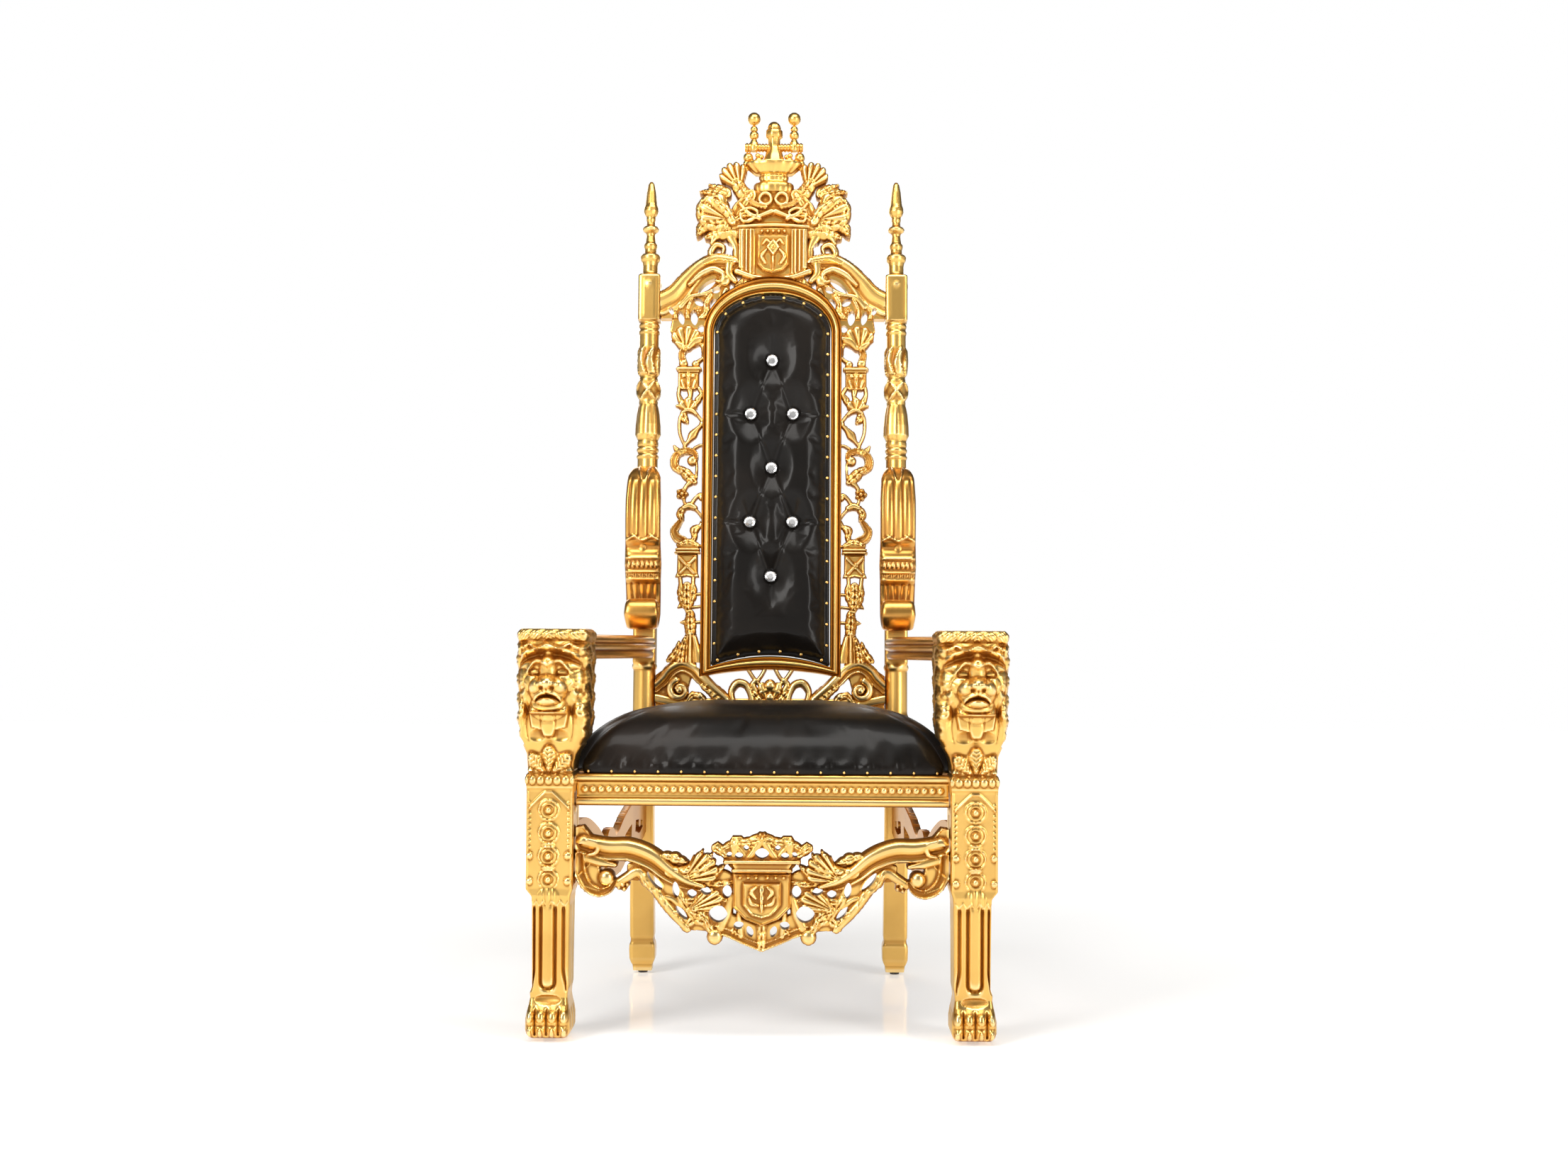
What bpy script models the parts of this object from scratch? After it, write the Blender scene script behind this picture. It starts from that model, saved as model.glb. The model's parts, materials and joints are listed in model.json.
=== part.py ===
"""A carved and gilded throne with lion-head arms, an arched tufted back and a domed leather seat.

Metres, +Z up. The front faces -Y, and the origin is on the floor at the middle of the whole object.
The wood is lofted or cut as relief boards. A relief board is the union of flat strokes, each with a ridge.
"""

import math

import bmesh
import bpy
import numpy as np
from mathutils import Vector
from mathutils.geometry import delaunay_2d_cdt

# Clearance between pieces that touch, and the smallest step that still counts as one point
GAP = 0.0003
SAME = 1e-5

# How far an outline that trims a board goes past its edges
CUT_REACH = 0.1

# Stance: the legs' places and the lean of the back
FRONT_LEG_X = 0.369
LEG_SPAN = 0.600
RAKE = math.radians(4.0)
FOOT_SWEEP = 0.035
GLIDE_HEIGHT = 0.006
GLIDE_RADIUS = 0.011

# Front legs
LEG_HALF = 0.0435
HEAD_HALF = 0.0675
HEAD_BACK = 0.060
HEAD_TRIM = 0.012
SHAFT_TRIM = 0.009
PAW_TRIM = 0.003
NOSE_REACH = 0.100
HEAD_FOOT = 0.512
HEAD_TOP = 0.712
FLUTE_TOP = 0.250
PAW_TOP = 0.085
ROSETTE_TOP = 0.420

# Seat
RAIL_BOTTOM = 0.403
RAIL_TOP = 0.4585
RAIL_THICK = 0.034
FRONT_RAIL_BACK = 0.030
BEADS = 29
CUSHION_TOP = 0.578
CUSHION_NOTCH = 0.004

# Arms and their scrolls
ARM_BOTTOM = 0.658
ARM_TALL = 0.046
ARM_HALF = 0.029
SCROLL_HALF = 0.0365

# Panel in the back: the arched opening, its moulding and its pad
OPENING_HALF = 0.1247
OPENING_CORNER = 0.6404
OPENING_TALL = 0.710
OPENING_SILL_RISE = 0.022
OPENING_RISE = 0.0837
FRAME_WIDTH = 0.0225
FRAME_CROWN = 0.0355
FRAME_FRONT = 0.019
BOARD_BACK = 0.013
PAD_BORDER = 0.019
PAD_EDGE = 0.011
PAD_SHOULDER = 0.028
PAD_CROWN = 0.038
PAD_SEAT = 0.021
SEAT_REACH = 1.2
BUTTON_RADIUS = 0.0125
BUTTON_THICK = 0.009
BUTTON_STEP = 0.1147
BUTTON_SPREAD = 0.0445

# Back posts and the boards between them
POST_HALF = 0.0235
STRIP_WIDTH = 0.0925
STRIP_DROP = 0.090
LOWER_RAIL_TALL = 0.0955
CREST_TALL = 0.189
CROWN_TALL = 0.171
FINIAL_RISE = 0.212
POST_SIDES = 12

# Carved boards under the seat
APRON_BOTTOM = 0.149
APRON_TOP = 0.3595

# The share of a carved board's faces that its solid keeps
BOARD_KEEP = 0.53

# What follows from these
ARM_TOP = ARM_BOTTOM + ARM_TALL
FRONT_LEG_Y = -LEG_SPAN / 2
BACK_POST_Y = LEG_SPAN / 2
FRAME_HALF = OPENING_HALF + FRAME_WIDTH
BACK_POST_X = FRAME_HALF + STRIP_WIDTH + POST_HALF
OPENING_SPRING = OPENING_CORNER + OPENING_TALL
ARCH_TOP = OPENING_SPRING + OPENING_RISE + FRAME_CROWN
STRIP_BOTTOM = OPENING_CORNER + 0.007
STRIP_TOP = ARCH_TOP - STRIP_DROP
CROWN_FOOT = ARCH_TOP + CREST_TALL
THRONE_TOP = CROWN_FOOT + CROWN_TALL
FINIAL_TOP = ARCH_TOP + FINIAL_RISE
BUTTON_MIDDLE = (OPENING_CORNER + OPENING_SILL_RISE + OPENING_SPRING + OPENING_RISE) / 2 + 0.008


def up(height):
    """The distance along the leaning back of a point at this height above the floor."""
    return (height - RAIL_TOP) / math.cos(RAKE)


def fitted(drawn, real):
    """Carries a drawn coordinate to its real place, between two ends that match."""
    scale = (real[1] - real[0]) / (drawn[1] - drawn[0])
    return lambda value: real[0] + (value - drawn[0]) * scale


# Materials

def finish(name, colour, roughness, metallic):
    made = bpy.data.materials.new(name)
    made.use_nodes = True
    shader = made.node_tree.nodes["Principled BSDF"]
    shader.inputs["Base Color"].default_value = (*colour, 1.0)
    shader.inputs["Roughness"].default_value = roughness
    shader.inputs["Metallic"].default_value = metallic
    return made


# Making solids

def add_solid(name, points, faces, material, parent):
    """One object from points and faces, with its faces turned outwards."""
    mesh = bpy.data.meshes.new(name)
    mesh.from_pydata([tuple(p) for p in points], [], [list(f) for f in faces])
    shape = bmesh.new()
    shape.from_mesh(mesh)
    bmesh.ops.recalc_face_normals(shape, faces=shape.faces)
    bmesh.ops.dissolve_limit(
        shape, angle_limit=math.radians(0.3), verts=shape.verts, edges=shape.edges
    )
    shape.to_mesh(mesh)
    shape.free()
    mesh.shade_smooth()
    mesh.set_sharp_from_angle(angle=math.radians(35))
    mesh.materials.append(material)
    obj = bpy.data.objects.new(name, mesh)
    bpy.context.scene.collection.objects.link(obj)
    obj.parent = parent
    return obj


def loft(name, rings, material, parent):
    """A closed solid through rings of points, flat at both ends."""
    count, around = len(rings), len(rings[0])
    points = [p for ring in rings for p in ring]
    faces = [
        (
            level * around + i,
            level * around + (i + 1) % around,
            (level + 1) * around + (i + 1) % around,
            (level + 1) * around + i,
        )
        for level in range(count - 1)
        for i in range(around)
    ]
    faces.append(tuple(range(around)))
    faces.append(tuple((count - 1) * around + i for i in range(around)))
    return add_solid(name, points, faces, material, parent)


def lathe_rings(profile, sides, centre, squash=1.0):
    """Rings of a turned shape about a vertical axis: profile rows are (height, radius)."""
    x, y = centre
    turn = [2 * math.pi * (i + 0.5) / sides for i in range(sides)]
    return [
        [(x + r * math.cos(a), y + squash * r * math.sin(a), z) for a in turn]
        for z, r in profile
    ]


def spiral(centre, radii, turns, count, stretch=1.0):
    """Points round a centre. turns holds the first and last angle in degrees, from +X towards +Z."""
    out = []
    for i in range(count):
        t = i / (count - 1)
        angle = math.radians(turns[0] + (turns[1] - turns[0]) * t)
        radius = radii[0] + (radii[1] - radii[0]) * t
        out.append(
            (
                centre[0] + radius * math.cos(angle),
                centre[1] + stretch * radius * math.sin(angle),
            )
        )
    return out


# Strokes of a relief board, drawn in its plane as (across, height)

class Rib:
    """A band of changing width along a line: flat, or with a ridge that rises along its middle."""

    def __init__(self, points, widths, rise=0.0, level=0.0):
        self.line = np.array(points, float)
        told = np.linspace(0, 1, len(widths))
        self.width = np.interp(np.linspace(0, 1, len(self.line)), told, widths)
        self.rise = rise
        self.level = level

    def mirrored(self):
        return Rib(self.line * [-1, 1], self.width, self.rise, self.level)

    def moved(self, shift):
        return Rib(self.line + shift, self.width, self.rise, self.level)

    def cells(self):
        along = np.gradient(self.line, axis=0)
        along /= np.linalg.norm(along, axis=1)[:, None]
        side = np.stack([-along[:, 1], along[:, 0]], 1) * self.width[:, None]
        left, right = self.line + side, self.line - side
        out = []
        for i in range(len(self.line) - 1):
            if self.rise:
                out.append([left[i], self.line[i], self.line[i + 1], left[i + 1]])
                out.append([self.line[i], right[i], right[i + 1], self.line[i + 1]])
            else:
                out.append([left[i], right[i], right[i + 1], left[i + 1]])
        return out

    def height(self, points):
        best = np.full(len(points), -1.0)
        for i in range(len(self.line) - 1):
            a, b = self.line[i], self.line[i + 1]
            run = b - a
            t = np.clip(((points - a) @ run) / (run @ run), 0, 1)
            away = np.linalg.norm(points - (a + t[:, None] * run), axis=1)
            width = self.width[i] + t * (self.width[i + 1] - self.width[i])
            share = 1 - away / np.maximum(width, SAME)
            best = np.maximum(best, np.where(share > -0.02, np.clip(share, 0, 1), -1))
        return np.where(best >= 0, self.level + self.rise * best, -1.0)


class Boss:
    """A round knob with a raised middle."""

    def __init__(self, centre, radius, rise=0.008, sides=6, level=0.0):
        self.centre = np.array(centre, float)
        self.radius = radius
        self.rise = rise
        self.sides = sides
        self.level = level

    def mirrored(self):
        flipped = self.centre * [-1, 1]
        return Boss(flipped, self.radius, self.rise, self.sides, self.level)

    def cells(self):
        rim = [
            self.centre
            + self.radius
            * np.array([math.cos(2 * math.pi * i / self.sides), math.sin(2 * math.pi * i / self.sides)])
            for i in range(self.sides)
        ]
        return [[self.centre, rim[i], rim[(i + 1) % self.sides]] for i in range(self.sides)]

    def height(self, points):
        share = 1 - np.linalg.norm(points - self.centre, axis=1) / self.radius
        return np.where(share > -0.02, self.level + self.rise * np.clip(share, 0, 1), -1.0)


class Plate:
    """A flat plate with this outline, raised to a level."""

    def __init__(self, outline, level=0.0):
        self.outline = np.array(outline, float)
        self.level = level

    def mirrored(self):
        return Plate(self.outline * [-1, 1], self.level)

    def moved(self, shift):
        return Plate(self.outline + shift, self.level)

    def cells(self):
        return [list(self.outline)]

    def height(self, points):
        """The level inside the outline or within a hair of it, and -1 outside."""
        near = np.zeros(len(points), bool)
        inside = np.zeros(len(points), bool)
        for a, b in zip(self.outline, np.roll(self.outline, -1, axis=0)):
            run = b - a
            t = np.clip(((points - a) @ run) / max(run @ run, SAME**2), 0, 1)
            near |= np.linalg.norm(points - (a + t[:, None] * run), axis=1) < 2 * SAME
            crosses = (a[1] > points[:, 1]) != (b[1] > points[:, 1])
            rise = b[1] - a[1] if b[1] != a[1] else SAME
            at = a[0] + (points[:, 1] - a[1]) * run[0] / rise
            inside ^= crosses & (points[:, 0] < at)
        return np.where(inside | near, self.level, -1.0)


def both_sides(strokes):
    """The strokes and their mirror images across the middle."""
    return strokes + [s.mirrored() for s in strokes]


def counter_clockwise(polygon):
    p = np.array(polygon)
    q = np.roll(p, -1, axis=0)
    area = np.sum(p[:, 0] * q[:, 1] - q[:, 0] * p[:, 1])
    return list(p) if area > 0 else list(p[::-1])


def thin_out(board, keep, cuts):
    """Thins an upright board to this share of its faces, except where it meets its neighbours."""
    points = np.array([(vertex.co.x, vertex.co.z) for vertex in board.data.vertices])
    meets = np.zeros(len(points), bool)
    for cut in cuts:
        meets |= Plate(cut).height(points) >= 0
    free = board.vertex_groups.new(name="free")
    free.add([i for i, held in enumerate(meets) if not held], 1.0, "REPLACE")
    thin = board.modifiers.new("thin_out", "DECIMATE")
    thin.ratio = keep
    thin.vertex_group = free.name
    thin.vertex_group_factor = 1000.0


def relief_board(name, strokes, place, front, back, material, parent, cuts=(), dots=(), keep=1.0):
    """One solid from the union of strokes, less the cut polygons, keeping this share of its faces.

    front is how far its edge stands forward, back how far it reaches behind. place turns
    (across, forward, height) into a point. dots are further points that the surface goes through.
    """
    cells = [cell for stroke in strokes for cell in stroke.cells()]
    faces, corners = [], []
    for cell in cells + list(cuts):
        turned = counter_clockwise(cell)
        faces.append(list(range(len(corners), len(corners) + len(turned))))
        corners += [Vector(p) for p in turned]
    corners += [Vector(p) for p in dots]
    found = delaunay_2d_cdt(corners, [], faces, 0, SAME)
    flat = np.array([(p.x, p.y) for p in found[0]])
    kept = [
        tuple(tri)
        for tri, origin in zip(found[2], found[5])
        if origin and max(origin) < len(cells)
    ]
    used = sorted({i for tri in kept for i in tri})
    renumber = {old: new for new, old in enumerate(used)}
    flat = flat[used]
    kept = [tuple(renumber[i] for i in tri) for tri in kept]
    forward = np.full(len(flat), 0.0)
    for stroke in strokes:
        forward = np.maximum(forward, stroke.height(flat))
    total = len(flat)
    points = [place(x, front + f, z) for (x, z), f in zip(flat, forward)]
    points += [place(x, -back, z) for x, z in flat]
    ways = {}
    for a, b, c in kept:
        for edge in ((a, b), (b, c), (c, a)):
            ways[edge] = ways.get(edge, 0) + 1
    faces = [tri for tri in kept]
    faces += [tuple(i + total for i in reversed(tri)) for tri in kept]
    for a, b in ways:
        if (b, a) not in ways:
            faces.append((b, a, a + total, b + total))
    board = add_solid(name, points, faces, material, parent)
    if keep < 1.0:
        thin_out(board, keep, cuts)
    return board


def beyond(half, low, high):
    """What lies outside a board's two ends, as polygons to cut with."""
    wide = half + CUT_REACH
    edge = [(half, low), (wide, low), (wide, high), (half, high)]
    return [edge, [(-x, z) for x, z in edge]]


def upright(across, forward, height):
    """A board that faces the front."""
    return (across, -forward, height)


# Front legs: lion head, acanthus, rosettes, flutes and paw, carved from one post

# Height, half width, front reach and back reach, from the floor up
LEG_STATIONS = (
    (GLIDE_HEIGHT + GAP, 0.036, 0.044, 0.036),
    (0.018, 0.041, 0.052, 0.040),
    (0.040, 0.041, 0.052, 0.040),
    (0.060, 0.037, 0.044, 0.038),
    (0.078, 0.034, 0.032, 0.036),
    (0.092, 0.0365, 0.036, 0.037),
    (0.106, 0.0370, 0.037, 0.037),
    (0.234, 0.0380, 0.039, 0.038),
    (0.250, 0.0385, 0.040, 0.0385),
    (0.258, LEG_HALF, 0.0385, LEG_HALF),
    (0.2626, LEG_HALF, 0.0385, LEG_HALF),
    (0.2776, LEG_HALF, 0.0385, LEG_HALF),
    (0.2976, LEG_HALF, 0.0385, LEG_HALF),
    (0.3176, LEG_HALF, 0.0385, LEG_HALF),
    (0.3376, LEG_HALF, 0.0385, LEG_HALF),
    (0.3576, LEG_HALF, 0.0385, LEG_HALF),
    (0.3776, LEG_HALF, 0.0385, LEG_HALF),
    (0.3976, LEG_HALF, 0.0385, LEG_HALF),
    (0.4126, LEG_HALF, 0.0385, LEG_HALF),
    (0.440, LEG_HALF, 0.0400, LEG_HALF),
    (0.447, LEG_HALF, 0.0470, LEG_HALF),
    (0.459, LEG_HALF, 0.0460, LEG_HALF),
    (0.466, 0.0400, 0.036, 0.0420),
    (0.488, 0.0415, 0.042, 0.0420),
    (0.508, 0.0430, 0.044, 0.0430),
    (0.520, 0.0560, 0.045, 0.0500),
    (0.534, 0.0620, 0.050, 0.0560),
    (0.550, 0.0650, 0.052, HEAD_BACK),
    (0.566, 0.0655, 0.052, HEAD_BACK),
    (0.580, 0.0655, 0.052, HEAD_BACK),
    (0.588, 0.0658, 0.052, HEAD_BACK),
    (0.600, 0.0660, 0.052, HEAD_BACK),
    (0.614, 0.0665, 0.052, HEAD_BACK),
    (0.630, 0.0665, 0.052, HEAD_BACK),
    (0.646, HEAD_HALF, 0.052, HEAD_BACK),
    (0.660, HEAD_HALF, 0.052, HEAD_BACK),
    (0.674, HEAD_HALF, 0.052, HEAD_BACK),
    (0.690, HEAD_HALF, 0.054, HEAD_BACK),
    (0.702, HEAD_HALF, 0.054, HEAD_BACK),
    (HEAD_TOP, 0.066, 0.052, HEAD_BACK),
)
FRONT_STEPS = 8
ROSETTES = (0.2776, 0.3176, 0.3576, 0.3976)
ROSETTE_RADIUS = 0.015
ROSETTE_RISE = 0.0055
FLUTE_DEPTH = 0.006
TOE_DEPTH = 0.006
LEAF_RISE = 0.009

# The lion's features: across, height, their radii both ways, and how far they stand out
LION_FEATURES = (
    (0.0, 0.640, 0.060, 0.075, 0.022),
    (0.0, 0.613, 0.034, 0.030, 0.024),
    (0.0, 0.626, 0.016, 0.018, NOSE_REACH - 0.096),
    (0.026, 0.672, 0.020, 0.016, 0.010),
    (0.030, 0.646, 0.014, 0.012, -0.010),
    (0.0, 0.588, 0.030, 0.009, -0.026),
    (0.0, 0.568, 0.028, 0.017, 0.022),
    (0.0, 0.542, 0.026, 0.024, 0.010),
    (0.0, 0.694, 0.030, 0.012, 0.008),
)


def lion_face(across, height):
    """How far the lion's face stands forward of its block: rounded features added together."""
    relief = 0.0
    for x, z, wide, tall, rise in LION_FEATURES:
        away = ((abs(across) - x) / wide) ** 2 + ((height - z) / tall) ** 2
        relief += rise * max(0.0, 1 - away)
    edge = abs(across) / HEAD_HALF
    return relief - 0.018 * edge**4


def front_carving(share, half, height):
    """How far the leg's front stands forward of its block, at this share of its half width."""
    a = abs(share)
    grooved = 0.5 + 0.5 * math.cos(4 * math.pi * a)
    if height < PAW_TOP:
        inside = 0.02 < height < 0.05
        return -TOE_DEPTH * (0.5 - 0.5 * math.cos(2 * math.pi * a)) * inside - 0.012 * a**4
    if height < FLUTE_TOP:
        inside = 0.1 < height < 0.24
        return -FLUTE_DEPTH * grooved * inside
    if height < ROSETTE_TOP:
        away = [((share * half) ** 2 + (height - z) ** 2) / ROSETTE_RADIUS**2 for z in ROSETTES]
        return ROSETTE_RISE * max(0.0, 1 - min(away))
    if height < RAIL_TOP + 2 * GAP:
        return 0.0
    if height < HEAD_FOOT:
        return LEAF_RISE * (0.5 + 0.5 * math.cos(2 * math.pi * a)) * (1 - 0.5 * a)
    return lion_face(share * half, height)


def outer_trim(height):
    """How much further in a front leg's outer side is here than its inner side."""
    if height < PAW_TOP:
        return PAW_TRIM
    if height <= FLUTE_TOP:
        return SHAFT_TRIM
    return HEAD_TRIM if height > HEAD_FOOT else 0.0


def leg_ring(station, side):
    """One ring of a front leg. side is -1 for the left leg and 1 for the right."""
    height, half, front, back = station
    shares = [2 * i / FRONT_STEPS - 1 for i in range(FRONT_STEPS + 1)]
    ring = [(t * half, -front - front_carving(t, half, height)) for t in shares]
    corner = ring[0][1]
    ring += [(half, corner + (back - corner) * t) for t in (0.33, 0.66)]
    ring += [(half, back), (0.0, back), (-half, back)]
    ring += [(-half, corner + (back - corner) * t) for t in (0.66, 0.33)]
    trim = side * outer_trim(height)
    ring = [(x - trim * max(0.0, side * x / half) ** 3, y) for x, y in ring]
    return [(side * FRONT_LEG_X + x, FRONT_LEG_Y + y, height) for x, y in ring]


def front_leg(name, side, material, parent):
    rings = [leg_ring(station, side) for station in LEG_STATIONS]
    return loft(name, rings, material, parent)


# Back posts: rear leg, column, leaf and ribbon carving, block and turned finial

# Height, half width, how square it is and the depth of the carving, from the floor up
POST_STATIONS = (
    (GLIDE_HEIGHT + GAP, 0.0200, 1.0, 0.0),
    (0.026, 0.0205, 1.0, 0.0),
    (0.034, 0.0262, 1.0, 0.0),
    (0.060, 0.0268, 1.0, 0.0),
    (0.072, 0.0235, 1.0, 0.0),
    (0.082, 0.0248, 1.0, 0.0),
    (0.240, 0.0245, 1.0, 0.0),
    (0.385, POST_HALF, 1.0, 0.0),
    (RAIL_TOP, POST_HALF, 1.0, 0.0),
    (0.516, POST_HALF, 1.0, 0.0),
    (0.524, 0.0300, 0.0, 0.0),
    (0.536, 0.0275, 0.0, 0.0),
    (0.544, POST_HALF, 0.0, 0.0),
    (0.634, POST_HALF, 0.0, 0.0),
    (0.640, 0.0262, 0.0, 0.0),
    (0.648, POST_HALF, 1.0, 0.0),
    (1.048, POST_HALF, 1.0, 0.0),
    (1.058, 0.0215, 0.0, 0.0),
    (1.090, 0.0225, 0.0, 0.03),
    (1.120, 0.0250, 0.0, 0.07),
    (1.155, 0.0245, 0.0, 0.07),
    (1.190, 0.0190, 0.0, 0.04),
    (1.204, 0.0235, 0.0, 0.08),
    (1.224, 0.0235, 0.0, -0.08),
    (1.240, 0.0190, 0.0, 0.0),
    (1.275, 0.0228, 0.0, 0.07),
    (1.304, 0.0212, 0.0, 0.02),
    (1.370, 0.0212, 0.0, 0.02),
    (1.378, POST_HALF, 1.0, 0.0),
    (1.470, POST_HALF, 1.0, 0.0),
    (1.478, 0.0165, 0.0, 0.0),
    (1.508, 0.0165, 0.0, 0.0),
    (1.516, 0.0215, 0.0, 0.0),
    (1.523, 0.0120, 0.0, 0.0),
    (1.545, 0.0118, 0.0, 0.0),
    (1.567, 0.0085, 0.0, 0.0),
    (1.576, 0.0180, 0.0, 0.0),
    (1.583, 0.0090, 0.0, 0.0),
    (1.604, 0.0088, 0.0, 0.0),
    (1.617, 0.0155, 0.0, 0.0),
    (1.632, 0.0122, 0.0, 0.0),
    (1.682, 0.0066, 0.0, 0.0),
)
BARE_POST_FOOT = 0.648
DRAWN_POST = (BARE_POST_FOOT, 1.682)


def spine(height):
    """Where the middle of a back post is at this height: (y, z)."""
    if height >= RAIL_TOP:
        return (
            BACK_POST_Y + up(height) * math.sin(RAKE),
            RAIL_TOP + up(height) * math.cos(RAKE),
        )
    share = max(0.0, 1 - height / RAIL_BOTTOM)
    return BACK_POST_Y + FOOT_SWEEP * share**2, height


def post_ring(station, side):
    drawn, half, square, carved = station
    stretch = fitted(DRAWN_POST, (BARE_POST_FOOT, FINIAL_TOP))
    height = stretch(drawn) if drawn > BARE_POST_FOOT else drawn
    y, z = spine(height)
    lean = RAKE if height > RAIL_TOP else 0.0
    ring = []
    for i in range(POST_SIDES):
        angle = math.pi / 4 + 2 * math.pi * i / POST_SIDES
        c, s = math.cos(angle), math.sin(angle)
        round_reach = half / math.cos(math.pi / POST_SIDES)
        square_reach = half / max(abs(c), abs(s))
        reach = square * square_reach + (1 - square) * round_reach
        reach *= 1 + carved * (1 if i % 2 else -1)
        ring.append(
            (
                side * BACK_POST_X + reach * c,
                y + reach * s * math.cos(lean),
                z - reach * s * math.sin(lean),
            )
        )
    return ring


def back_post(name, side, material, parent):
    rings = [post_ring(station, side) for station in POST_STATIONS]
    return loft(name, rings, material, parent)


# Seat rails and cushion

def front_rail(material, parent):
    """The rail between the front legs, with a row of beads between two mouldings."""
    half = FRONT_LEG_X - LEG_HALF - GAP
    top_line = RAIL_TOP - 0.008
    foot_line = RAIL_BOTTOM + 0.008
    bead_line = (RAIL_TOP + RAIL_BOTTOM) / 2
    pitch = 2 * (half - 0.006) / BEADS
    strokes = [
        Plate([(-half, RAIL_BOTTOM), (half, RAIL_BOTTOM), (half, RAIL_TOP), (-half, RAIL_TOP)]),
        Rib([(-half, top_line), (half, top_line)], [0.008], 0.007),
        Rib([(-half, foot_line), (half, foot_line)], [0.008], 0.007),
    ]
    for i in range(BEADS):
        x = (i - (BEADS - 1) / 2) * pitch
        strokes.append(Boss((x, bead_line), pitch * 0.44, 0.006, 4))
    return relief_board(
        "seat_rail_front",
        strokes,
        lambda x, f, z: (x, FRONT_LEG_Y - f, z),
        0.0,
        FRONT_RAIL_BACK,
        material,
        parent,
    )


def side_line(share):
    """How far from the middle a side rail's middle is, from the front leg (0) to the back post (1)."""
    front = FRONT_LEG_X - LEG_HALF + RAIL_THICK / 2 + 0.005
    return front + (BACK_POST_X - front) * share


def side_board_place(side):
    """Places a board that runs from a front leg's back to a back post, its plane along the side.

    across is 0 at the leg and 1 at the post, and forward is towards the outside.
    """
    start = FRONT_LEG_Y + LEG_HALF + GAP

    def place(across, forward, height):
        end = spine(height)[0] - POST_HALF - GAP
        y = start + (end - start) * across
        return (side * (side_line(across) + forward), y, height)

    return place


def side_rail(name, side, material, parent):
    place = side_board_place(side)
    half = RAIL_THICK / 2
    mid = (RAIL_BOTTOM + RAIL_TOP) / 2
    section = (
        (half, RAIL_BOTTOM),
        (half, RAIL_BOTTOM + 0.010),
        (half - 0.005, RAIL_BOTTOM + 0.014),
        (half - 0.005, mid + 0.012),
        (half, mid + 0.016),
        (half, RAIL_TOP),
        (-half, RAIL_TOP),
        (-half, RAIL_BOTTOM),
    )
    rings = [[place(t, f, z) for f, z in section] for t in (0.0, 1.0)]
    return loft(name, rings, material, parent)


def back_rail(material, parent):
    half = BACK_POST_X - POST_HALF - GAP
    section = [(-0.017, RAIL_BOTTOM), (-0.017, RAIL_TOP), (0.017, RAIL_TOP), (0.017, RAIL_BOTTOM)]
    rings = [[(x, BACK_POST_Y + y, z) for y, z in section] for x in (-half, half)]
    return loft("seat_rail_back", rings, material, parent)


def cushion_outline():
    """The seat's plan from the middle of the front, anticlockwise: notched round the front legs."""
    front = FRONT_LEG_Y - 0.004
    notch = FRONT_LEG_Y + LEG_HALF + CUSHION_NOTCH
    rear = BACK_POST_Y - POST_HALF - 2 * GAP
    front_half = FRONT_LEG_X - LEG_HALF - CUSHION_NOTCH
    waist = FRONT_LEG_X - 0.021
    rear_half = BACK_POST_X + 0.021
    right = [
        (0.0, front - 0.004),
        (0.5 * front_half, front - 0.003),
        (front_half, front),
        (front_half, notch),
        (waist, notch + 0.012),
        (waist - 0.002, notch + 0.060),
        ((waist + rear_half) / 2, (notch + rear) / 2 + 0.02),
        (rear_half + 0.004, rear - 0.050),
        (rear_half - 0.004, rear - 0.010),
        (rear_half - 0.018, rear),
        (0.5 * rear_half, rear),
    ]
    left = [(-x, y) for x, y in reversed(right[1:])]
    return right + [(0.0, rear)] + left


def seat_cushion(material, parent):
    """Rings of the plan that draw in as they rise to a broad crown."""
    outline = np.array(cushion_outline())
    middle = np.array([0.0, -0.015])
    rows = ((0.0, 1.0), (0.22, 0.996), (0.46, 0.95), (0.68, 0.84), (0.87, 0.62), (1.0, 0.24))
    foot = RAIL_TOP + GAP
    rings = []
    for rise, size in rows:
        z = foot + rise * (CUSHION_TOP - foot)
        ring = middle + (outline - middle) * size
        rings.append([(x, y, z) for x, y in ring])
    return loft("seat_cushion", rings, material, parent)


# Arms and the scrolls that stand on them

def post_front(height, proud=0.0):
    """The y of a back post's front face at this height, moved forward by proud."""
    return BACK_POST_Y + (height - RAIL_TOP) * math.tan(RAKE) - (POST_HALF + proud) / math.cos(RAKE)


def arm(name, side, material, parent):
    """A moulded rail that sweeps in from the lion's head to the back post."""
    tall = ARM_TOP - ARM_BOTTOM
    section = (
        (-0.80, 0.0), (-0.86, 0.30), (-0.72, 0.42), (-1.0, 0.60), (-0.92, 0.86),
        (-0.45, 1.0), (0.45, 1.0), (0.92, 0.86), (1.0, 0.60), (0.72, 0.42), (0.86, 0.30), (0.80, 0.0),
    )
    start = FRONT_LEG_Y + HEAD_BACK + GAP
    rings = []
    for share in (0.0, 0.3, 0.6, 0.85, 1.0):
        inward = share * share * (3 - 2 * share)
        middle = FRONT_LEG_X + (BACK_POST_X + 0.004 - FRONT_LEG_X) * inward
        ring = []
        for a, b in section:
            z = ARM_BOTTOM + b * tall
            y = start + (post_front(z, GAP) - start) * share
            ring.append((side * (middle + a * ARM_HALF), y, z))
        rings.append(ring)
    return loft(name, rings, material, parent)


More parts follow.
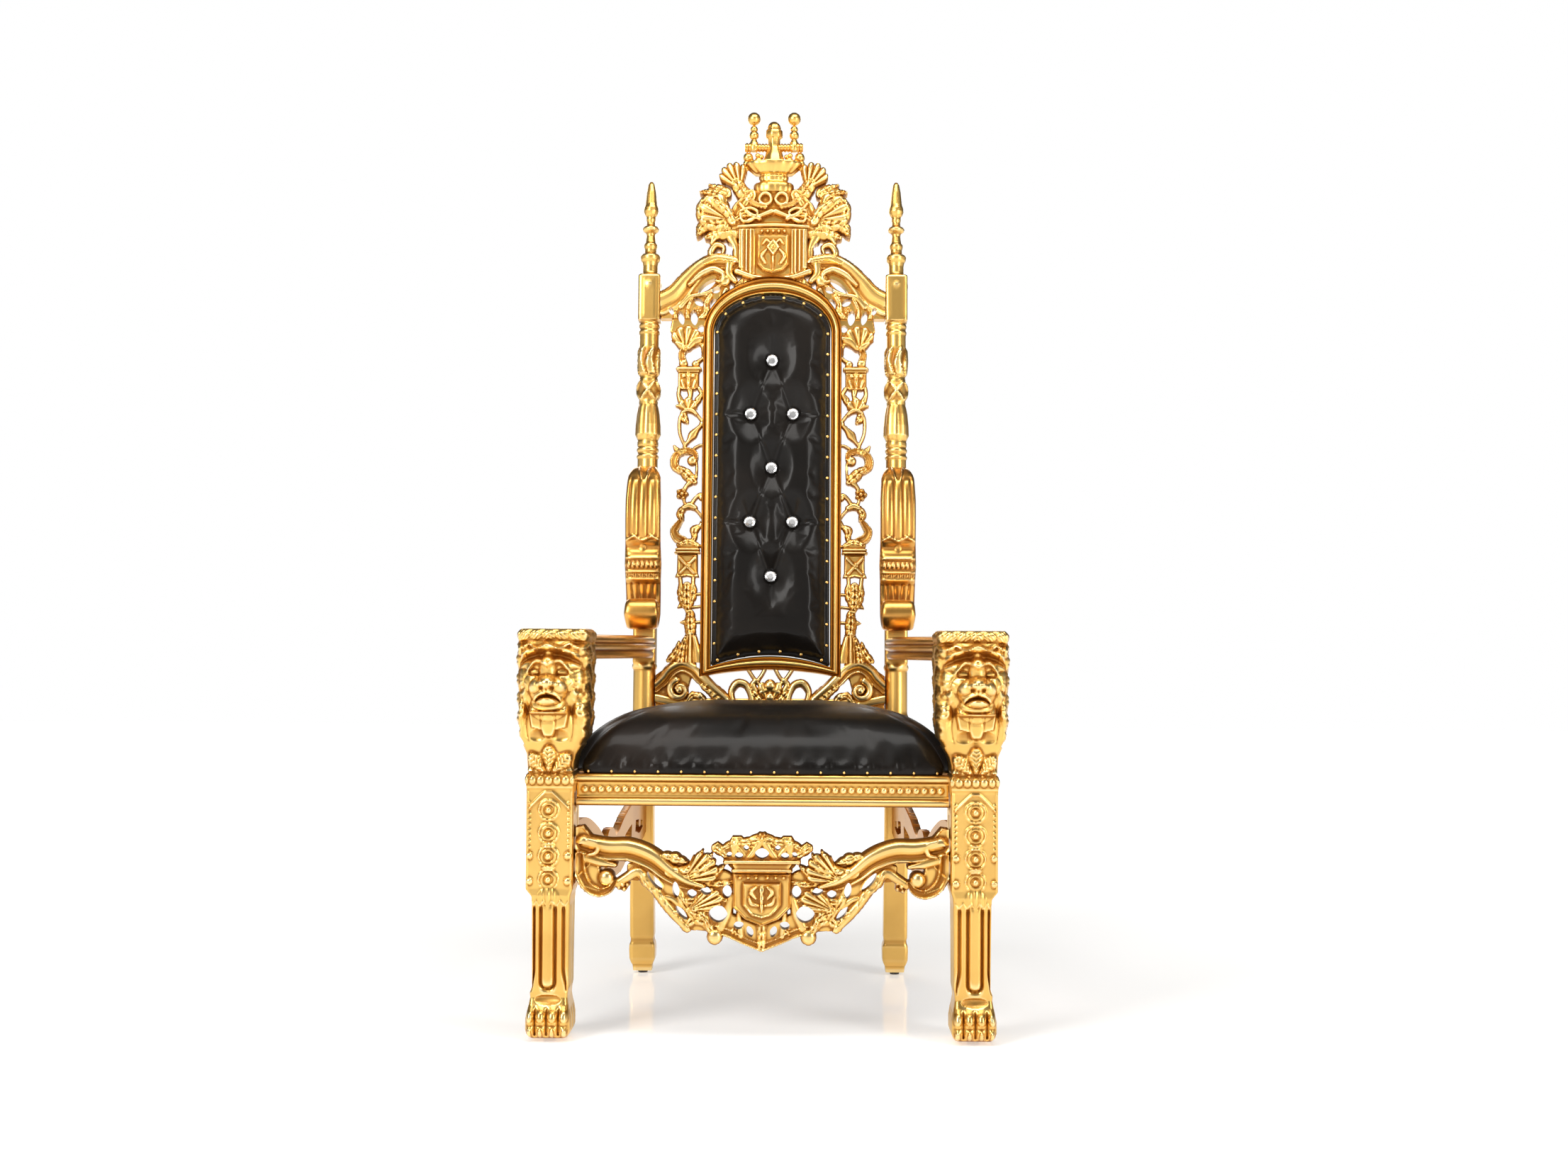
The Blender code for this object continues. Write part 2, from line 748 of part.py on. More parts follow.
# From the roll on the arm up to the post: forward of the post's face, height above the arm's top,
# half thickness and share of the full width
SCROLL_LINE = (
    (0.046, 0.067, 0.007, 0.80),
    (0.068, 0.058, 0.010, 0.92),
    (0.073, 0.038, 0.012, 0.97),
    (0.058, 0.0195, 0.012, 0.90),
    (0.034, 0.0205, 0.012, 0.92),
    (0.022, 0.041, 0.011, 0.97),
    (0.026, 0.078, 0.010, 0.98),
    (0.038, 0.111, 0.012, 1.0),
    (0.046, 0.144, 0.018, 1.04),
    (0.055, 0.181, 0.012, 1.0),
    (0.064, 0.226, 0.011, 1.0),
    (0.062, 0.276, 0.011, 1.0),
    (0.046, 0.324, 0.011, 0.93),
    (0.0135, 0.346, 0.012, 0.66),
)
REED_SECTION = (
    (-1.0, 0.0), (-0.72, 1.0), (-0.36, 0.6), (0.0, 1.0), (0.36, 0.6), (0.72, 1.0),
    (1.0, 0.0), (0.72, -1.0), (0.36, -0.6), (0.0, -1.0), (-0.36, -0.6), (-0.72, -1.0),
)


def arm_scroll(name, side, material, back):
    """A reeded S-scroll: it rolls on the arm, draws in at a knuckle and bows up to the post."""
    line = np.array([(forward, up(ARM_TOP + rise)) for forward, rise, _, _ in SCROLL_LINE])
    along = np.gradient(line, axis=0)
    along /= np.linalg.norm(along, axis=1)[:, None]
    outward = np.stack([along[:, 1], -along[:, 0]], 1)
    rings = []
    for point, normal, (_, _, thick, wide) in zip(line, outward, SCROLL_LINE):
        ring = []
        for a, b in REED_SECTION:
            forward, v = point + normal * thick * b
            x = side * BACK_POST_X + a * wide * SCROLL_HALF
            ring.append((x, -(POST_HALF + GAP + max(forward, GAP)), v))
        rings.append(ring)
    return loft(name, rings, material, back)


# Arched panel in the back

ARCH_STEPS = 10
SILL_STEPS = 4


def arch_loop(half, corner, sill_rise, spring, rise):
    """The panel's outline in the back's plane, from its lower left corner up, over and along the sill."""
    loop = [(-half, up(corner)), (-half, up(corner) * 0.5 + up(spring) * 0.5)]
    for i in range(ARCH_STEPS + 1):
        angle = math.pi - math.pi * i / ARCH_STEPS
        loop.append((half * math.cos(angle), up(spring) + rise * math.sin(angle)))
    loop.append((half, up(corner) * 0.5 + up(spring) * 0.5))
    loop.append((half, up(corner)))
    for i in range(1, SILL_STEPS):
        across = half * (1 - 2 * i / SILL_STEPS)
        loop.append((across, up(corner) + sill_rise * (1 - (across / half) ** 2)))
    return loop


def opening_loop(inset):
    """The opening's outline, drawn in by inset."""
    return arch_loop(
        OPENING_HALF - inset,
        OPENING_CORNER + inset,
        OPENING_SILL_RISE,
        OPENING_SPRING,
        OPENING_RISE - inset,
    )


def frame_loop(grown):
    """The moulding's outer outline, let out by grown."""
    return arch_loop(
        OPENING_HALF + FRAME_WIDTH + grown,
        OPENING_CORNER - FRAME_WIDTH - grown,
        0.016,
        OPENING_SPRING,
        OPENING_RISE + FRAME_CROWN + grown,
    )


def panel_frame(material, back):
    inner, outer = np.array(opening_loop(0.0)), np.array(frame_loop(0.0))
    section = (
        (0.0, -BOARD_BACK), (0.0, 0.010), (0.14, 0.015), (0.50, FRAME_FRONT),
        (0.86, 0.016), (1.0, 0.011), (1.0, -BOARD_BACK),
    )
    rings = []
    for share, forward in section:
        edge = inner + (outer - inner) * share
        rings.append([(x, -forward, v) for x, v in edge])
    around = len(inner)
    count = len(rings)
    points = [p for ring in rings for p in ring]
    faces = [
        (
            row * around + i,
            row * around + (i + 1) % around,
            ((row + 1) % count) * around + (i + 1) % around,
            ((row + 1) % count) * around + i,
        )
        for row in range(count)
        for i in range(around)
    ]
    return add_solid("panel_frame", points, faces, material, back)


def button_places():
    """Seven tufting buttons in a lozenge pattern: (across, up the back)."""
    rows = ((2, (0,)), (1, (-1, 1)), (0, (0,)), (-1, (-1, 1)), (-2, (0,)))
    return [
        (a * BUTTON_SPREAD, up(BUTTON_MIDDLE + row * BUTTON_STEP))
        for row, across in rows
        for a in across
    ]


def puff_places():
    """The middles of the tufts that stand out between the buttons: (across, up the back)."""
    rows = ((3, (0,)), (2, (-1, 1)), (1, (0,)), (0, (-1, 1)), (-1, (0,)), (-2, (-1, 1)), (-3, (0,)))
    return [
        (a * BUTTON_SPREAD, up(BUTTON_MIDDLE + row * BUTTON_STEP))
        for row, across in rows
        for a in across
    ]


class PadSurface(Plate):
    """The tufted pad's front: a flat nailed border, then a crowned cushion pinned down at each button."""

    def height(self, points):
        border = OPENING_HALF - PAD_BORDER
        x, v = points[:, 0], points[:, 1]
        over = np.clip((v - up(OPENING_SPRING)) / (OPENING_RISE - PAD_BORDER), 0, None)
        across = np.sqrt((x / border) ** 2 + over**2)
        sill = up(OPENING_CORNER) + OPENING_SILL_RISE * (1 - (x / OPENING_HALF) ** 2)
        foot = (v - sill - PAD_BORDER) / PAD_SHOULDER
        side = (1 - across) * border / PAD_SHOULDER
        rim = np.clip(np.minimum(side, foot), 0, 1)
        puff = PAD_EDGE + (PAD_CROWN - PAD_EDGE) * np.sqrt(rim)
        for bx, bv in button_places():
            pinned = np.hypot(x - bx, v - bv) < SEAT_REACH * BUTTON_RADIUS + SAME
            puff = np.where(pinned, PAD_SEAT, puff)
        return puff


class Guide(Plate):
    """An outline that the surface goes through without being raised by it."""

    def height(self, points):
        return np.full(len(points), -1.0)


def back_pad(material, back):
    reach = SEAT_REACH * BUTTON_RADIUS
    seats = [spiral(place, (reach, reach), (30, 330), 6) for place in button_places()]
    loops = [opening_loop(PAD_BORDER), opening_loop(PAD_BORDER + 0.3 * PAD_SHOULDER)]
    loops.append(opening_loop(PAD_BORDER + PAD_SHOULDER))
    strokes = [PadSurface(opening_loop(GAP))] + [Guide(loop) for loop in seats + loops]
    return relief_board(
        "back_pad",
        strokes,
        upright,
        0.0,
        BOARD_BACK - 0.003,
        material,
        back,
        dots=puff_places(),
    )


def crystal_button(name, place, material, back):
    """A faceted round button, flat behind."""
    x, v = place
    rings = []
    for rise, size in ((0.0, 1.0), (1.0, 0.52)):
        ring = []
        for i in range(8):
            angle = 2 * math.pi * (i + 0.5) / 8
            reach = size * BUTTON_RADIUS
            forward = PAD_SEAT + GAP + rise * BUTTON_THICK
            ring.append((x + reach * math.cos(angle), -forward, v + reach * math.sin(angle)))
        rings.append(ring)
    return loft(name, rings, material, back)


# Pierced strips between the panel and the posts

DRAWN_STRIP = (0.6475, 1.3800)


def strip_strokes():
    """The right-hand strip's carving. across is drawn from its middle, away from the panel."""
    middle = FRAME_HALF + 0.035
    frame_edge = -0.037
    height = fitted(DRAWN_STRIP, (up(STRIP_BOTTOM), up(STRIP_TOP)))

    def at(*points):
        return [(middle + x, height(z)) for x, z in points]

    loop = spiral((-0.003, 1.144), (0.0235, 0.0235), (90, 450), 9, 1.7)
    strokes = [
        # Palmette and its link to the rail above
        Rib(at((0.0, 1.326), (0.0, 1.352), (0.002, 1.380)), [0.008, 0.009, 0.006], 0.005),
        Rib(at((0.0, 1.326), (0.018, 1.345), (0.033, 1.366)), [0.008, 0.009, 0.004]),
        Rib(at((0.0, 1.326), (-0.016, 1.345), (-0.028, 1.368)), [0.008, 0.009, 0.004]),
        # Stem and open loop
        Rib(at((0.006, 1.332), (0.020, 1.312), (0.010, 1.286)), [0.005, 0.006, 0.006]),
        Rib(at((0.0, 1.330), (-0.020, 1.322), (-0.029, 1.305), (-0.020, 1.290), (-0.002, 1.287)), [0.004]),
        # Flared cap and upper shield
        Plate(at((-0.025, 1.293), (0.025, 1.293), (0.020, 1.277), (-0.020, 1.277)), 0.007),
        Plate(at((-0.022, 1.278), (0.022, 1.278), (0.022, 1.240), (0.0, 1.224), (-0.022, 1.240)), 0.004),
        # Two eyelets and a cup of leaves
        Rib(at((0.0, 1.230), (0.0, 1.184)), [0.006, 0.010]),
        Rib(at((0.016, 1.236), (0.021, 1.218), (0.002, 1.190)), [0.004, 0.004, 0.008]),
        Rib(at((-0.016, 1.236), (-0.021, 1.218), (-0.002, 1.190)), [0.004, 0.004, 0.008]),
        # Large oval loop with a sprig
        Rib(at(*loop), [0.0042]),
        Rib(
            at((-0.008, 1.106), (-0.010, 1.128), (0.001, 1.150), (0.012, 1.160)),
            [0.003, 0.005, 0.004, 0.005],
        ),
        # Foliage scroll
        Rib(
            at((0.0, 1.108), (0.022, 1.098), (0.026, 1.076), (0.010, 1.058), (-0.006, 1.046)),
            [0.007, 0.007, 0.006],
            0.006,
        ),
        Rib(at((0.0, 1.108), (-0.019, 1.092), (-0.016, 1.072), (-0.004, 1.076)), [0.005]),
        Rib(at((0.020, 1.096), (0.036, 1.106)), [0.006, 0.002]),
        # Blossom and its stalk
        Rib(
            at((-0.010, 1.050), (0.002, 1.030), (0.012, 1.004), (0.004, 0.978)),
            [0.007, 0.007, 0.006, 0.005],
        ),
        Boss(at((0.012, 1.006))[0], 0.014, 0.008),
        # Open C-scroll with a curled leaf
        Rib(at((0.004, 0.982), (-0.016, 0.972), (-0.025, 0.948), (-0.016, 0.922), (0.0, 0.904)), [0.005]),
        Rib(
            at((0.004, 0.982), (0.022, 0.962), (0.027, 0.935), (0.012, 0.906)),
            [0.005, 0.005, 0.006, 0.008],
        ),
        Rib(at((-0.019, 0.942), (-0.007, 0.935), (-0.008, 0.922)), [0.003, 0.005, 0.004]),
        # Lower cap and shield
        Rib(at((0.0, 0.912), (0.0, 0.890)), [0.008, 0.016]),
        Plate(at((-0.025, 0.892), (0.025, 0.892), (0.022, 0.877), (-0.022, 0.877)), 0.007),
        Plate(at((-0.022, 0.878), (0.022, 0.878), (0.022, 0.831), (-0.022, 0.831)), 0.004),
        # Leaf drop
        Rib(at((0.0, 0.836), (0.0, 0.800), (0.0, 0.752)), [0.014, 0.012, 0.007], 0.006),
        Rib(at((0.006, 0.824), (0.019, 0.795), (0.026, 0.766)), [0.009, 0.009, 0.003]),
        Rib(at((-0.006, 0.824), (-0.015, 0.795), (-0.020, 0.768)), [0.008, 0.008, 0.003]),
        # Small leaves
        Rib(at((0.0, 0.756), (0.0, 0.700)), [0.007, 0.010]),
        Rib(at((0.018, 0.742), (0.0, 0.728), (-0.018, 0.740)), [0.004, 0.007, 0.004]),
        # Acanthus base
        Rib(at((0.0, 0.706), (0.0, 0.672), (0.0, 0.6475)), [0.010, 0.016, 0.026], 0.007),
        Rib(at((0.012, 0.662), (0.028, 0.674), (0.037, 0.692)), [0.012, 0.008, 0.003]),
        Rib(at((-0.012, 0.662), (-0.022, 0.680), (-0.026, 0.700)), [0.012, 0.008, 0.003]),
    ]
    # Twigs to the panel's moulding: where each leaves the carving, and its height
    twigs = (
        (-0.018, 1.283), (-0.020, 1.170), (-0.014, 1.098), (0.0, 1.032), (-0.021, 0.960),
        (-0.020, 0.884), (-0.018, 0.836), (-0.014, 0.780), (-0.006, 0.735), (-0.016, 0.664),
    )
    strokes += [Rib(at((x, z), (frame_edge, z)), [0.0035]) for x, z in twigs]
    return strokes


def fretwork(name, side, material, back):
    strokes = strip_strokes()
    if side < 0:
        strokes = [s.mirrored() for s in strokes]
    cuts = [frame_loop(GAP)]
    return relief_board(name, strokes, upright, 0.006, 0.008, material, back, cuts, keep=BOARD_KEEP)


# Scrolled rail under the panel

DRAWN_POST_EDGE = 0.2392


def lower_rail(material, back):
    half = BACK_POST_X - POST_HALF - GAP
    foot = OPENING_CORNER - LOWER_RAIL_TALL
    lid_height = STRIP_BOTTOM - GAP
    across = fitted((0.0, DRAWN_POST_EDGE), (0.0, half))
    height = fitted((0.545, 0.6475), (up(foot), up(STRIP_BOTTOM)))

    def at(*points):
        return [(across(x), height(z)) for x, z in points]

    volute = spiral((0.198, 0.597), (0.030, 0.011), (60, -270), 8)
    strokes = both_sides([
        Rib(
            at(
                (0.2392, 0.600), (0.218, 0.618), (0.192, 0.632), (0.165, 0.620), (0.140, 0.600),
                (0.094, 0.568),
            ),
            [0.020, 0.017, 0.0155, 0.013, 0.012, 0.010],
            0.010,
        ),
        Rib(at(*volute), [0.008, 0.007, 0.006], 0.009),
        Rib(at((0.2392, 0.566), (0.205, 0.568)), [0.012]),
        Rib(at((0.168, 0.572), (0.148, 0.588), (0.128, 0.576)), [0.007]),
        # Tracery under the sill
        Rib(at((0.094, 0.572), (0.092, 0.596), (0.074, 0.610), (0.058, 0.598), (0.046, 0.572)), [0.006]),
        Rib(at((0.070, 0.606), (0.048, 0.634)), [0.004]),
        Rib(at((0.050, 0.600), (0.020, 0.580)), [0.004, 0.006]),
        Rib(at((0.018, 0.588), (0.036, 0.642)), [0.004]),
    ]) + [
        Boss(at((0.0, 0.596))[0], 0.013, 0.010),
        Rib(at((0.0, 0.566), (0.0, 0.606)), [0.010, 0.008]),
        Plate(at((-0.2392, 0.545), (0.2392, 0.545), (0.2392, 0.574), (-0.2392, 0.574)), 0.002),
    ]
    lid_line = up(lid_height)
    lid_top = lid_line + CUT_REACH
    wide = half + CUT_REACH
    lid = [(-wide, lid_line), (-wide, lid_top), (wide, lid_top), (wide, lid_line)]
    cuts = [frame_loop(GAP), lid] + beyond(half, up(foot) - CUT_REACH, lid_top)
    return relief_board(
        "lower_rail", strokes, upright, 0.008, BOARD_BACK, material, back, cuts, keep=BOARD_KEEP,
    )


# Crest: top rail, spandrels, leaf volutes and shield

DRAWN_CREST = (1.380, 1.659)


def crest_rail(material, back):
    half = BACK_POST_X - POST_HALF - GAP
    foot = up(STRIP_TOP + GAP)
    across = fitted((0.0, DRAWN_POST_EDGE), (0.0, half))
    height = fitted(DRAWN_CREST, (foot, up(CROWN_FOOT - GAP)))

    def at(*points):
        return [(across(x), height(z)) for x, z in points]

    leaf_volute = spiral((0.126, 1.618), (0.040, 0.012), (-130, 250), 11)
    ring = spiral((0.018, 1.632), (0.015, 0.010), (-90, 200), 6)
    strokes = both_sides([
        # Swept arm from the post to the shield
        Rib(
            at(
                (0.2392, 1.411), (0.213, 1.425), (0.180, 1.463), (0.153, 1.490), (0.128, 1.503),
                (0.085, 1.500),
            ),
            [0.027, 0.026, 0.0225, 0.020, 0.019, 0.018],
            0.011,
        ),
        # Spandrel tracery
        Rib(at((0.222, 1.400), (0.192, 1.388), (0.182, 1.384)), [0.006, 0.006, 0.008]),
        Rib(at((0.196, 1.404), (0.172, 1.420), (0.136, 1.448)), [0.005]),
        Rib(at((0.182, 1.388), (0.160, 1.402), (0.128, 1.425)), [0.006, 0.006, 0.004]),
        Rib(at((0.204, 1.392), (0.176, 1.440)), [0.004]),
        Rib(at((0.152, 1.386), (0.158, 1.412), (0.148, 1.470)), [0.010, 0.006, 0.005]),
        Rib(at((0.122, 1.418), (0.120, 1.440), (0.108, 1.472)), [0.005, 0.006, 0.010]),
        # Small scrolls between the arm and the big leaf
        Rib(
            at((0.128, 1.508), (0.131, 1.526), (0.118, 1.538), (0.104, 1.530)),
            [0.006, 0.008, 0.007, 0.005],
        ),
        Rib(at((0.078, 1.510), (0.080, 1.534), (0.090, 1.556)), [0.010, 0.008, 0.012]),
        # Big leaf volute with its fringe
        Rib(at(*leaf_volute), [0.018, 0.015, 0.010, 0.007], 0.014, 0.004),
        Rib(at((0.075, 1.572), (0.110, 1.566), (0.140, 1.560)), [0.020, 0.016, 0.008]),
        Rib(at((0.140, 1.585), (0.160, 1.572), (0.164, 1.557)), [0.014, 0.010, 0.003]),
        Rib(at((0.124, 1.568), (0.138, 1.552)), [0.010, 0.004]),
        Rib(at((0.120, 1.652), (0.146, 1.662), (0.160, 1.656)), [0.012, 0.008, 0.003]),
        Rib(at((0.110, 1.655), (0.128, 1.670), (0.142, 1.674)), [0.010, 0.007, 0.003]),
        # Upright leaf beside the crown
        Rib(at((0.052, 1.640), (0.080, 1.662), (0.104, 1.700)), [0.012, 0.018, 0.011], 0.010),
        Rib(at((0.098, 1.684), (0.122, 1.714)), [0.010, 0.004]),
        Rib(at((0.090, 1.684), (0.099, 1.718)), [0.010, 0.004]),
        Rib(at((0.080, 1.672), (0.076, 1.709)), [0.010, 0.004]),
        # Mantling between the shield and the crown
        Rib(at((0.078, 1.584), (0.066, 1.620), (0.045, 1.650)), [0.020, 0.022, 0.012], 0.010),
        Rib(at(*ring), [0.007]),
    ]) + [
        Plate(at((-0.090, 1.580), (0.090, 1.580), (0.050, 1.659), (-0.050, 1.659)), 0.003),
        Plate(
            at(
                (-0.073, 1.583), (0.073, 1.583), (0.073, 1.500), (0.050, 1.4725), (-0.050, 1.4725),
                (-0.073, 1.500),
            ),
            0.012,
        ),
        Plate(at((-0.037, 1.573), (0.037, 1.573), (0.037, 1.505), (0.0, 1.482), (-0.037, 1.505)), 0.018),
        Rib(at((0.0, 1.562), (0.0, 1.500)), [0.012, 0.008], 0.006, 0.018),
        Plate(at((-0.060, 1.476), (0.060, 1.476), (0.090, 1.440), (-0.090, 1.440))),
    ]
    below = foot - CUT_REACH
    under = [(0.0, below), (half, below), (half, foot), (0.0, foot)]
    cuts = [frame_loop(GAP), under, [(-x, z) for x, z in under]]
    cuts += beyond(half, below, foot + CUT_REACH)
    return relief_board(
        "crest_rail", strokes, upright, 0.010, BOARD_BACK, material, back, cuts, keep=BOARD_KEEP,
    )


# Crown on the crest

CROWN_SQUASH = 0.5
CROWN_STEM_X = 0.0435
CROWN_BAR_REACH = 0.0555
CROWN_BAR_RADIUS = 0.0085
CROWN_BALL = 0.0148
CROWN_BAR_RISE = 0.093


def union_of(name, pieces, parent):
    """One solid from overlapping pieces."""
    first = pieces[0]
    for helper in pieces[1:]:
        join = first.modifiers.new("join_" + helper.name, "BOOLEAN")
        join.operation = "UNION"
        join.object = helper
        helper.hide_render = True
        helper.display_type = "WIRE"
    first.name = name
    first.parent = parent
    return first


def crown(material, back):
    """A coronet: moulded foot, flared cup, cross bar, two balled stems and a middle bud."""
    foot, bar, top = up(CROWN_FOOT), up(CROWN_FOOT + CROWN_BAR_RISE), up(THRONE_TOP)
    cup = lathe_rings(
        (
            (foot, 0.043), (foot + 0.010, 0.040), (foot + 0.016, 0.032), (foot + 0.026, 0.033),
            (foot + 0.034, 0.044), (foot + 0.048, 0.064), (foot + 0.056, 0.062), (foot + 0.058, 0.050),
        ),
        12, (0.0, 0.0), CROWN_SQUASH,
    )
    pieces = [loft("crown_cup", cup, material, back)]
    neck = foot + 0.050
    stem = lathe_rings(
        (
            (neck, 0.0075), (bar - 0.020, 0.0125), (bar - 0.008, 0.0065), (bar + 0.014, 0.0065),
            (bar + 0.024, 0.0095), (top - 2.2 * CROWN_BALL, 0.0055), (top - 1.7 * CROWN_BALL, 0.011),
            (top - CROWN_BALL, CROWN_BALL), (top - 0.3 * CROWN_BALL, 0.0105), (top, 0.003),
        ),
        6, (0.0, 0.0),
    )
    for side, word in ((-1, "left"), (1, "right")):
        shifted = [[(x + side * CROWN_STEM_X, y, z) for x, y, z in ring] for ring in stem]
        pieces.append(loft(f"crown_stem_{word}", shifted, material, back))
    turns = [math.pi * (k + 0.5) / 3 for k in range(6)]
    bar_rings = [
        [(x, CROWN_BAR_RADIUS * math.cos(a), bar + CROWN_BAR_RADIUS * math.sin(a)) for a in turns]
        for x in (-CROWN_BAR_REACH, CROWN_BAR_REACH)
    ]
    pieces.append(loft("crown_bar", bar_rings, material, back))
    bud = lathe_rings(
        (
            (neck, 0.017), (bar - 0.012, 0.011), (bar + 0.004, 0.012), (bar + 0.012, 0.0175),
            (bar + 0.032, 0.0165), (bar + 0.048, 0.006),
        ),
        6, (0.0, 0.0),
    )
    pieces.append(loft("crown_bud", bud, material, back))
    return union_of("crown", pieces, back)


# Pierced apron between the front legs

DRAWN_LEG_EDGE = 0.3252
DRAWN_APRON = (0.149, 0.3595)


def front_apron(material, parent):
    half = FRONT_LEG_X - LEG_HALF - GAP
    across = fitted((0.0, DRAWN_LEG_EDGE), (0.0, half))
    height = fitted(DRAWN_APRON, (APRON_BOTTOM, APRON_TOP))

    def at(*points):
        return [(across(x), height(z)) for x, z in points]

    strokes = both_sides([
        # Block and C-scroll at the leg
        Plate(at((0.300, 0.300), (0.3252, 0.276), (0.3252, 0.366), (0.312, 0.368), (0.300, 0.352)), 0.006),
        Rib(
            at((0.316, 0.310), (0.313, 0.282), (0.300, 0.262), (0.281, 0.256), (0.264, 0.267)),
            [0.010, 0.011, 0.010, 0.009, 0.008],
        ),
        Boss(at((0.2716, 0.2776))[0], 0.014, 0.012),
        # Bold arm that sweeps in to the leaf
        Rib(
            at(
                (0.310, 0.330), (0.270, 0.325), (0.232, 0.326), (0.192, 0.311), (0.162, 0.288),
                (0.130, 0.270), (0.104, 0.263),
            ),
            [0.020, 0.021, 0.0205, 0.020, 0.018, 0.014, 0.008],
            0.014,
        ),
        # Lower rib, down to the balled scroll
        Rib(
            at(
                (0.266, 0.272), (0.248, 0.268), (0.232, 0.280), (0.212, 0.286), (0.192, 0.266),
                (0.150, 0.210), (0.130, 0.192),
            ),
            [0.008, 0.010, 0.008, 0.008, 0.008, 0.008, 0.007],
        ),
        Rib(
            at((0.134, 0.192), (0.116, 0.206), (0.098, 0.200), (0.084, 0.180)),
            [0.008, 0.011, 0.010, 0.009],
        ),
        Boss(at((0.0817, 0.177))[0], 0.0135, 0.010),
        # Tracery inside
        Rib(at((0.196, 0.300), (0.176, 0.262)), [0.006, 0.005]),
        Rib(at((0.152, 0.282), (0.140, 0.240), (0.116, 0.206)), [0.008, 0.009, 0.008]),
        Rib(
            at((0.138, 0.238), (0.110, 0.240), (0.088, 0.250), (0.066, 0.240)),
            [0.008, 0.010, 0.008, 0.006],
        ),
        Rib(at((0.172, 0.246), (0.146, 0.232)), [0.005, 0.006]),
        Rib(at((0.105, 0.268), (0.098, 0.246)), [0.006]),
        # Leaf over the end of the arm
        Rib(
            at((0.148, 0.286), (0.120, 0.292), (0.096, 0.300), (0.090, 0.318)),
            [0.014, 0.014, 0.010, 0.003],
            0.009,
        ),
        Rib(at((0.118, 0.294), (0.106, 0.322)), [0.012, 0.004]),
        Rib(at((0.112, 0.282), (0.086, 0.280), (0.068, 0.296)), [0.012, 0.010, 0.004]),
        Rib(at((0.100, 0.272), (0.074, 0.272), (0.048, 0.274)), [0.010, 0.007, 0.006]),
        # Brackets and tracery round the shield's point
        Rib(at((0.052, 0.245), (0.062, 0.215), (0.072, 0.192)), [0.008, 0.009, 0.009]),
        Rib(at((0.084, 0.190), (0.060, 0.184), (0.030, 0.170), (0.0, 0.158)), [0.008, 0.008, 0.007, 0.007]),
        Rib(at((0.040, 0.218), (0.036, 0.178)), [0.005, 0.006]),
        # Crown over the shield
        Rib(at((0.028, 0.305), (0.0, 0.346)), [0.008, 0.009]),
        Rib(at((0.050, 0.306), (0.0476, 0.336)), [0.008, 0.010]),
        Rib(at((0.048, 0.300), (0.064, 0.318), (0.080, 0.329)), [0.008, 0.008, 0.009]),
        Rib(at((0.026, 0.310), (0.042, 0.330)), [0.006]),
        Rib(at((0.0, 0.346), (0.024, 0.340), (0.048, 0.338), (0.070, 0.328)), [0.010, 0.007, 0.006, 0.005]),
    ]) + [
        Boss(at((0.0, 0.347))[0], 0.0125, 0.009),
        Plate(at((-0.043, 0.2865), (0.043, 0.2865), (0.0575, 0.3095), (-0.0575, 0.3095)), 0.014),
        Plate(
            at(
                (-0.051, 0.288), (0.051, 0.288), (0.051, 0.228), (0.030, 0.207), (0.0, 0.195),
                (-0.030, 0.207), (-0.051, 0.228),
            ),
            0.008,
        ),
        Plate(at((-0.034, 0.272), (0.034, 0.272), (0.034, 0.232), (0.0, 0.209), (-0.034, 0.232)), 0.013),
        Rib(at((0.0, 0.266), (0.0, 0.222)), [0.010, 0.006], 0.006, 0.013),
        Rib(at((0.0, 0.202), (0.0, 0.158)), [0.010, 0.009]),
    ]
    return relief_board(
        "front_apron",
        strokes,
        lambda x, f, z: (x, FRONT_LEG_Y + 0.004 - f, z),
        0.006,
        0.014,
        material,
        parent,
        beyond(half, APRON_BOTTOM - CUT_REACH, APRON_TOP + CUT_REACH),
        keep=BOARD_KEEP,
    )


def side_stretcher(name, side, material, parent):
    """A plainer pierced board between a front leg and a back leg. across runs from 0 to 1."""
    height = fitted(DRAWN_APRON, (APRON_BOTTOM, APRON_TOP))

    def at(*points):
        return [(t, height(z)) for t, z in points]

    strokes = [
        Plate(at((0.0, 0.300), (0.0, 0.364), (0.055, 0.372), (0.055, 0.292)), 0.002),
        Rib(
            at((0.03, 0.344), (0.16, 0.350), (0.30, 0.330), (0.42, 0.302), (0.50, 0.298)),
            [0.020, 0.020, 0.018, 0.016, 0.016],
            0.006,
        ),
        Rib(
            at((0.03, 0.306), (0.10, 0.290), (0.18, 0.296), (0.26, 0.280), (0.36, 0.254), (0.50, 0.246)),
            [0.012, 0.012, 0.010, 0.010, 0.010, 0.012],
        ),
        Rib(at((0.18, 0.346), (0.20, 0.286)), [0.014]),
        Rib(at((0.34, 0.318), (0.38, 0.254)), [0.016, 0.014]),
        Rib(at((0.50, 0.300), (0.50, 0.244)), [0.034, 0.028]),
    ]
    ahead = [stroke.mirrored().moved((1.0, 0.0)) for stroke in strokes]
    low, high = APRON_BOTTOM, APRON_TOP + CUT_REACH
    ends = [[(a, low), (a + 1, low), (a + 1, high), (a, high)] for a in (-1.0, 1.0)]
    place = side_board_place(side)
    return relief_board(name, strokes + ahead, place, 0.006, 0.010, material, parent, ends, keep=0.8)


def glide(name, x, y, material, parent):
    rings = lathe_rings([(0.0, GLIDE_RADIUS * 0.9), (GLIDE_HEIGHT, GLIDE_RADIUS)], 8, (x, y))
    return loft(name, rings, material, parent)


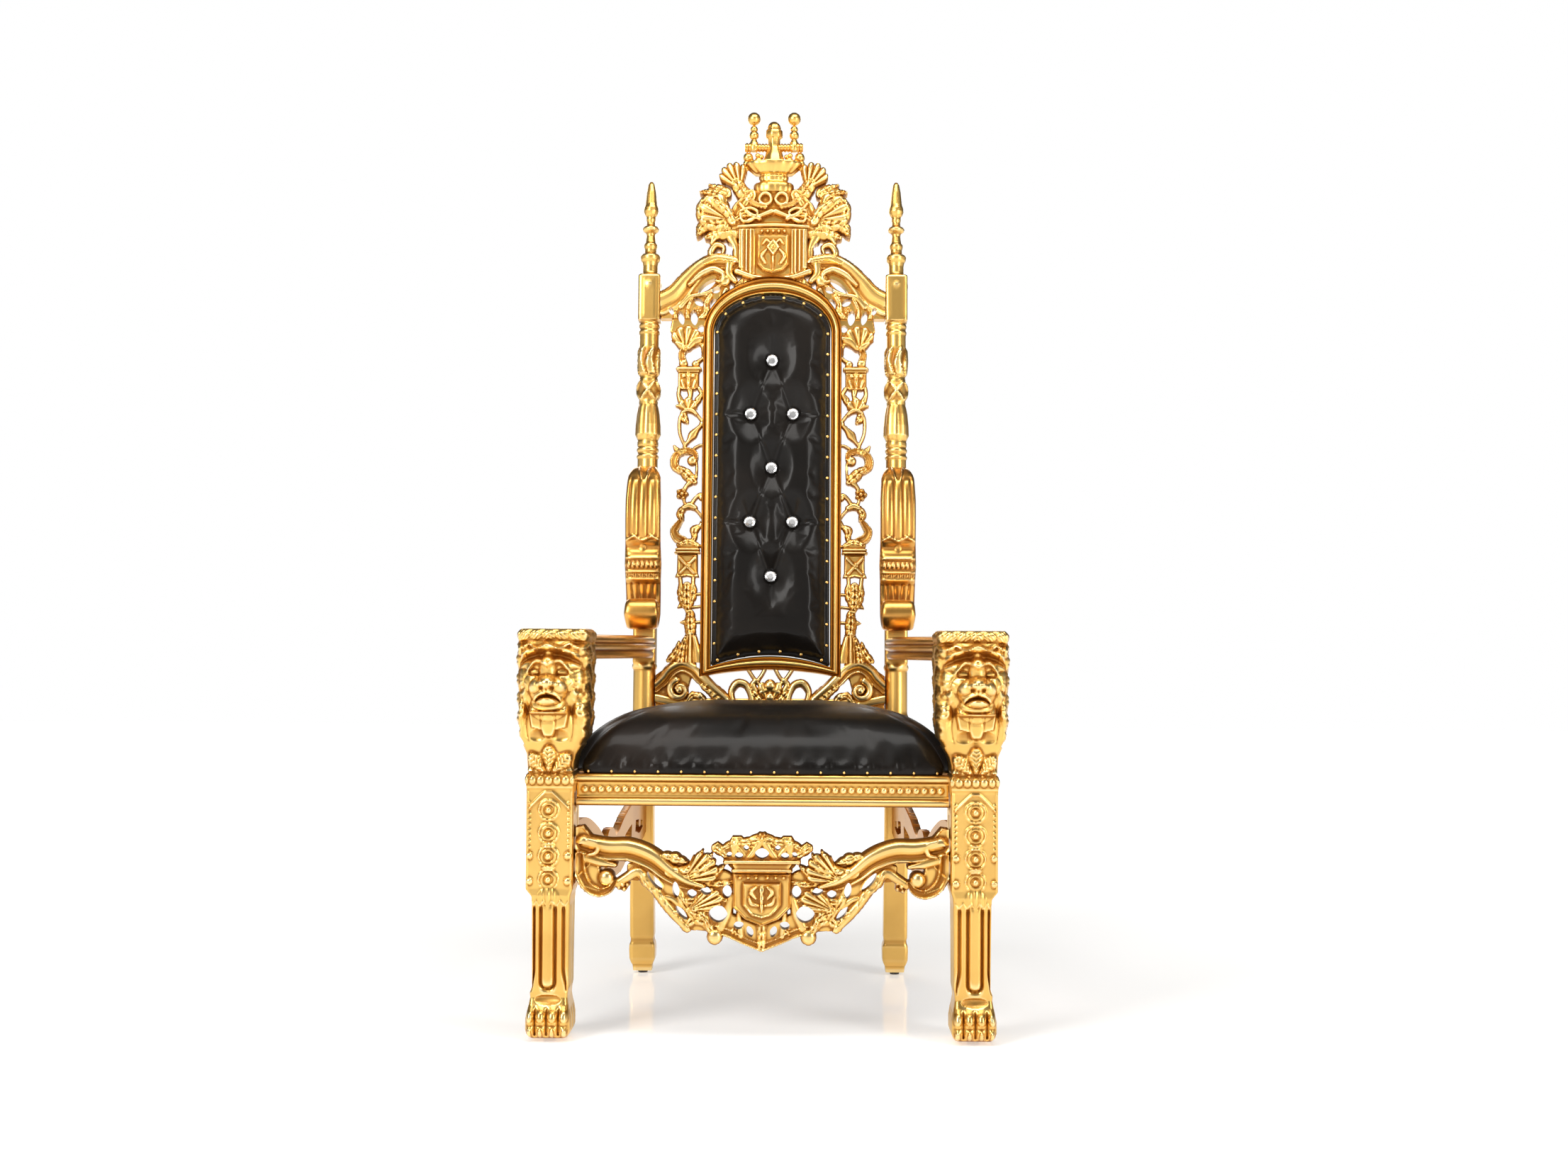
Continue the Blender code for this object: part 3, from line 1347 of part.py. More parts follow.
def centre_depth(throne):
    """Moves the throne along Y so that its origin is at the middle of its depth."""
    bpy.context.view_layer.update()
    depths = [
        (obj.matrix_world @ vertex.co).y
        for obj in bpy.data.objects
        if obj.type == "MESH"
        for vertex in obj.data.vertices
    ]
    throne.location.y = -(min(depths) + max(depths)) / 2


def main():
    for old in list(bpy.data.objects):
        bpy.data.objects.remove(old)

    gilt = finish("gilt_wood", (0.83, 0.55, 0.17), 0.32, 0.9)
    leather = finish("black_leather", (0.018, 0.016, 0.015), 0.38, 0.0)
    crystal = finish("crystal", (0.86, 0.87, 0.90), 0.08, 0.3)
    nylon = finish("dark_nylon", (0.05, 0.04, 0.04), 0.6, 0.0)

    throne = bpy.data.objects.new("throne", None)
    bpy.context.scene.collection.objects.link(throne)
    back = bpy.data.objects.new("leaning_back", None)
    back.location = (0.0, BACK_POST_Y, RAIL_TOP)
    back.rotation_euler = (-RAKE, 0.0, 0.0)
    back.parent = throne
    bpy.context.scene.collection.objects.link(back)

    for side, word in ((-1, "left"), (1, "right")):
        front_leg(f"front_leg_{word}", side, gilt, throne)
        back_post(f"back_post_{word}", side, gilt, throne)
        arm(f"arm_{word}", side, gilt, throne)
        arm_scroll(f"arm_scroll_{word}", side, gilt, back)
        side_rail(f"seat_rail_{word}", side, gilt, throne)
        side_stretcher(f"side_stretcher_{word}", side, gilt, throne)
        fretwork(f"fretwork_{word}", side, gilt, back)
        glide(f"front_glide_{word}", side * FRONT_LEG_X, FRONT_LEG_Y, nylon, throne)
        glide(f"rear_glide_{word}", side * BACK_POST_X, spine(0.0)[0], nylon, throne)
    front_rail(gilt, throne)
    back_rail(gilt, throne)
    front_apron(gilt, throne)
    seat_cushion(leather, throne)
    panel_frame(gilt, back)
    back_pad(leather, back)
    for number, place in enumerate(button_places(), 1):
        crystal_button(f"crystal_button_{number}", place, crystal, back)
    lower_rail(gilt, back)
    crest_rail(gilt, back)
    crown(gilt, back)
    centre_depth(throne)


main()
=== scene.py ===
# %% [markdown]
# # A carved and gilded throne, dressed in Blender
#
# The real throne is hardwood, carved deeply, coated with bole and gilded, with black leather on
# the seat and in the arched panel. This lesson dresses a finished CAD model of it. The CAD model
# fixes every place and size, and each step here replaces one plain solid by a surface that is worked
# out with numpy: a shape is a function on a grid, so that carving is arithmetic on whole arrays.

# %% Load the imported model
import math

import bpy
import numpy as np
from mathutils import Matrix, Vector
from mathutils.geometry import delaunay_2d_cdt
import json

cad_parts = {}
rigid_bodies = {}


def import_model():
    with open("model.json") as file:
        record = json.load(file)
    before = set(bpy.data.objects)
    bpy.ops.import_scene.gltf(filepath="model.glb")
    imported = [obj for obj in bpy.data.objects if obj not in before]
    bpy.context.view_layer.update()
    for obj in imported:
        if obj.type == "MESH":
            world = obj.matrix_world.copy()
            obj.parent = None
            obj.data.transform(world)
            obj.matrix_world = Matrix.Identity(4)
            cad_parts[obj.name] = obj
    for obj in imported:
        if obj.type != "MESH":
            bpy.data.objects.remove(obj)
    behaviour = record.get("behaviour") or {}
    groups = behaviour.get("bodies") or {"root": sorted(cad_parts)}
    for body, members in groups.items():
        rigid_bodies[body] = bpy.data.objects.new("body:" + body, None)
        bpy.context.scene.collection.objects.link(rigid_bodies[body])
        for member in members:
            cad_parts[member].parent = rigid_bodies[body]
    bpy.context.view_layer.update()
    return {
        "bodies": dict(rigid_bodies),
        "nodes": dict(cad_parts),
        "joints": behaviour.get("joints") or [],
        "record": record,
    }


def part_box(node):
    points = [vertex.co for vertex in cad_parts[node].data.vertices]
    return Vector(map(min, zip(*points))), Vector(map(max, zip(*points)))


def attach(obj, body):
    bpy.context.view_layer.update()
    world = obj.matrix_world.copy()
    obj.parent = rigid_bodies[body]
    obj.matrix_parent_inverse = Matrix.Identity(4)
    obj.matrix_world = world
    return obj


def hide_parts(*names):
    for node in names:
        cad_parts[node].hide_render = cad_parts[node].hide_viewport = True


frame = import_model()

# %% [markdown]
# ## Where things are
#
# A throne is set out from a few lines: the legs' centres, the top of the seat rails and the lean
# of the back. The back is built flat and then leaned by four degrees, so one function carries a
# flat drawing (across, forward, height) to its real place.

# %% The throne's main lines
LEG_X = 0.369
LEG_Y = -0.310275
POST_X = 0.2632
POST_Y = LEG_Y + 0.6
RAIL_FOOT = 0.403
RAIL_HEAD = 0.4585
LEAN = math.radians(4.0)
ARCH_HALF = 0.1247
ARCH_CORNER = 0.6404
ARCH_SPRING = 1.3504
ARCH_RISE = 0.0837
MOULDING = 0.0225
MOULDING_CROWN = 0.0355


def up(height):
    """Length along the leaning back: height above the seat rail over the cosine of the lean."""
    return (height - RAIL_HEAD) / math.cos(LEAN)


def on_back(across, forward, along):
    """Turns a flat drawing by the lean about the seat rail's top line."""
    y = POST_Y + along * math.sin(LEAN) - forward * math.cos(LEAN)
    z = RAIL_HEAD + along * math.cos(LEAN) + forward * math.sin(LEAN)
    return np.stack(np.broadcast_arrays(across, y, z), -1)


for node in ("front_leg_right", "back_post_right", "crest_rail", "front_apron"):
    low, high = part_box(node)
    print(node, [round(v, 4) for v in low], [round(v, 4) for v in high])

# %% [markdown]
# ## Camera
#
# The photograph is taken from just above seat height, a little over three metres in front, almost
# straight on. A 41 mm lens gives the same shrinking of the back against the front legs.

# %% Camera
eye = bpy.data.cameras.new("studio_camera")
eye.lens = 41.34
eye.sensor_width = 36.0
camera = bpy.data.objects.new("studio_camera", eye)
camera.location = (0.075, LEG_Y - 3.16, 0.682)
camera.rotation_euler = (math.radians(91.894), math.radians(-0.33), math.radians(0.704))
bpy.context.scene.collection.objects.link(camera)
bpy.context.scene.camera = camera
print("camera at", tuple(camera.location))

# %% [markdown]
# ## Light
#
# Gold shows what it mirrors. Large soft lights give broad highlights, and a room that is brighter
# at the horizon and dimmer overhead gives the mouldings their dark lines. The world is
# white only where the camera sees it directly.

# %% World and soft boxes
scene = bpy.context.scene
scene.view_settings.view_transform = "Standard"
world = bpy.data.worlds.new("studio")
scene.world = world
world.use_nodes = True
room = world.node_tree
room.nodes.clear()
place_in_room = room.nodes.new("ShaderNodeTexCoord")
split = room.nodes.new("ShaderNodeSeparateXYZ")
walls = room.nodes.new("ShaderNodeValToRGB")
walls.color_ramp.elements[0].position = 0.0
walls.color_ramp.elements[0].color = (0.62, 0.6, 0.58, 1)
walls.color_ramp.elements[1].position = 1.0
walls.color_ramp.elements[1].color = (0.1, 0.095, 0.09, 1)
for position, shade in ((0.5, 0.95), (0.56, 0.8), (0.66, 0.22), (0.82, 0.16)):
    stop = walls.color_ramp.elements.new(position)
    stop.color = (shade, shade * 0.985, shade * 0.96, 1)
seen = room.nodes.new("ShaderNodeBackground")
seen.inputs["Color"].default_value = (1, 1, 1, 1)
mirrored = room.nodes.new("ShaderNodeBackground")
path = room.nodes.new("ShaderNodeLightPath")
choose = room.nodes.new("ShaderNodeMixShader")
out = room.nodes.new("ShaderNodeOutputWorld")
half_up = room.nodes.new("ShaderNodeMath")
half_up.operation = "MULTIPLY_ADD"
half_up.inputs[1].default_value = 0.5
half_up.inputs[2].default_value = 0.5
room.links.new(place_in_room.outputs["Generated"], split.inputs[0])
room.links.new(split.outputs["Z"], half_up.inputs[0])
room.links.new(half_up.outputs[0], walls.inputs["Fac"])
room.links.new(walls.outputs["Color"], mirrored.inputs["Color"])
behind = room.nodes.new("ShaderNodeMapRange")
behind.interpolation_type = "SMOOTHSTEP"
for label, value in (("From Min", 0.05), ("From Max", 0.75), ("To Min", 1.0), ("To Max", 0.28)):
    behind.inputs[label].default_value = value
room.links.new(split.outputs["Y"], behind.inputs["Value"])
room.links.new(behind.outputs["Result"], mirrored.inputs["Strength"])
room.links.new(path.outputs["Is Camera Ray"], choose.inputs[0])
room.links.new(mirrored.outputs[0], choose.inputs[1])
room.links.new(seen.outputs[0], choose.inputs[2])
room.links.new(choose.outputs[0], out.inputs["Surface"])


def soft_box(name, place, aim, size, power, tint=(1.0, 0.985, 0.96)):
    """A rectangular area light at place that looks at aim."""
    lamp = bpy.data.lights.new(name, "AREA")
    lamp.shape = "RECTANGLE"
    lamp.size, lamp.size_y = size
    lamp.energy = power
    lamp.color = tint
    holder = bpy.data.objects.new(name, lamp)
    holder.location = place
    holder.rotation_euler = (Vector(aim) - Vector(place)).to_track_quat("-Z", "Y").to_euler()
    scene.collection.objects.link(holder)
    return holder


soft_box("key_light", (-2.1, -2.6, 2.5), (0, 0, 0.9), (1.3, 1.9), 85)
soft_box("fill_light", (2.5, -2.2, 1.5), (0, 0, 0.8), (0.8, 2.0), 42)
soft_box("top_light", (0.2, -0.9, 3.3), (0, 0.1, 0.8), (2.4, 0.9), 50)
soft_box("rim_light", (-0.4, 3.0, 2.3), (0, 0, 1.0), (3.0, 1.4), 40)

# %% [markdown]
# ## Floor
#
# A white sheet of laminate, glossy enough for a pale mirror image of the legs. It glows as
# painted light: dimmer near the throne and full white further out.

# %% Floor
sheet = bpy.data.meshes.new("studio_floor")
sheet.from_pydata([(-9, -6, 0), (9, -6, 0), (9, 12, 0), (-9, 12, 0)], [], [(0, 1, 2, 3)])
floor = bpy.data.objects.new("studio_floor", sheet)
scene.collection.objects.link(floor)
laminate = bpy.data.materials.new("white_laminate")
laminate.use_nodes = True
laminate_shader = laminate.node_tree.nodes["Principled BSDF"]
laminate_shader.inputs["Base Color"].default_value = (0.94, 0.94, 0.94, 1)
laminate_shader.inputs["Roughness"].default_value = 0.1
laminate_shader.inputs["IOR"].default_value = 1.28
# Painted light: the floor glows, and its glow colour is set below by distance from the throne.
laminate_shader.inputs["Emission Strength"].default_value = 1.0
nodes, links = laminate.node_tree.nodes, laminate.node_tree.links
spot_on_floor = nodes.new("ShaderNodeTexCoord")
away = nodes.new("ShaderNodeVectorMath")
away.operation = "LENGTH"
# The painted glow is 0.4 within 0.8 m of the middle and rises to full white at 3.6 m.
floor_glow = nodes.new("ShaderNodeValToRGB")
floor_glow.color_ramp.elements[0].position = 0.08
floor_glow.color_ramp.elements[0].color = (0.4, 0.4, 0.4, 1)
floor_glow.color_ramp.elements[1].position = 0.36
floor_glow.color_ramp.elements[1].color = (1.0, 1.0, 1.0, 1)
tenth = nodes.new("ShaderNodeMath")
tenth.operation = "MULTIPLY"
tenth.inputs[1].default_value = 0.1
links.new(spot_on_floor.outputs["Object"], away.inputs[0])
links.new(away.outputs["Value"], tenth.inputs[0])
links.new(tenth.outputs[0], floor_glow.inputs["Fac"])
links.new(floor_glow.outputs["Color"], laminate_shader.inputs["Emission Color"])
sheet.materials.append(laminate)
print("floor laid")

# %% [markdown]
# ## Gilding
#
# Gold leaf over red-brown bole. Leaf is worn thin and glaze gathers in the hollows, which are
# darkened further as painted shade, and the high places are paler: burnished leaf with a painted
# highlight. So the colour is driven by how deep a point lies in the carving. Each piece
# carries that depth as an attribute named hollow, from -1 on a sharp crest to 1 in a deep groove.
# The same effect is used by several finishes, so it is one node group.


# %% Node helpers
def new_group(name, inputs, outputs):
    """A shader node group with float inputs (name, value) and outputs (name, socket type)."""
    group = bpy.data.node_groups.new(name, "ShaderNodeTree")
    for label, value in inputs:
        if isinstance(value, tuple):
            socket = group.interface.new_socket(label, in_out="INPUT", socket_type="NodeSocketColor")
        else:
            socket = group.interface.new_socket(label, in_out="INPUT", socket_type="NodeSocketFloat")
        socket.default_value = value
    for label, kind in outputs:
        group.interface.new_socket(label, in_out="OUTPUT", socket_type=kind)
    return group, group.nodes.new("NodeGroupInput"), group.nodes.new("NodeGroupOutput")


def calculate(tree, operation, *values):
    """A Math node. Each value is a number or a socket."""
    node = tree.nodes.new("ShaderNodeMath")
    node.operation = operation
    for slot, value in zip(node.inputs, values):
        if isinstance(value, (int, float)):
            slot.default_value = value
        else:
            tree.links.new(value, slot)
    return node.outputs[0]


def blend_colours(tree, share, first, second, way="MIX"):
    """A colour Mix node. first and second are colours or sockets."""
    node = tree.nodes.new("ShaderNodeMix")
    node.data_type = "RGBA"
    node.blend_type = way
    for slot, value in ((node.inputs[0], share), (node.inputs[6], first), (node.inputs[7], second)):
        if isinstance(value, (int, float, tuple)):
            slot.default_value = value
        else:
            tree.links.new(value, slot)
    return node.outputs[2]


def eased(tree, value, low, high, start=0.0, end=1.0):
    """A smooth step from start to end while value goes from low to high."""
    node = tree.nodes.new("ShaderNodeMapRange")
    node.interpolation_type = "SMOOTHSTEP"
    tree.links.new(value, node.inputs["Value"])
    node.inputs["From Min"].default_value = low
    node.inputs["From Max"].default_value = high
    node.inputs["To Min"].default_value = start
    node.inputs["To Max"].default_value = end
    return node.outputs["Result"]


def speckle(tree, coordinates, scale, detail=2.0, roughness=0.5):
    """A Noise node's value on Object coordinates."""
    node = tree.nodes.new("ShaderNodeTexNoise")
    node.inputs["Scale"].default_value = scale
    node.inputs["Detail"].default_value = detail
    node.inputs["Roughness"].default_value = roughness
    tree.links.new(coordinates, node.inputs["Vector"])
    return node.outputs["Fac"]


# %% The gilding group
gilding, asked, given = new_group(
    "gilding",
    (
        ("Leaf", (0.92, 0.57, 0.135, 1.0)),
        ("Glaze and shade", (0.4, 0.135, 0.012, 1.0)),
        ("Crest", (1.0, 0.76, 0.33, 1.0)),
        ("Wear", 0.5),
    ),
    (("Color", "NodeSocketColor"), ("Roughness", "NodeSocketFloat"), ("Height", "NodeSocketFloat")),
)
spot = gilding.nodes.new("ShaderNodeTexCoord").outputs["Object"]
depth = gilding.nodes.new("ShaderNodeAttribute")
depth.attribute_name = "hollow"
cloudy = speckle(gilding, spot, 9.0, 3.0)
brushed = speckle(gilding, spot, 420.0, 2.0, 0.6)
# Glaze and painted shade: the deeper the point, the nearer the colour goes to the glaze-and-shade colour.
glaze_and_shade_share = eased(gilding, depth.outputs["Fac"], 0.02, 0.85)
# Paler crest colour on the high places: burnished leaf and painted highlight.
crested = eased(gilding, calculate(gilding, "MULTIPLY", depth.outputs["Fac"], -1.0), 0.1, 0.9)
tone = blend_colours(gilding, glaze_and_shade_share, asked.outputs["Leaf"], asked.outputs["Glaze and shade"])
tone = blend_colours(gilding, calculate(gilding, "MULTIPLY", crested, 0.75), tone, asked.outputs["Crest"])
patina = eased(gilding, cloudy, 0.42, 0.72, 0.0, 0.35)
tone = blend_colours(gilding, calculate(gilding, "MULTIPLY", patina, asked.outputs["Wear"]), tone,
    asked.outputs["Glaze and shade"])
gilding.links.new(tone, given.inputs["Color"])
rough = calculate(gilding, "MULTIPLY_ADD", glaze_and_shade_share, 0.26, 0.25)
rough = calculate(gilding, "MULTIPLY_ADD", brushed, 0.1, rough)
gilding.links.new(rough, given.inputs["Roughness"])
gilding.links.new(calculate(gilding, "MULTIPLY_ADD", cloudy, 0.6, brushed), given.inputs["Height"])


def gilded_finish(name, leaf, glaze_and_shade, crest, wear, bump=0.1):
    """A metallic shader fed by the gilding group, with a thin clear lacquer."""
    made = bpy.data.materials.new(name)
    made.use_nodes = True
    tree = made.node_tree
    shader = tree.nodes["Principled BSDF"]
    effect = tree.nodes.new("ShaderNodeGroup")
    effect.node_tree = gilding
    effect.inputs["Leaf"].default_value = (*leaf, 1)
    effect.inputs["Glaze and shade"].default_value = (*glaze_and_shade, 1)
    effect.inputs["Crest"].default_value = (*crest, 1)
    effect.inputs["Wear"].default_value = wear
    raised = tree.nodes.new("ShaderNodeBump")
    raised.inputs["Strength"].default_value = bump
    raised.inputs["Distance"].default_value = 0.0006
    tree.links.new(effect.outputs["Color"], shader.inputs["Base Color"])
    tree.links.new(effect.outputs["Roughness"], shader.inputs["Roughness"])
    tree.links.new(effect.outputs["Height"], raised.inputs["Height"])
    tree.links.new(raised.outputs["Normal"], shader.inputs["Normal"])
    shader.inputs["Metallic"].default_value = 1.0
    shader.inputs["Coat Weight"].default_value = 0.25
    shader.inputs["Coat Roughness"].default_value = 0.12
    return made


# Colours: leaf, then glaze with painted shade for the hollows, then the paler crest, partly painted
# highlight.
bright_gold = gilded_finish("bright_gold", (0.78, 0.475, 0.125), (0.36, 0.14, 0.016), (0.95, 0.73, 0.35), 0.6)
deep_gold = gilded_finish("deep_gold", (0.68, 0.355, 0.08), (0.3, 0.1, 0.012), (0.93, 0.64, 0.26), 0.9)
print("finishes:", [m.name for m in bpy.data.materials])

# %% [markdown]
# ## Surfaces from arrays
#
# A carved piece is a grid of heights. These helpers turn arrays of points into closed meshes, and
# work out how hollow each point is by comparing its height with the mean of its neighbourhood.


# %% Mesh helpers
def put_mesh(name, points, faces, material, sharp=55.0):
    """One object from an array of points and arrays of faces, shaded smooth except at hard edges."""
    mesh = bpy.data.meshes.new(name)
    mesh.vertices.add(len(points))
    mesh.vertices.foreach_set("co", np.asarray(points, np.float32).ravel())
    faces = [np.asarray(f) for f in faces if len(f)]
    corners = np.concatenate([f.ravel() for f in faces]).astype(np.int32)
    sizes = np.concatenate([np.full(len(f), f.shape[1]) for f in faces]).astype(np.int32)
    mesh.loops.add(len(corners))
    mesh.loops.foreach_set("vertex_index", corners)
    mesh.polygons.add(len(sizes))
    mesh.polygons.foreach_set("loop_start", np.concatenate([[0], np.cumsum(sizes)[:-1]]).astype(np.int32))
    mesh.update(calc_edges=True)
    mesh.validate()
    mesh.shade_smooth()
    if sharp:
        mesh.set_sharp_from_angle(angle=math.radians(sharp))
    mesh.materials.append(material)
    piece = bpy.data.objects.new(name, mesh)
    scene.collection.objects.link(piece)
    return piece


def set_hollow(piece, values):
    """Stores how hollow each point is, from -1 to 1."""
    mark = piece.data.attributes.new("hollow", "FLOAT", "POINT")
    mark.data.foreach_set("value", np.clip(values, -1, 1).astype(np.float32).ravel())


def hollows(height, known=None, passes=10, scale=0.0016):
    """The neighbourhood's mean height less the point's own, over scale. known marks real points."""
    known = np.ones(height.shape) if known is None else known.astype(float)
    total, weight = height * known, known.copy()
    for _ in range(passes):
        for axis in (0, 1):
            total = total + np.roll(total, 1, axis) + np.roll(total, -1, axis)
            weight = weight + np.roll(weight, 1, axis) + np.roll(weight, -1, axis)
        total, weight = total / 9, weight / 9
    mean = total / np.maximum(weight, 1e-9)
    return (mean - height) / scale


def settle(piece, node):
    """Lets a finished piece stand for a CAD node, on the throne's one body."""
    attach(piece, "root")
    if node:
        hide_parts(node)
    count = sum(len(p.vertices) - 2 for p in piece.data.polygons)
    low, high = piece_box(piece)
    print(f"{piece.name}: {count} triangles, {np.round(low, 3)} to {np.round(high, 3)}")
    return piece


def piece_box(piece):
    """Lowest and highest corner of a piece's points."""
    co = np.empty(len(piece.data.vertices) * 3, np.float32)
    piece.data.vertices.foreach_get("co", co)
    co = co.reshape(-1, 3)
    return co.min(0), co.max(0)


def grid_faces(rows, columns, wrap_rows=False, wrap_columns=False):
    """Quads of a grid whose points are numbered row by row."""
    i = np.arange(rows if wrap_rows else rows - 1)
    j = np.arange(columns if wrap_columns else columns - 1)
    i, j = np.meshgrid(i, j, indexing="ij")
    i2, j2 = (i + 1) % rows, (j + 1) % columns
    quads = [i * columns + j, i * columns + j2, i2 * columns + j2, i2 * columns + j]
    return np.stack([q.ravel() for q in quads], 1)


def smooth_step(low, high, value):
    """0 below low, 1 above high, and an S-curve between them."""
    t = np.clip((value - low) / (high - low), 0, 1)
    return t * t * (3 - 2 * t)


def bell(offset, width):
    """A bell curve: 1 at offset 0, falling away over width."""
    return np.exp(-((offset / width) ** 2))


# %% [markdown]
# ## Relief boards
#
# The pierced parts of a throne are sawn from a plank and then modelled with gouges: bands, leaves,
# knobs and plates that cross each other. Each stroke here is a band along a curve with a section of
# its own. On a fine square grid every stroke says how far inside its outline a point is and how high
# its surface stands, and the highest stroke wins. Points outside all strokes are sawn away.


# %% Strokes of a relief board
def smooth_line(points, count=22):
    """A curve through points: on each span a Hermite cubic whose slopes come from the neighbours."""
    p = np.array(points, float)
    steps = np.linalg.norm(np.diff(p, axis=0), axis=1)
    at = np.concatenate([[0], np.cumsum(steps)])
    if len(p) == 2:
        share = np.linspace(0, 1, 5)[:, None]
        return p[0] + share * (p[1] - p[0])
    slope = np.gradient(p, at, axis=0)
    t = np.linspace(0, at[-1], count)
    i = np.clip(np.searchsorted(at, t, side="right") - 1, 0, len(p) - 2)
    span = (at[i + 1] - at[i])[:, None]
    u = (t - at[i])[:, None] / span
    first = (2 * u**3 - 3 * u**2 + 1) * p[i] + (u**3 - 2 * u**2 + u) * span * slope[i]
    return first + (3 * u**2 - 2 * u**3) * p[i + 1] + (u**3 - u**2) * span * slope[i + 1]


def spiral(centre, radii, turns, count=13, stretch=1.0):
    """Points round a centre while radius and angle (degrees) change evenly."""
    t = np.linspace(0, 1, count)
    angle = np.radians(turns[0] + (turns[1] - turns[0]) * t)
    radius = radii[0] + (radii[1] - radii[0]) * t
    return np.stack([centre[0] + radius * np.cos(angle), centre[1] + stretch * radius * np.sin(angle)], 1)


# Sections of a band, as (from one edge to the other, height)
SECTIONS = {
    "round": ((-1, 0), (-0.9, 0.44), (-0.7, 0.71), (-0.4, 0.92), (0, 1), (0.4, 0.92), (0.7, 0.71),
        (0.9, 0.44), (1, 0)),
    "rims": (
        (-1, 0), (-0.9, 0.7), (-0.75, 1), (-0.58, 0.8), (-0.4, 0.42), (0, 0.3),
        (0.4, 0.42), (0.58, 0.8), (0.75, 1), (0.9, 0.7), (1, 0),
    ),
    "reeds": (
        (-1, 0), (-0.88, 0.6), (-0.72, 0.72), (-0.52, 0.5), (-0.44, 0.5), (-0.25, 0.9), (0, 1),
        (0.25, 0.9), (0.44, 0.5), (0.52, 0.5), (0.72, 0.72), (0.88, 0.6), (1, 0),
    ),
    "moulding": (
        (-1, 0), (-0.85, 0.55), (-0.62, 0.88), (-0.35, 1), (-0.1, 0.93), (0.2, 0.62), (0.36, 0.34),
        (0.5, 0.3), (0.62, 0.42), (0.78, 0.62), (0.93, 0.45), (1, 0),
    ),
    "flat": ((-1, 0.0), (-0.85, 0.85), (-0.6, 1), (0.6, 1), (0.85, 0.85), (1, 0.0)),
}


class Band:
    """A band along a smooth curve, its half width changing along the way."""

    def __init__(self, points, widths, section="round", rise=0.006, level=0.0, lobes=0, lobe_depth=0.3):
        self.line = smooth_line(points, 8 * len(points) - 2)
        self.share = np.linspace(0, 1, len(self.line))
        self.width = np.interp(self.share, np.linspace(0, 1, len(widths)), widths)
        self.section = section
        self.rise = rise
        self.level = level
        self.lobes = lobes
        self.lobe_depth = lobe_depth
        self.hand = 1.0

    def mirrored(self):
        twin = Band.__new__(Band)
        twin.__dict__.update(self.__dict__)
        twin.line = self.line * [-1, 1]
        twin.hand = -self.hand
        return twin

    def reach(self):
        wide = self.width.max()
        return self.line.min(0) - wide, self.line.max(0) + wide

    def measure(self, x, z):
        """Distance inside the outline, and height: the section at the offset from the curve.

        A leaf's outline swells and shrinks in lobes, with a groove down its middle and slanting veins.
        """
        depth = np.full(x.shape, -9.0)
        share, offset = np.zeros(x.shape), np.zeros(x.shape)
        for i in range(len(self.line) - 1):
            start, run = self.line[i], self.line[i + 1] - self.line[i]
            dx, dz = x - start[0], z - start[1]
            t = np.clip((dx * run[0] + dz * run[1]) / max(run @ run, 1e-12), 0, 1)
            away = np.hypot(dx - t * run[0], dz - t * run[1])
            width = self.width[i] + t * (self.width[i + 1] - self.width[i])
            at = self.share[i] + t * (self.share[i + 1] - self.share[i])
            if self.lobes:
                beat = 0.5 + 0.5 * np.cos(2 * np.pi * (self.lobes * at - 0.42))
                width = width * (1 - self.lobe_depth * (1 - beat) ** 1.5)
            inside = width - away
            best = inside > depth
            side = np.sign(run[0] * dz - run[1] * dx) * self.hand
            depth = np.where(best, inside, depth)
            share = np.where(best, at, share)
            offset = np.where(best, side * away / np.maximum(width, 1e-5), offset)
        if self.lobes:
            s = np.clip(np.abs(offset), 0, 1)
            veins = 0.5 + 0.5 * np.cos(2 * np.pi * (self.lobes * share - 0.42 - 0.55 * s))
            shape = np.sqrt(1 - s**2) * (0.62 + 0.38 * veins) - 0.34 * bell(s, 0.16)
        else:
            table = np.array(SECTIONS[self.section])
            shape = np.interp(offset, table[:, 0], table[:, 1])
        step = np.clip(depth / 0.0022, 0, 1)
        return depth, self.level * np.sqrt(1 - (1 - step) ** 2) + self.rise * shape


class Knob:
    """A round boss, or a rosette when it has petals."""

    def __init__(self, centre, radius, rise=0.008, level=0.0, petals=0):
        self.centre = np.array(centre, float)
        self.radius = radius
        self.rise = rise
        self.level = level
        self.petals = petals

    def mirrored(self):
        return Knob(self.centre * [-1, 1], self.radius, self.rise, self.level, self.petals)

    def reach(self):
        return self.centre - self.radius, self.centre + self.radius

    def measure(self, x, z):
        """A dome: the root of 1 less the squared share of the radius. Petals wave with the angle."""
        dx, dz = x - self.centre[0], z - self.centre[1]
        away = np.hypot(dx, dz)
        radius = self.radius
        s = np.clip(away / radius, 0, 1)
        shape = np.sqrt(1 - s**2)
        if self.petals:
            wave = np.cos(self.petals * np.arctan2(dz, dx))
            radius = radius * (0.9 + 0.1 * wave)
            petal = np.sin(np.pi * np.clip((s - 0.3) / 0.7, 0, 1)) * (0.55 + 0.45 * wave)
            shape = np.maximum(0.75 * petal, np.sqrt(np.clip(1 - (s / 0.34) ** 2, 0, 1)))
        depth = radius - away
        step = np.clip(depth / 0.0022, 0, 1)
        return depth, self.level * np.sqrt(1 - (1 - step) ** 2) + self.rise * shape


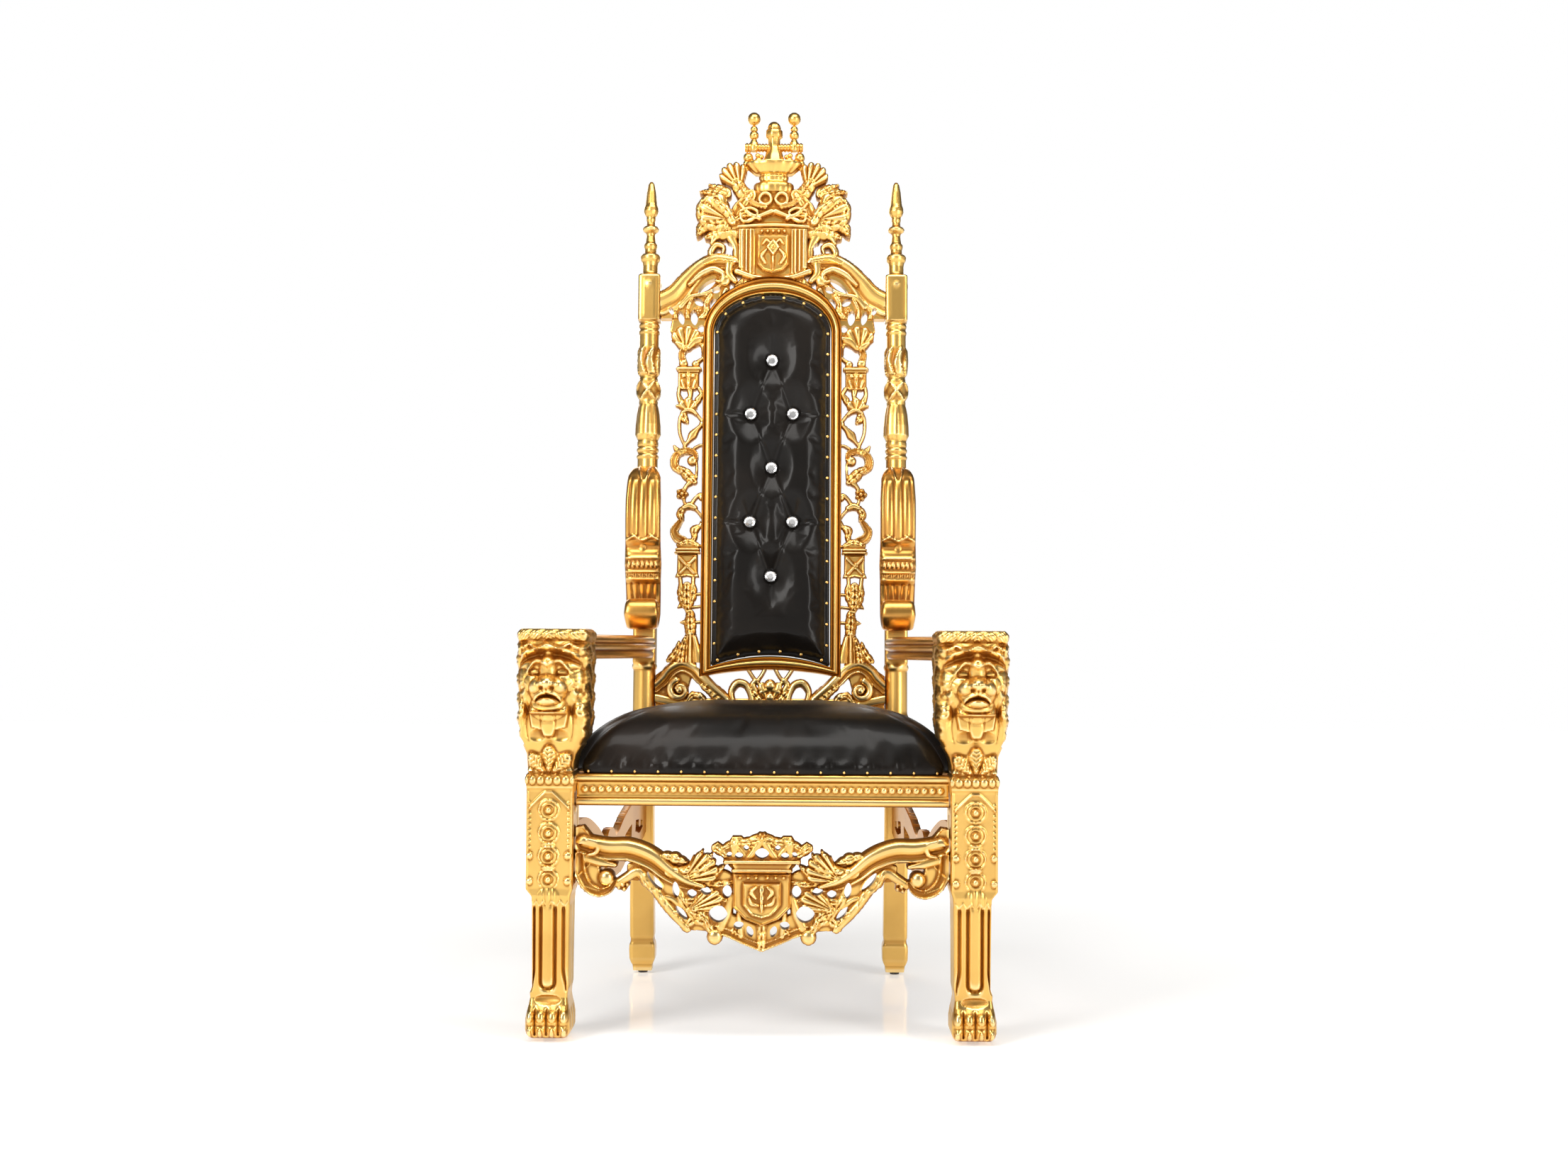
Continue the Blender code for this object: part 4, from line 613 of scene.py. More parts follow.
def outline_depth(outline, x, z):
    """Distance to a closed outline, positive inside: nearest edge, with the sign from crossings."""
    nearest = np.full(x.shape, 9.0)
    inside = np.zeros(x.shape, bool)
    for a, b in zip(outline, np.roll(outline, -1, axis=0)):
        run = b - a
        t = np.clip(((x - a[0]) * run[0] + (z - a[1]) * run[1]) / max(run @ run, 1e-12), 0, 1)
        nearest = np.minimum(nearest, np.hypot(x - a[0] - t * run[0], z - a[1] - t * run[1]))
        if a[1] != b[1]:
            crosses = (a[1] > z) != (b[1] > z)
            inside ^= crosses & (x < a[0] + (z - a[1]) * run[0] / run[1])
    return np.where(inside, nearest, -nearest)


class Plate:
    """A flat plate with a raised rim, or fluted upright grooves."""

    def __init__(self, outline, level=0.0, rim=0.0, flutes=0.0, flute_depth=0.0015):
        self.outline = np.array(outline, float)
        self.level = level
        self.rim = rim
        self.flutes = flutes
        self.flute_depth = flute_depth

    def mirrored(self):
        return Plate(self.outline * [-1, 1], self.level, self.rim, self.flutes, self.flute_depth)

    def reach(self):
        return self.outline.min(0), self.outline.max(0)

    def measure(self, x, z):
        """The level, a rim that is a round bead 2 mm inside the edge, and cosine flutes."""
        depth = outline_depth(self.outline, x, z)
        step = np.clip(depth / 0.0024, 0, 1)
        height = self.level * np.sqrt(1 - (1 - step) ** 2)
        height = height + self.rim * bell(depth - 0.0025, 0.0016)
        if self.flutes:
            ripple = 0.5 + 0.5 * np.cos(2 * np.pi * x / self.flutes)
            height = height - self.flute_depth * ripple * smooth_step(0.003, 0.006, depth)
        return depth, height


class Fan:
    """A leaf fan: rounded lobes that spread from a root, each a ridge that rises outwards."""

    def __init__(self, root, axis, size, spread, lobes, rise=0.008, level=0.0):
        self.root, self.axis, self.size, self.spread = np.array(root), axis, size, spread
        self.lobes, self.rise, self.level = lobes, rise, level

    def mirrored(self):
        return Fan(self.root * [-1, 1], 180 - self.axis, self.size, self.spread, self.lobes, self.rise,
            self.level)

    def reach(self):
        return self.root - self.size, self.root + self.size

    def measure(self, x, z):
        away = np.hypot(x - self.root[0], z - self.root[1])
        turn = np.arctan2(z - self.root[1], x - self.root[0]) - math.radians(self.axis)
        turn = np.mod(turn + np.pi, 2 * np.pi) - np.pi
        wide = math.radians(self.spread)
        share = np.clip(turn / wide, -1, 1)
        beat = np.abs(np.sin(self.lobes * np.pi * (share / 2 + 0.5)))
        edge = self.size * (0.88 + 0.12 * np.sqrt(beat)) * (1 - 0.2 * share**2)
        depth = np.minimum(edge - away, (wide - np.abs(turn)) * away + 0.003)
        out = np.clip(away / edge, 0, 1)
        ridge = (0.25 + 0.75 * beat**0.7) * (0.45 + 0.55 * out) * np.sqrt(1 - 0.8 * out**5)
        return depth, self.level + self.rise * ridge


def both_sides(strokes):
    """The strokes and their mirror images."""
    return strokes + [s.mirrored() for s in strokes]


def pierced(ovals, level):
    """A cut that is positive outside slanting ovals: (across, height, half length, half width, slope)."""

    def cut(x, z):
        clear = np.full(x.shape, 9.0)
        for across, height, length, width, slope in ovals:
            dx, dz = np.abs(x) - across, z - level(height)
            c, s = math.cos(math.radians(slope)), math.sin(math.radians(slope))
            far = (np.abs((dx * c + dz * s) / length) ** 1.7
                + np.abs((dz * c - dx * s) / width) ** 1.7) ** (1 / 1.7)
            clear = np.minimum(clear, (far - 1) * width)
        return clear

    return cut


# %% Boards from strokes
ROUNDING = 0.003


def carve(strokes, low, high, cell, cuts):
    """Samples strokes on a square grid: across, height, inside distance, relief and trim distance."""
    xs, zs = np.arange(low[0], high[0] + cell, cell), np.arange(low[1], high[1] + cell, cell)
    x, z = np.meshgrid(xs, zs, indexing="ij")
    inside, relief = np.full(x.shape, -1.0), np.zeros(x.shape)
    for stroke in strokes:
        near, far = stroke.reach()
        i0, i1 = np.searchsorted(xs, (near[0] - cell, far[0] + cell))
        j0, j1 = np.searchsorted(zs, (near[1] - cell, far[1] + cell))
        part = (slice(i0, i1), slice(j0, j1))
        if i1 > i0 and j1 > j0:
            depth, height = stroke.measure(x[part], z[part])
            inside[part] = np.maximum(inside[part], depth)
            relief[part] = np.maximum(relief[part], np.where(depth > 0, height, 0))
    trim = inside.copy()
    for cut in cuts:
        trim = np.minimum(trim, cut(x, z))
    edge = np.clip(inside / ROUNDING, 0, 1)
    relief = relief - ROUNDING * (1 - np.sqrt(1 - (1 - edge) ** 2))
    return x, z, trim, relief


def flat_back(points, rim, inside):
    """Few triangles that fill the rim's loops: Delaunay with the rim as edges, less the open holes."""
    used = np.unique(rim)
    renumber = np.zeros(len(points), int)
    renumber[used] = np.arange(len(used))
    corners = [Vector(p) for p in points[used]]
    found = delaunay_2d_cdt(corners, renumber[rim].tolist(), [], 1, 1e-7)
    origin = np.array([o[0] if o else -1 for o in found[3]])
    triangles = np.array(found[2])
    middle = np.array([tuple(p) for p in found[0]])[triangles].mean(1)
    solid = inside(middle[:, 0], middle[:, 1]) & (origin[triangles] >= 0).all(1)
    return used[origin[triangles[solid]]]


def within(trim, low, cell):
    """A test for points in the plane: the trim distance, read between grid points, is positive."""

    def inside(x, z):
        u, v = (x - low[0]) / cell, (z - low[1]) / cell
        i = np.clip(u.astype(int), 0, trim.shape[0] - 2)
        j = np.clip(v.astype(int), 0, trim.shape[1] - 2)
        a, b = u - i, v - j
        near = trim[i, j] * (1 - a) * (1 - b) + trim[i + 1, j] * a * (1 - b)
        return near + trim[i, j + 1] * (1 - a) * b + trim[i + 1, j + 1] * a * b > 0

    return inside


def relief_board(name, strokes, place, front, back, low, high, cell, cuts=(), material=bright_gold):
    """A closed board: the carved grid in front, a flat back and walls between them."""
    x, z, trim, relief = carve(strokes, low, high, cell, cuts)
    kept = trim > 0
    number = np.arange(x.size).reshape(x.shape)
    corners = [number[:-1, :-1], number[1:, :-1], number[1:, 1:], number[:-1, 1:]]
    held = [kept[:-1, :-1], kept[1:, :-1], kept[1:, 1:], kept[:-1, 1:]]
    total = sum(h.astype(int) for h in held)
    quads = np.stack([c[total == 4] for c in corners], 1)
    triangles = [
        np.stack([corners[k][(total == 3) & ~held[m]] for k in range(4) if k != m], 1)
        for m in range(4)
    ]
    triangles = np.concatenate(triangles)
    edges = np.concatenate(
        [quads[:, [k, (k + 1) % 4]] for k in range(4)] + [triangles[:, [k, (k + 1) % 3]] for k in range(3)]
    )
    code = edges[:, 0] * x.size + edges[:, 1]
    lone = ~np.isin(code, edges[:, 1] * x.size + edges[:, 0])
    rim = edges[lone]
    gx, gz = np.gradient(trim, cell)
    steep = np.maximum(gx**2 + gz**2, 0.3)
    on_rim = np.zeros(x.size, bool)
    on_rim[rim] = True
    on_rim = on_rim.reshape(x.shape)
    pull = np.where(on_rim, np.clip(trim, 0, 1.4 * cell) / steep, 0)
    x, z = x - pull * gx, z - pull * gz
    hollow = hollows(relief, kept)
    used = np.unique(np.concatenate([quads.ravel(), triangles.ravel()]))
    renumber = np.zeros(x.size, int)
    renumber[used] = np.arange(len(used))
    quads, triangles, rim = renumber[quads], renumber[triangles], renumber[rim]
    x, z, relief, hollow = (a.ravel()[used] for a in (x, z, relief, hollow))
    front_points = place(x, front + relief, z)
    rim_used = np.unique(rim)
    behind = np.zeros(len(used), int)
    behind[rim_used] = len(used) + np.arange(len(rim_used))
    back_points = place(x[rim_used], np.full(len(rim_used), -back), z[rim_used])
    walls = np.stack([rim[:, 1], rim[:, 0], behind[rim[:, 0]], behind[rim[:, 1]]], 1)
    filled = flat_back(np.stack([x, z], 1), rim, within(trim, low, cell))
    points = np.concatenate([front_points, back_points])
    first = points[quads[0]]
    outward = np.cross(first[1] - first[0], first[2] - first[0])
    facing = place(np.array([0.0]), np.array([1.0]), np.array([0.5])) - place(np.array([0.0]),
        np.array([0.0]), np.array([0.5]))
    faces = [quads, triangles, walls, behind[filled]]
    if outward @ facing[0] < 0:
        faces = [f[:, ::-1] for f in faces]
        faces[3] = faces[3][:, ::-1]
    faces[3] = orient(points, faces[3], -facing[0])
    board = put_mesh(name, points, faces, material)
    # The walls get a little glaze and painted shade from a hollow of 0.25.
    set_hollow(board, np.concatenate([hollow, np.full(len(rim_used), 0.25)]))
    return board


def orient(points, triangles, direction):
    """Turns each triangle to face the direction."""
    a, b, c = (points[triangles[:, k]] for k in range(3))
    wrong = np.cross(b - a, c - a) @ direction < 0
    triangles = triangles.copy()
    triangles[wrong] = triangles[wrong][:, ::-1]
    return triangles


def arch_outline(half, corner, sill_rise, spring, rise, steps=48):
    """The panel's outline: upright sides, half an ellipse over them and a bowed sill."""
    turn = np.pi * (1 - np.arange(steps + 1) / steps)
    arch = np.stack([half * np.cos(turn), up(spring) + rise * np.sin(turn)], 1)
    across = half * (1 - 2 * np.arange(25) / 24)
    sill = np.stack([across, up(corner) + sill_rise * (1 - (across / half) ** 2)], 1)
    return np.concatenate([arch, sill])


def moulding_outline(grown):
    """The outer line of the panel's moulding, let out by grown."""
    return arch_outline(
        ARCH_HALF + MOULDING + grown, ARCH_CORNER - MOULDING - grown, 0.016, ARCH_SPRING,
        ARCH_RISE + MOULDING_CROWN + grown,
    )


moulding_line = moulding_outline(0.0003)


def clear_of_moulding(x, z):
    """Positive outside the panel's moulding."""
    return -outline_depth(moulding_line, x, z)


print("board tools ready")

# %% [markdown]
# ## Crest rail
#
# The top of the back is one board: two swept arms with a bold moulding, pierced tracery in the
# corners, a shield with fluted sides, and big leaf volutes. The shield carries a plain
# lozenge and a sprig. It is drawn as it stands, half of it, and mirrored. Openings whose outline
# no stroke gives are ovals, taken out of the ground last.


# %% Crest rail strokes
def drawn(*points):
    """Points of the back given as (across, height above the floor), carried to the leaning plane."""
    return [(x, up(z)) for x, z in points]


def crest_half():
    volute = spiral((0.126, 1.618), (0.038, 0.014), (-120, 210), 15)
    ring = spiral((0.0175, 1.64), (0.0125, 0.0125), (0, 360), 13)
    return [
        Band(
            drawn((0.2392, 1.411), (0.213, 1.425), (0.18, 1.463), (0.153, 1.49), (0.128, 1.503),
                (0.085, 1.5)),
            (0.027, 0.026, 0.0225, 0.02, 0.019, 0.018), "moulding", 0.013,
        ),
        Band(drawn((0.178, 1.452), (0.15, 1.478), (0.124, 1.486), (0.106, 1.474), (0.112, 1.458),
            (0.126, 1.462)),
             (0.005, 0.008, 0.009, 0.008, 0.006, 0.003), "round", 0.012, 0.003),
        # Corner tracery: a ground, pierced later, with straps, buds and an end curl over it
        Plate(drawn((0.2392, 1.379), (0.2392, 1.4), (0.196, 1.432), (0.168, 1.462), (0.132, 1.486),
            (0.096, 1.484),
                    (0.09, 1.43), (0.112, 1.39), (0.138, 1.379)), 0.003),
        Knob(drawn((0.104, 1.463))[0], 0.014, 0.008, 0.005),
        Band(drawn((0.196, 1.405), (0.176, 1.426), (0.142, 1.434), (0.112, 1.452)), (0.006, 0.005, 0.0045),
            "round", 0.005, 0.003),
        Band(drawn((0.181, 1.376), (0.181, 1.402), (0.172, 1.422)), (0.006, 0.005, 0.005), "round", 0.005,
            0.003, 2),
        Band(drawn((0.206, 1.376), (0.208, 1.396), (0.196, 1.416)), (0.005, 0.006, 0.005), "round", 0.005,
            0.003, 2),
        Band(drawn((0.156, 1.378), (0.143, 1.392), (0.141, 1.416), (0.132, 1.43)), (0.007, 0.008, 0.006),
            "round", 0.006, 0.003, 3),
        Band(drawn((0.112, 1.4), (0.11, 1.42), (0.1, 1.442)), (0.006, 0.005, 0.006), "round", 0.005, 0.003),
        Knob(drawn((0.1405, 1.43))[0], 0.0075, 0.005, 0.004, 5),
        Knob(drawn((0.16, 1.396))[0], 0.0085, 0.006, 0.003, 5),
        # Small scrolls between the arm and the big leaf
        Band(drawn((0.128, 1.508), (0.133, 1.524), (0.121, 1.54), (0.106, 1.534), (0.108, 1.522)),
             (0.007, 0.008, 0.008, 0.006, 0.004), "round", 0.01),
        Band(drawn((0.146, 1.5), (0.118, 1.512), (0.09, 1.508)), (0.006, 0.009, 0.008), "rims", 0.01, 0.004),
        Band(drawn((0.078, 1.51), (0.08, 1.534), (0.09, 1.556)), (0.01, 0.008, 0.012), "round", 0.009),
        # Big leaf volute: a broad curl with an eye, and its fringe
        Knob(drawn((0.128, 1.616))[0], 0.036, 0.008, 0.004),
        Band(drawn(*volute), (0.016, 0.014, 0.012, 0.011, 0.008, 0.004), "round", 0.01, 0.006, 9, 0.12),
        Fan(drawn((0.098, 1.594))[0], 38, 0.066, 46, 4, 0.01, 0.009),
        Knob(drawn((0.136, 1.622))[0], 0.01, 0.006, 0.012, 5),
        Band(drawn((0.086, 1.586), (0.1, 1.612), (0.126, 1.634)), (0.01, 0.012, 0.006), "round", 0.008, 0.014,
            4),
        Band(drawn((0.075, 1.572), (0.11, 1.568), (0.142, 1.556)), (0.02, 0.018, 0.007), "round", 0.009,
            0.003, 5),
        Band(drawn((0.128, 1.59), (0.15, 1.58), (0.162, 1.558)), (0.018, 0.015, 0.004), "round", 0.009, 0.003,
            4),
        Band(drawn((0.11, 1.574), (0.124, 1.56), (0.132, 1.543)), (0.014, 0.011, 0.004), "round", 0.007,
            0.003),
        Band(drawn((0.108, 1.646), (0.134, 1.654), (0.156, 1.655)), (0.014, 0.012, 0.004), "round", 0.009,
            0.004, 4),
        Band(drawn((0.1, 1.652), (0.12, 1.664), (0.138, 1.671)), (0.014, 0.011, 0.004), "round", 0.008, 0.002,
            3),
        # Upright leaf beside the crown
        Band(drawn((0.048, 1.636), (0.062, 1.65), (0.08, 1.676)), (0.012, 0.017, 0.014), "round", 0.009,
            0.003, 3, 0.2),
        Fan(drawn((0.072, 1.662))[0], 66, 0.062, 40, 5, 0.01, 0.003),
        Band(drawn((0.07, 1.612), (0.048, 1.618), (0.034, 1.61), (0.046, 1.592), (0.066, 1.59),
            (0.071, 1.606)),
             (0.0042,), "round", 0.006, 0.011),
        Knob(drawn((0.066, 1.662))[0], 0.0085, 0.006, 0.009, 5),
        # Mantling between the shield and the crown
        Band(drawn((0.08, 1.58), (0.07, 1.612), (0.048, 1.65)), (0.02, 0.021, 0.012), "reeds", 0.008, 0.004),
        Band(drawn((0.086, 1.588), (0.062, 1.604), (0.04, 1.6)), (0.007, 0.009, 0.004), "round", 0.01, 0.008,
            3),
        Band(drawn((0.03, 1.596), (0.052, 1.606), (0.072, 1.628)), (0.006, 0.006, 0.004), "round", 0.008,
            0.009),
        Band(drawn((0.004, 1.612), (0.028, 1.602), (0.054, 1.592)), (0.006, 0.005, 0.004), "round", 0.007,
            0.009),
        Band(drawn((0.018, 1.622), (0.04, 1.628), (0.058, 1.644)), (0.006, 0.007, 0.005), "rims", 0.006,
            0.008),
        Band(drawn(*ring), (0.0045,), "round", 0.007, 0.006),
        # Fluted sides of the shield
        Plate(drawn((0.04, 1.575), (0.074, 1.575), (0.074, 1.488), (0.06, 1.472), (0.04, 1.468)), 0.0115,
            0.002),
        Band(drawn((0.04, 1.571), (0.04, 1.476)), (0.003,), "round", 0.0035, 0.0115),
        Band(drawn((0.048, 1.571), (0.048, 1.478)), (0.0038,), "round", 0.004, 0.0115),
        Band(drawn((0.0566, 1.571), (0.0566, 1.482)), (0.0034,), "round", 0.0035, 0.0115),
        Band(drawn((0.066, 1.569), (0.066, 1.49)), (0.0046,), "round", 0.0032, 0.0115),
        Band(drawn((0.016, 1.496), (0.024, 1.512), (0.014, 1.526)), (0.004, 0.005, 0.003), "round", 0.004,
            0.019),
        Band(drawn((0.006, 1.54), (0.014, 1.547), (0.022, 1.537)), (0.003, 0.004, 0.003), "round", 0.004,
            0.019),
        Knob(drawn((0.012, 1.567))[0], 0.0042, 0.004, 0.016),
        Knob(drawn((0.024, 1.567))[0], 0.0042, 0.004, 0.016),
        # Foot of the shield
        Band(drawn((0.0, 1.4665), (0.04, 1.4685), (0.077, 1.481)), (0.006, 0.006, 0.007), "round", 0.008,
            0.008),
        Band(drawn((0.094, 1.498), (0.094, 1.476), (0.082, 1.462)), (0.01, 0.01, 0.007), "round", 0.009,
            0.003),
    ]


def crest_middle():
    lozenge = [(0.0, 1.552), (0.016, 1.532), (0.0, 1.509), (-0.016, 1.532)]
    return [
        Plate(drawn((-0.09, 1.57), (0.09, 1.57), (0.05, 1.659), (-0.05, 1.659)), 0.003),
        Plate(drawn((-0.05, 1.577), (0.05, 1.577), (0.05, 1.466), (-0.05, 1.466)), 0.0115),
        Plate(drawn((-0.034, 1.56), (0.034, 1.56), (0.034, 1.494), (0.022, 1.481), (0.0, 1.474),
                    (-0.022, 1.481), (-0.034, 1.494)), 0.0175, 0.003),
        Plate(drawn(*lozenge), 0.0215, 0.0015),
        Band(drawn((0.0, 1.51), (0.0, 1.483)), (0.004, 0.003), "round", 0.004, 0.0185),
        Knob(drawn((0.0, 1.531))[0], 0.0055, 0.004, 0.0215, 5),
        Knob(drawn((0.0, 1.567))[0], 0.0042, 0.004, 0.016),
        Knob(drawn((0.0, 1.612))[0], 0.008, 0.008, 0.006, 5),
        Band(drawn((-0.075, 1.5775), (0.0, 1.5815), (0.075, 1.5775)), (0.0045, 0.005, 0.0045), "round", 0.006,
            0.01),
        Plate(drawn((-0.06, 1.478), (0.06, 1.478), (0.092, 1.44), (-0.092, 1.44)), 0.003, 0.0, 0.0125, 0.002),
    ]


crest_strokes = both_sides(crest_half()) + crest_middle()
crest_foot = up(1.3799)
crest_half_width = 0.2394


# Middle, half length, half width and slope of each hole in the corners
CORNER_HOLES = (
    (0.14, 1.45, 0.025, 0.0078, -39), (0.1206, 1.4412, 0.01, 0.0065, -20),
    (0.1004, 1.4264, 0.0105, 0.0055, -35),
    (0.1246, 1.4085, 0.0145, 0.0095, 90), (0.1575, 1.415, 0.012, 0.0072, 38),
    (0.1676, 1.382, 0.016, 0.0078, 82),
    (0.195, 1.3815, 0.0145, 0.0064, 75), (0.148, 1.364, 0.0105, 0.009, 0), (0.216, 1.396, 0.009, 0.005, 70),
    (0.0935, 1.532, 0.0125, 0.0075, 90),
)


def crest_ends(x, z):
    """Inside the two posts, and above the strips."""
    return np.minimum(crest_half_width - np.abs(x), z - crest_foot)


crest = relief_board(
    "carved_crest_rail", crest_strokes, on_back, 0.01, 0.013,
    (-0.243, up(1.377)), (0.243, up(1.727)), 0.0014,
    (clear_of_moulding, crest_ends, pierced(CORNER_HOLES, up)),
)
settle(crest, "crest_rail")

# %% [markdown]
# ## Pierced strips
#
# Between the panel and each post hangs a ribbon of fretwork: palmette, caps and small shields, an
# oval loop, foliage scrolls and a leaf drop, tied to the panel's moulding by short twigs.


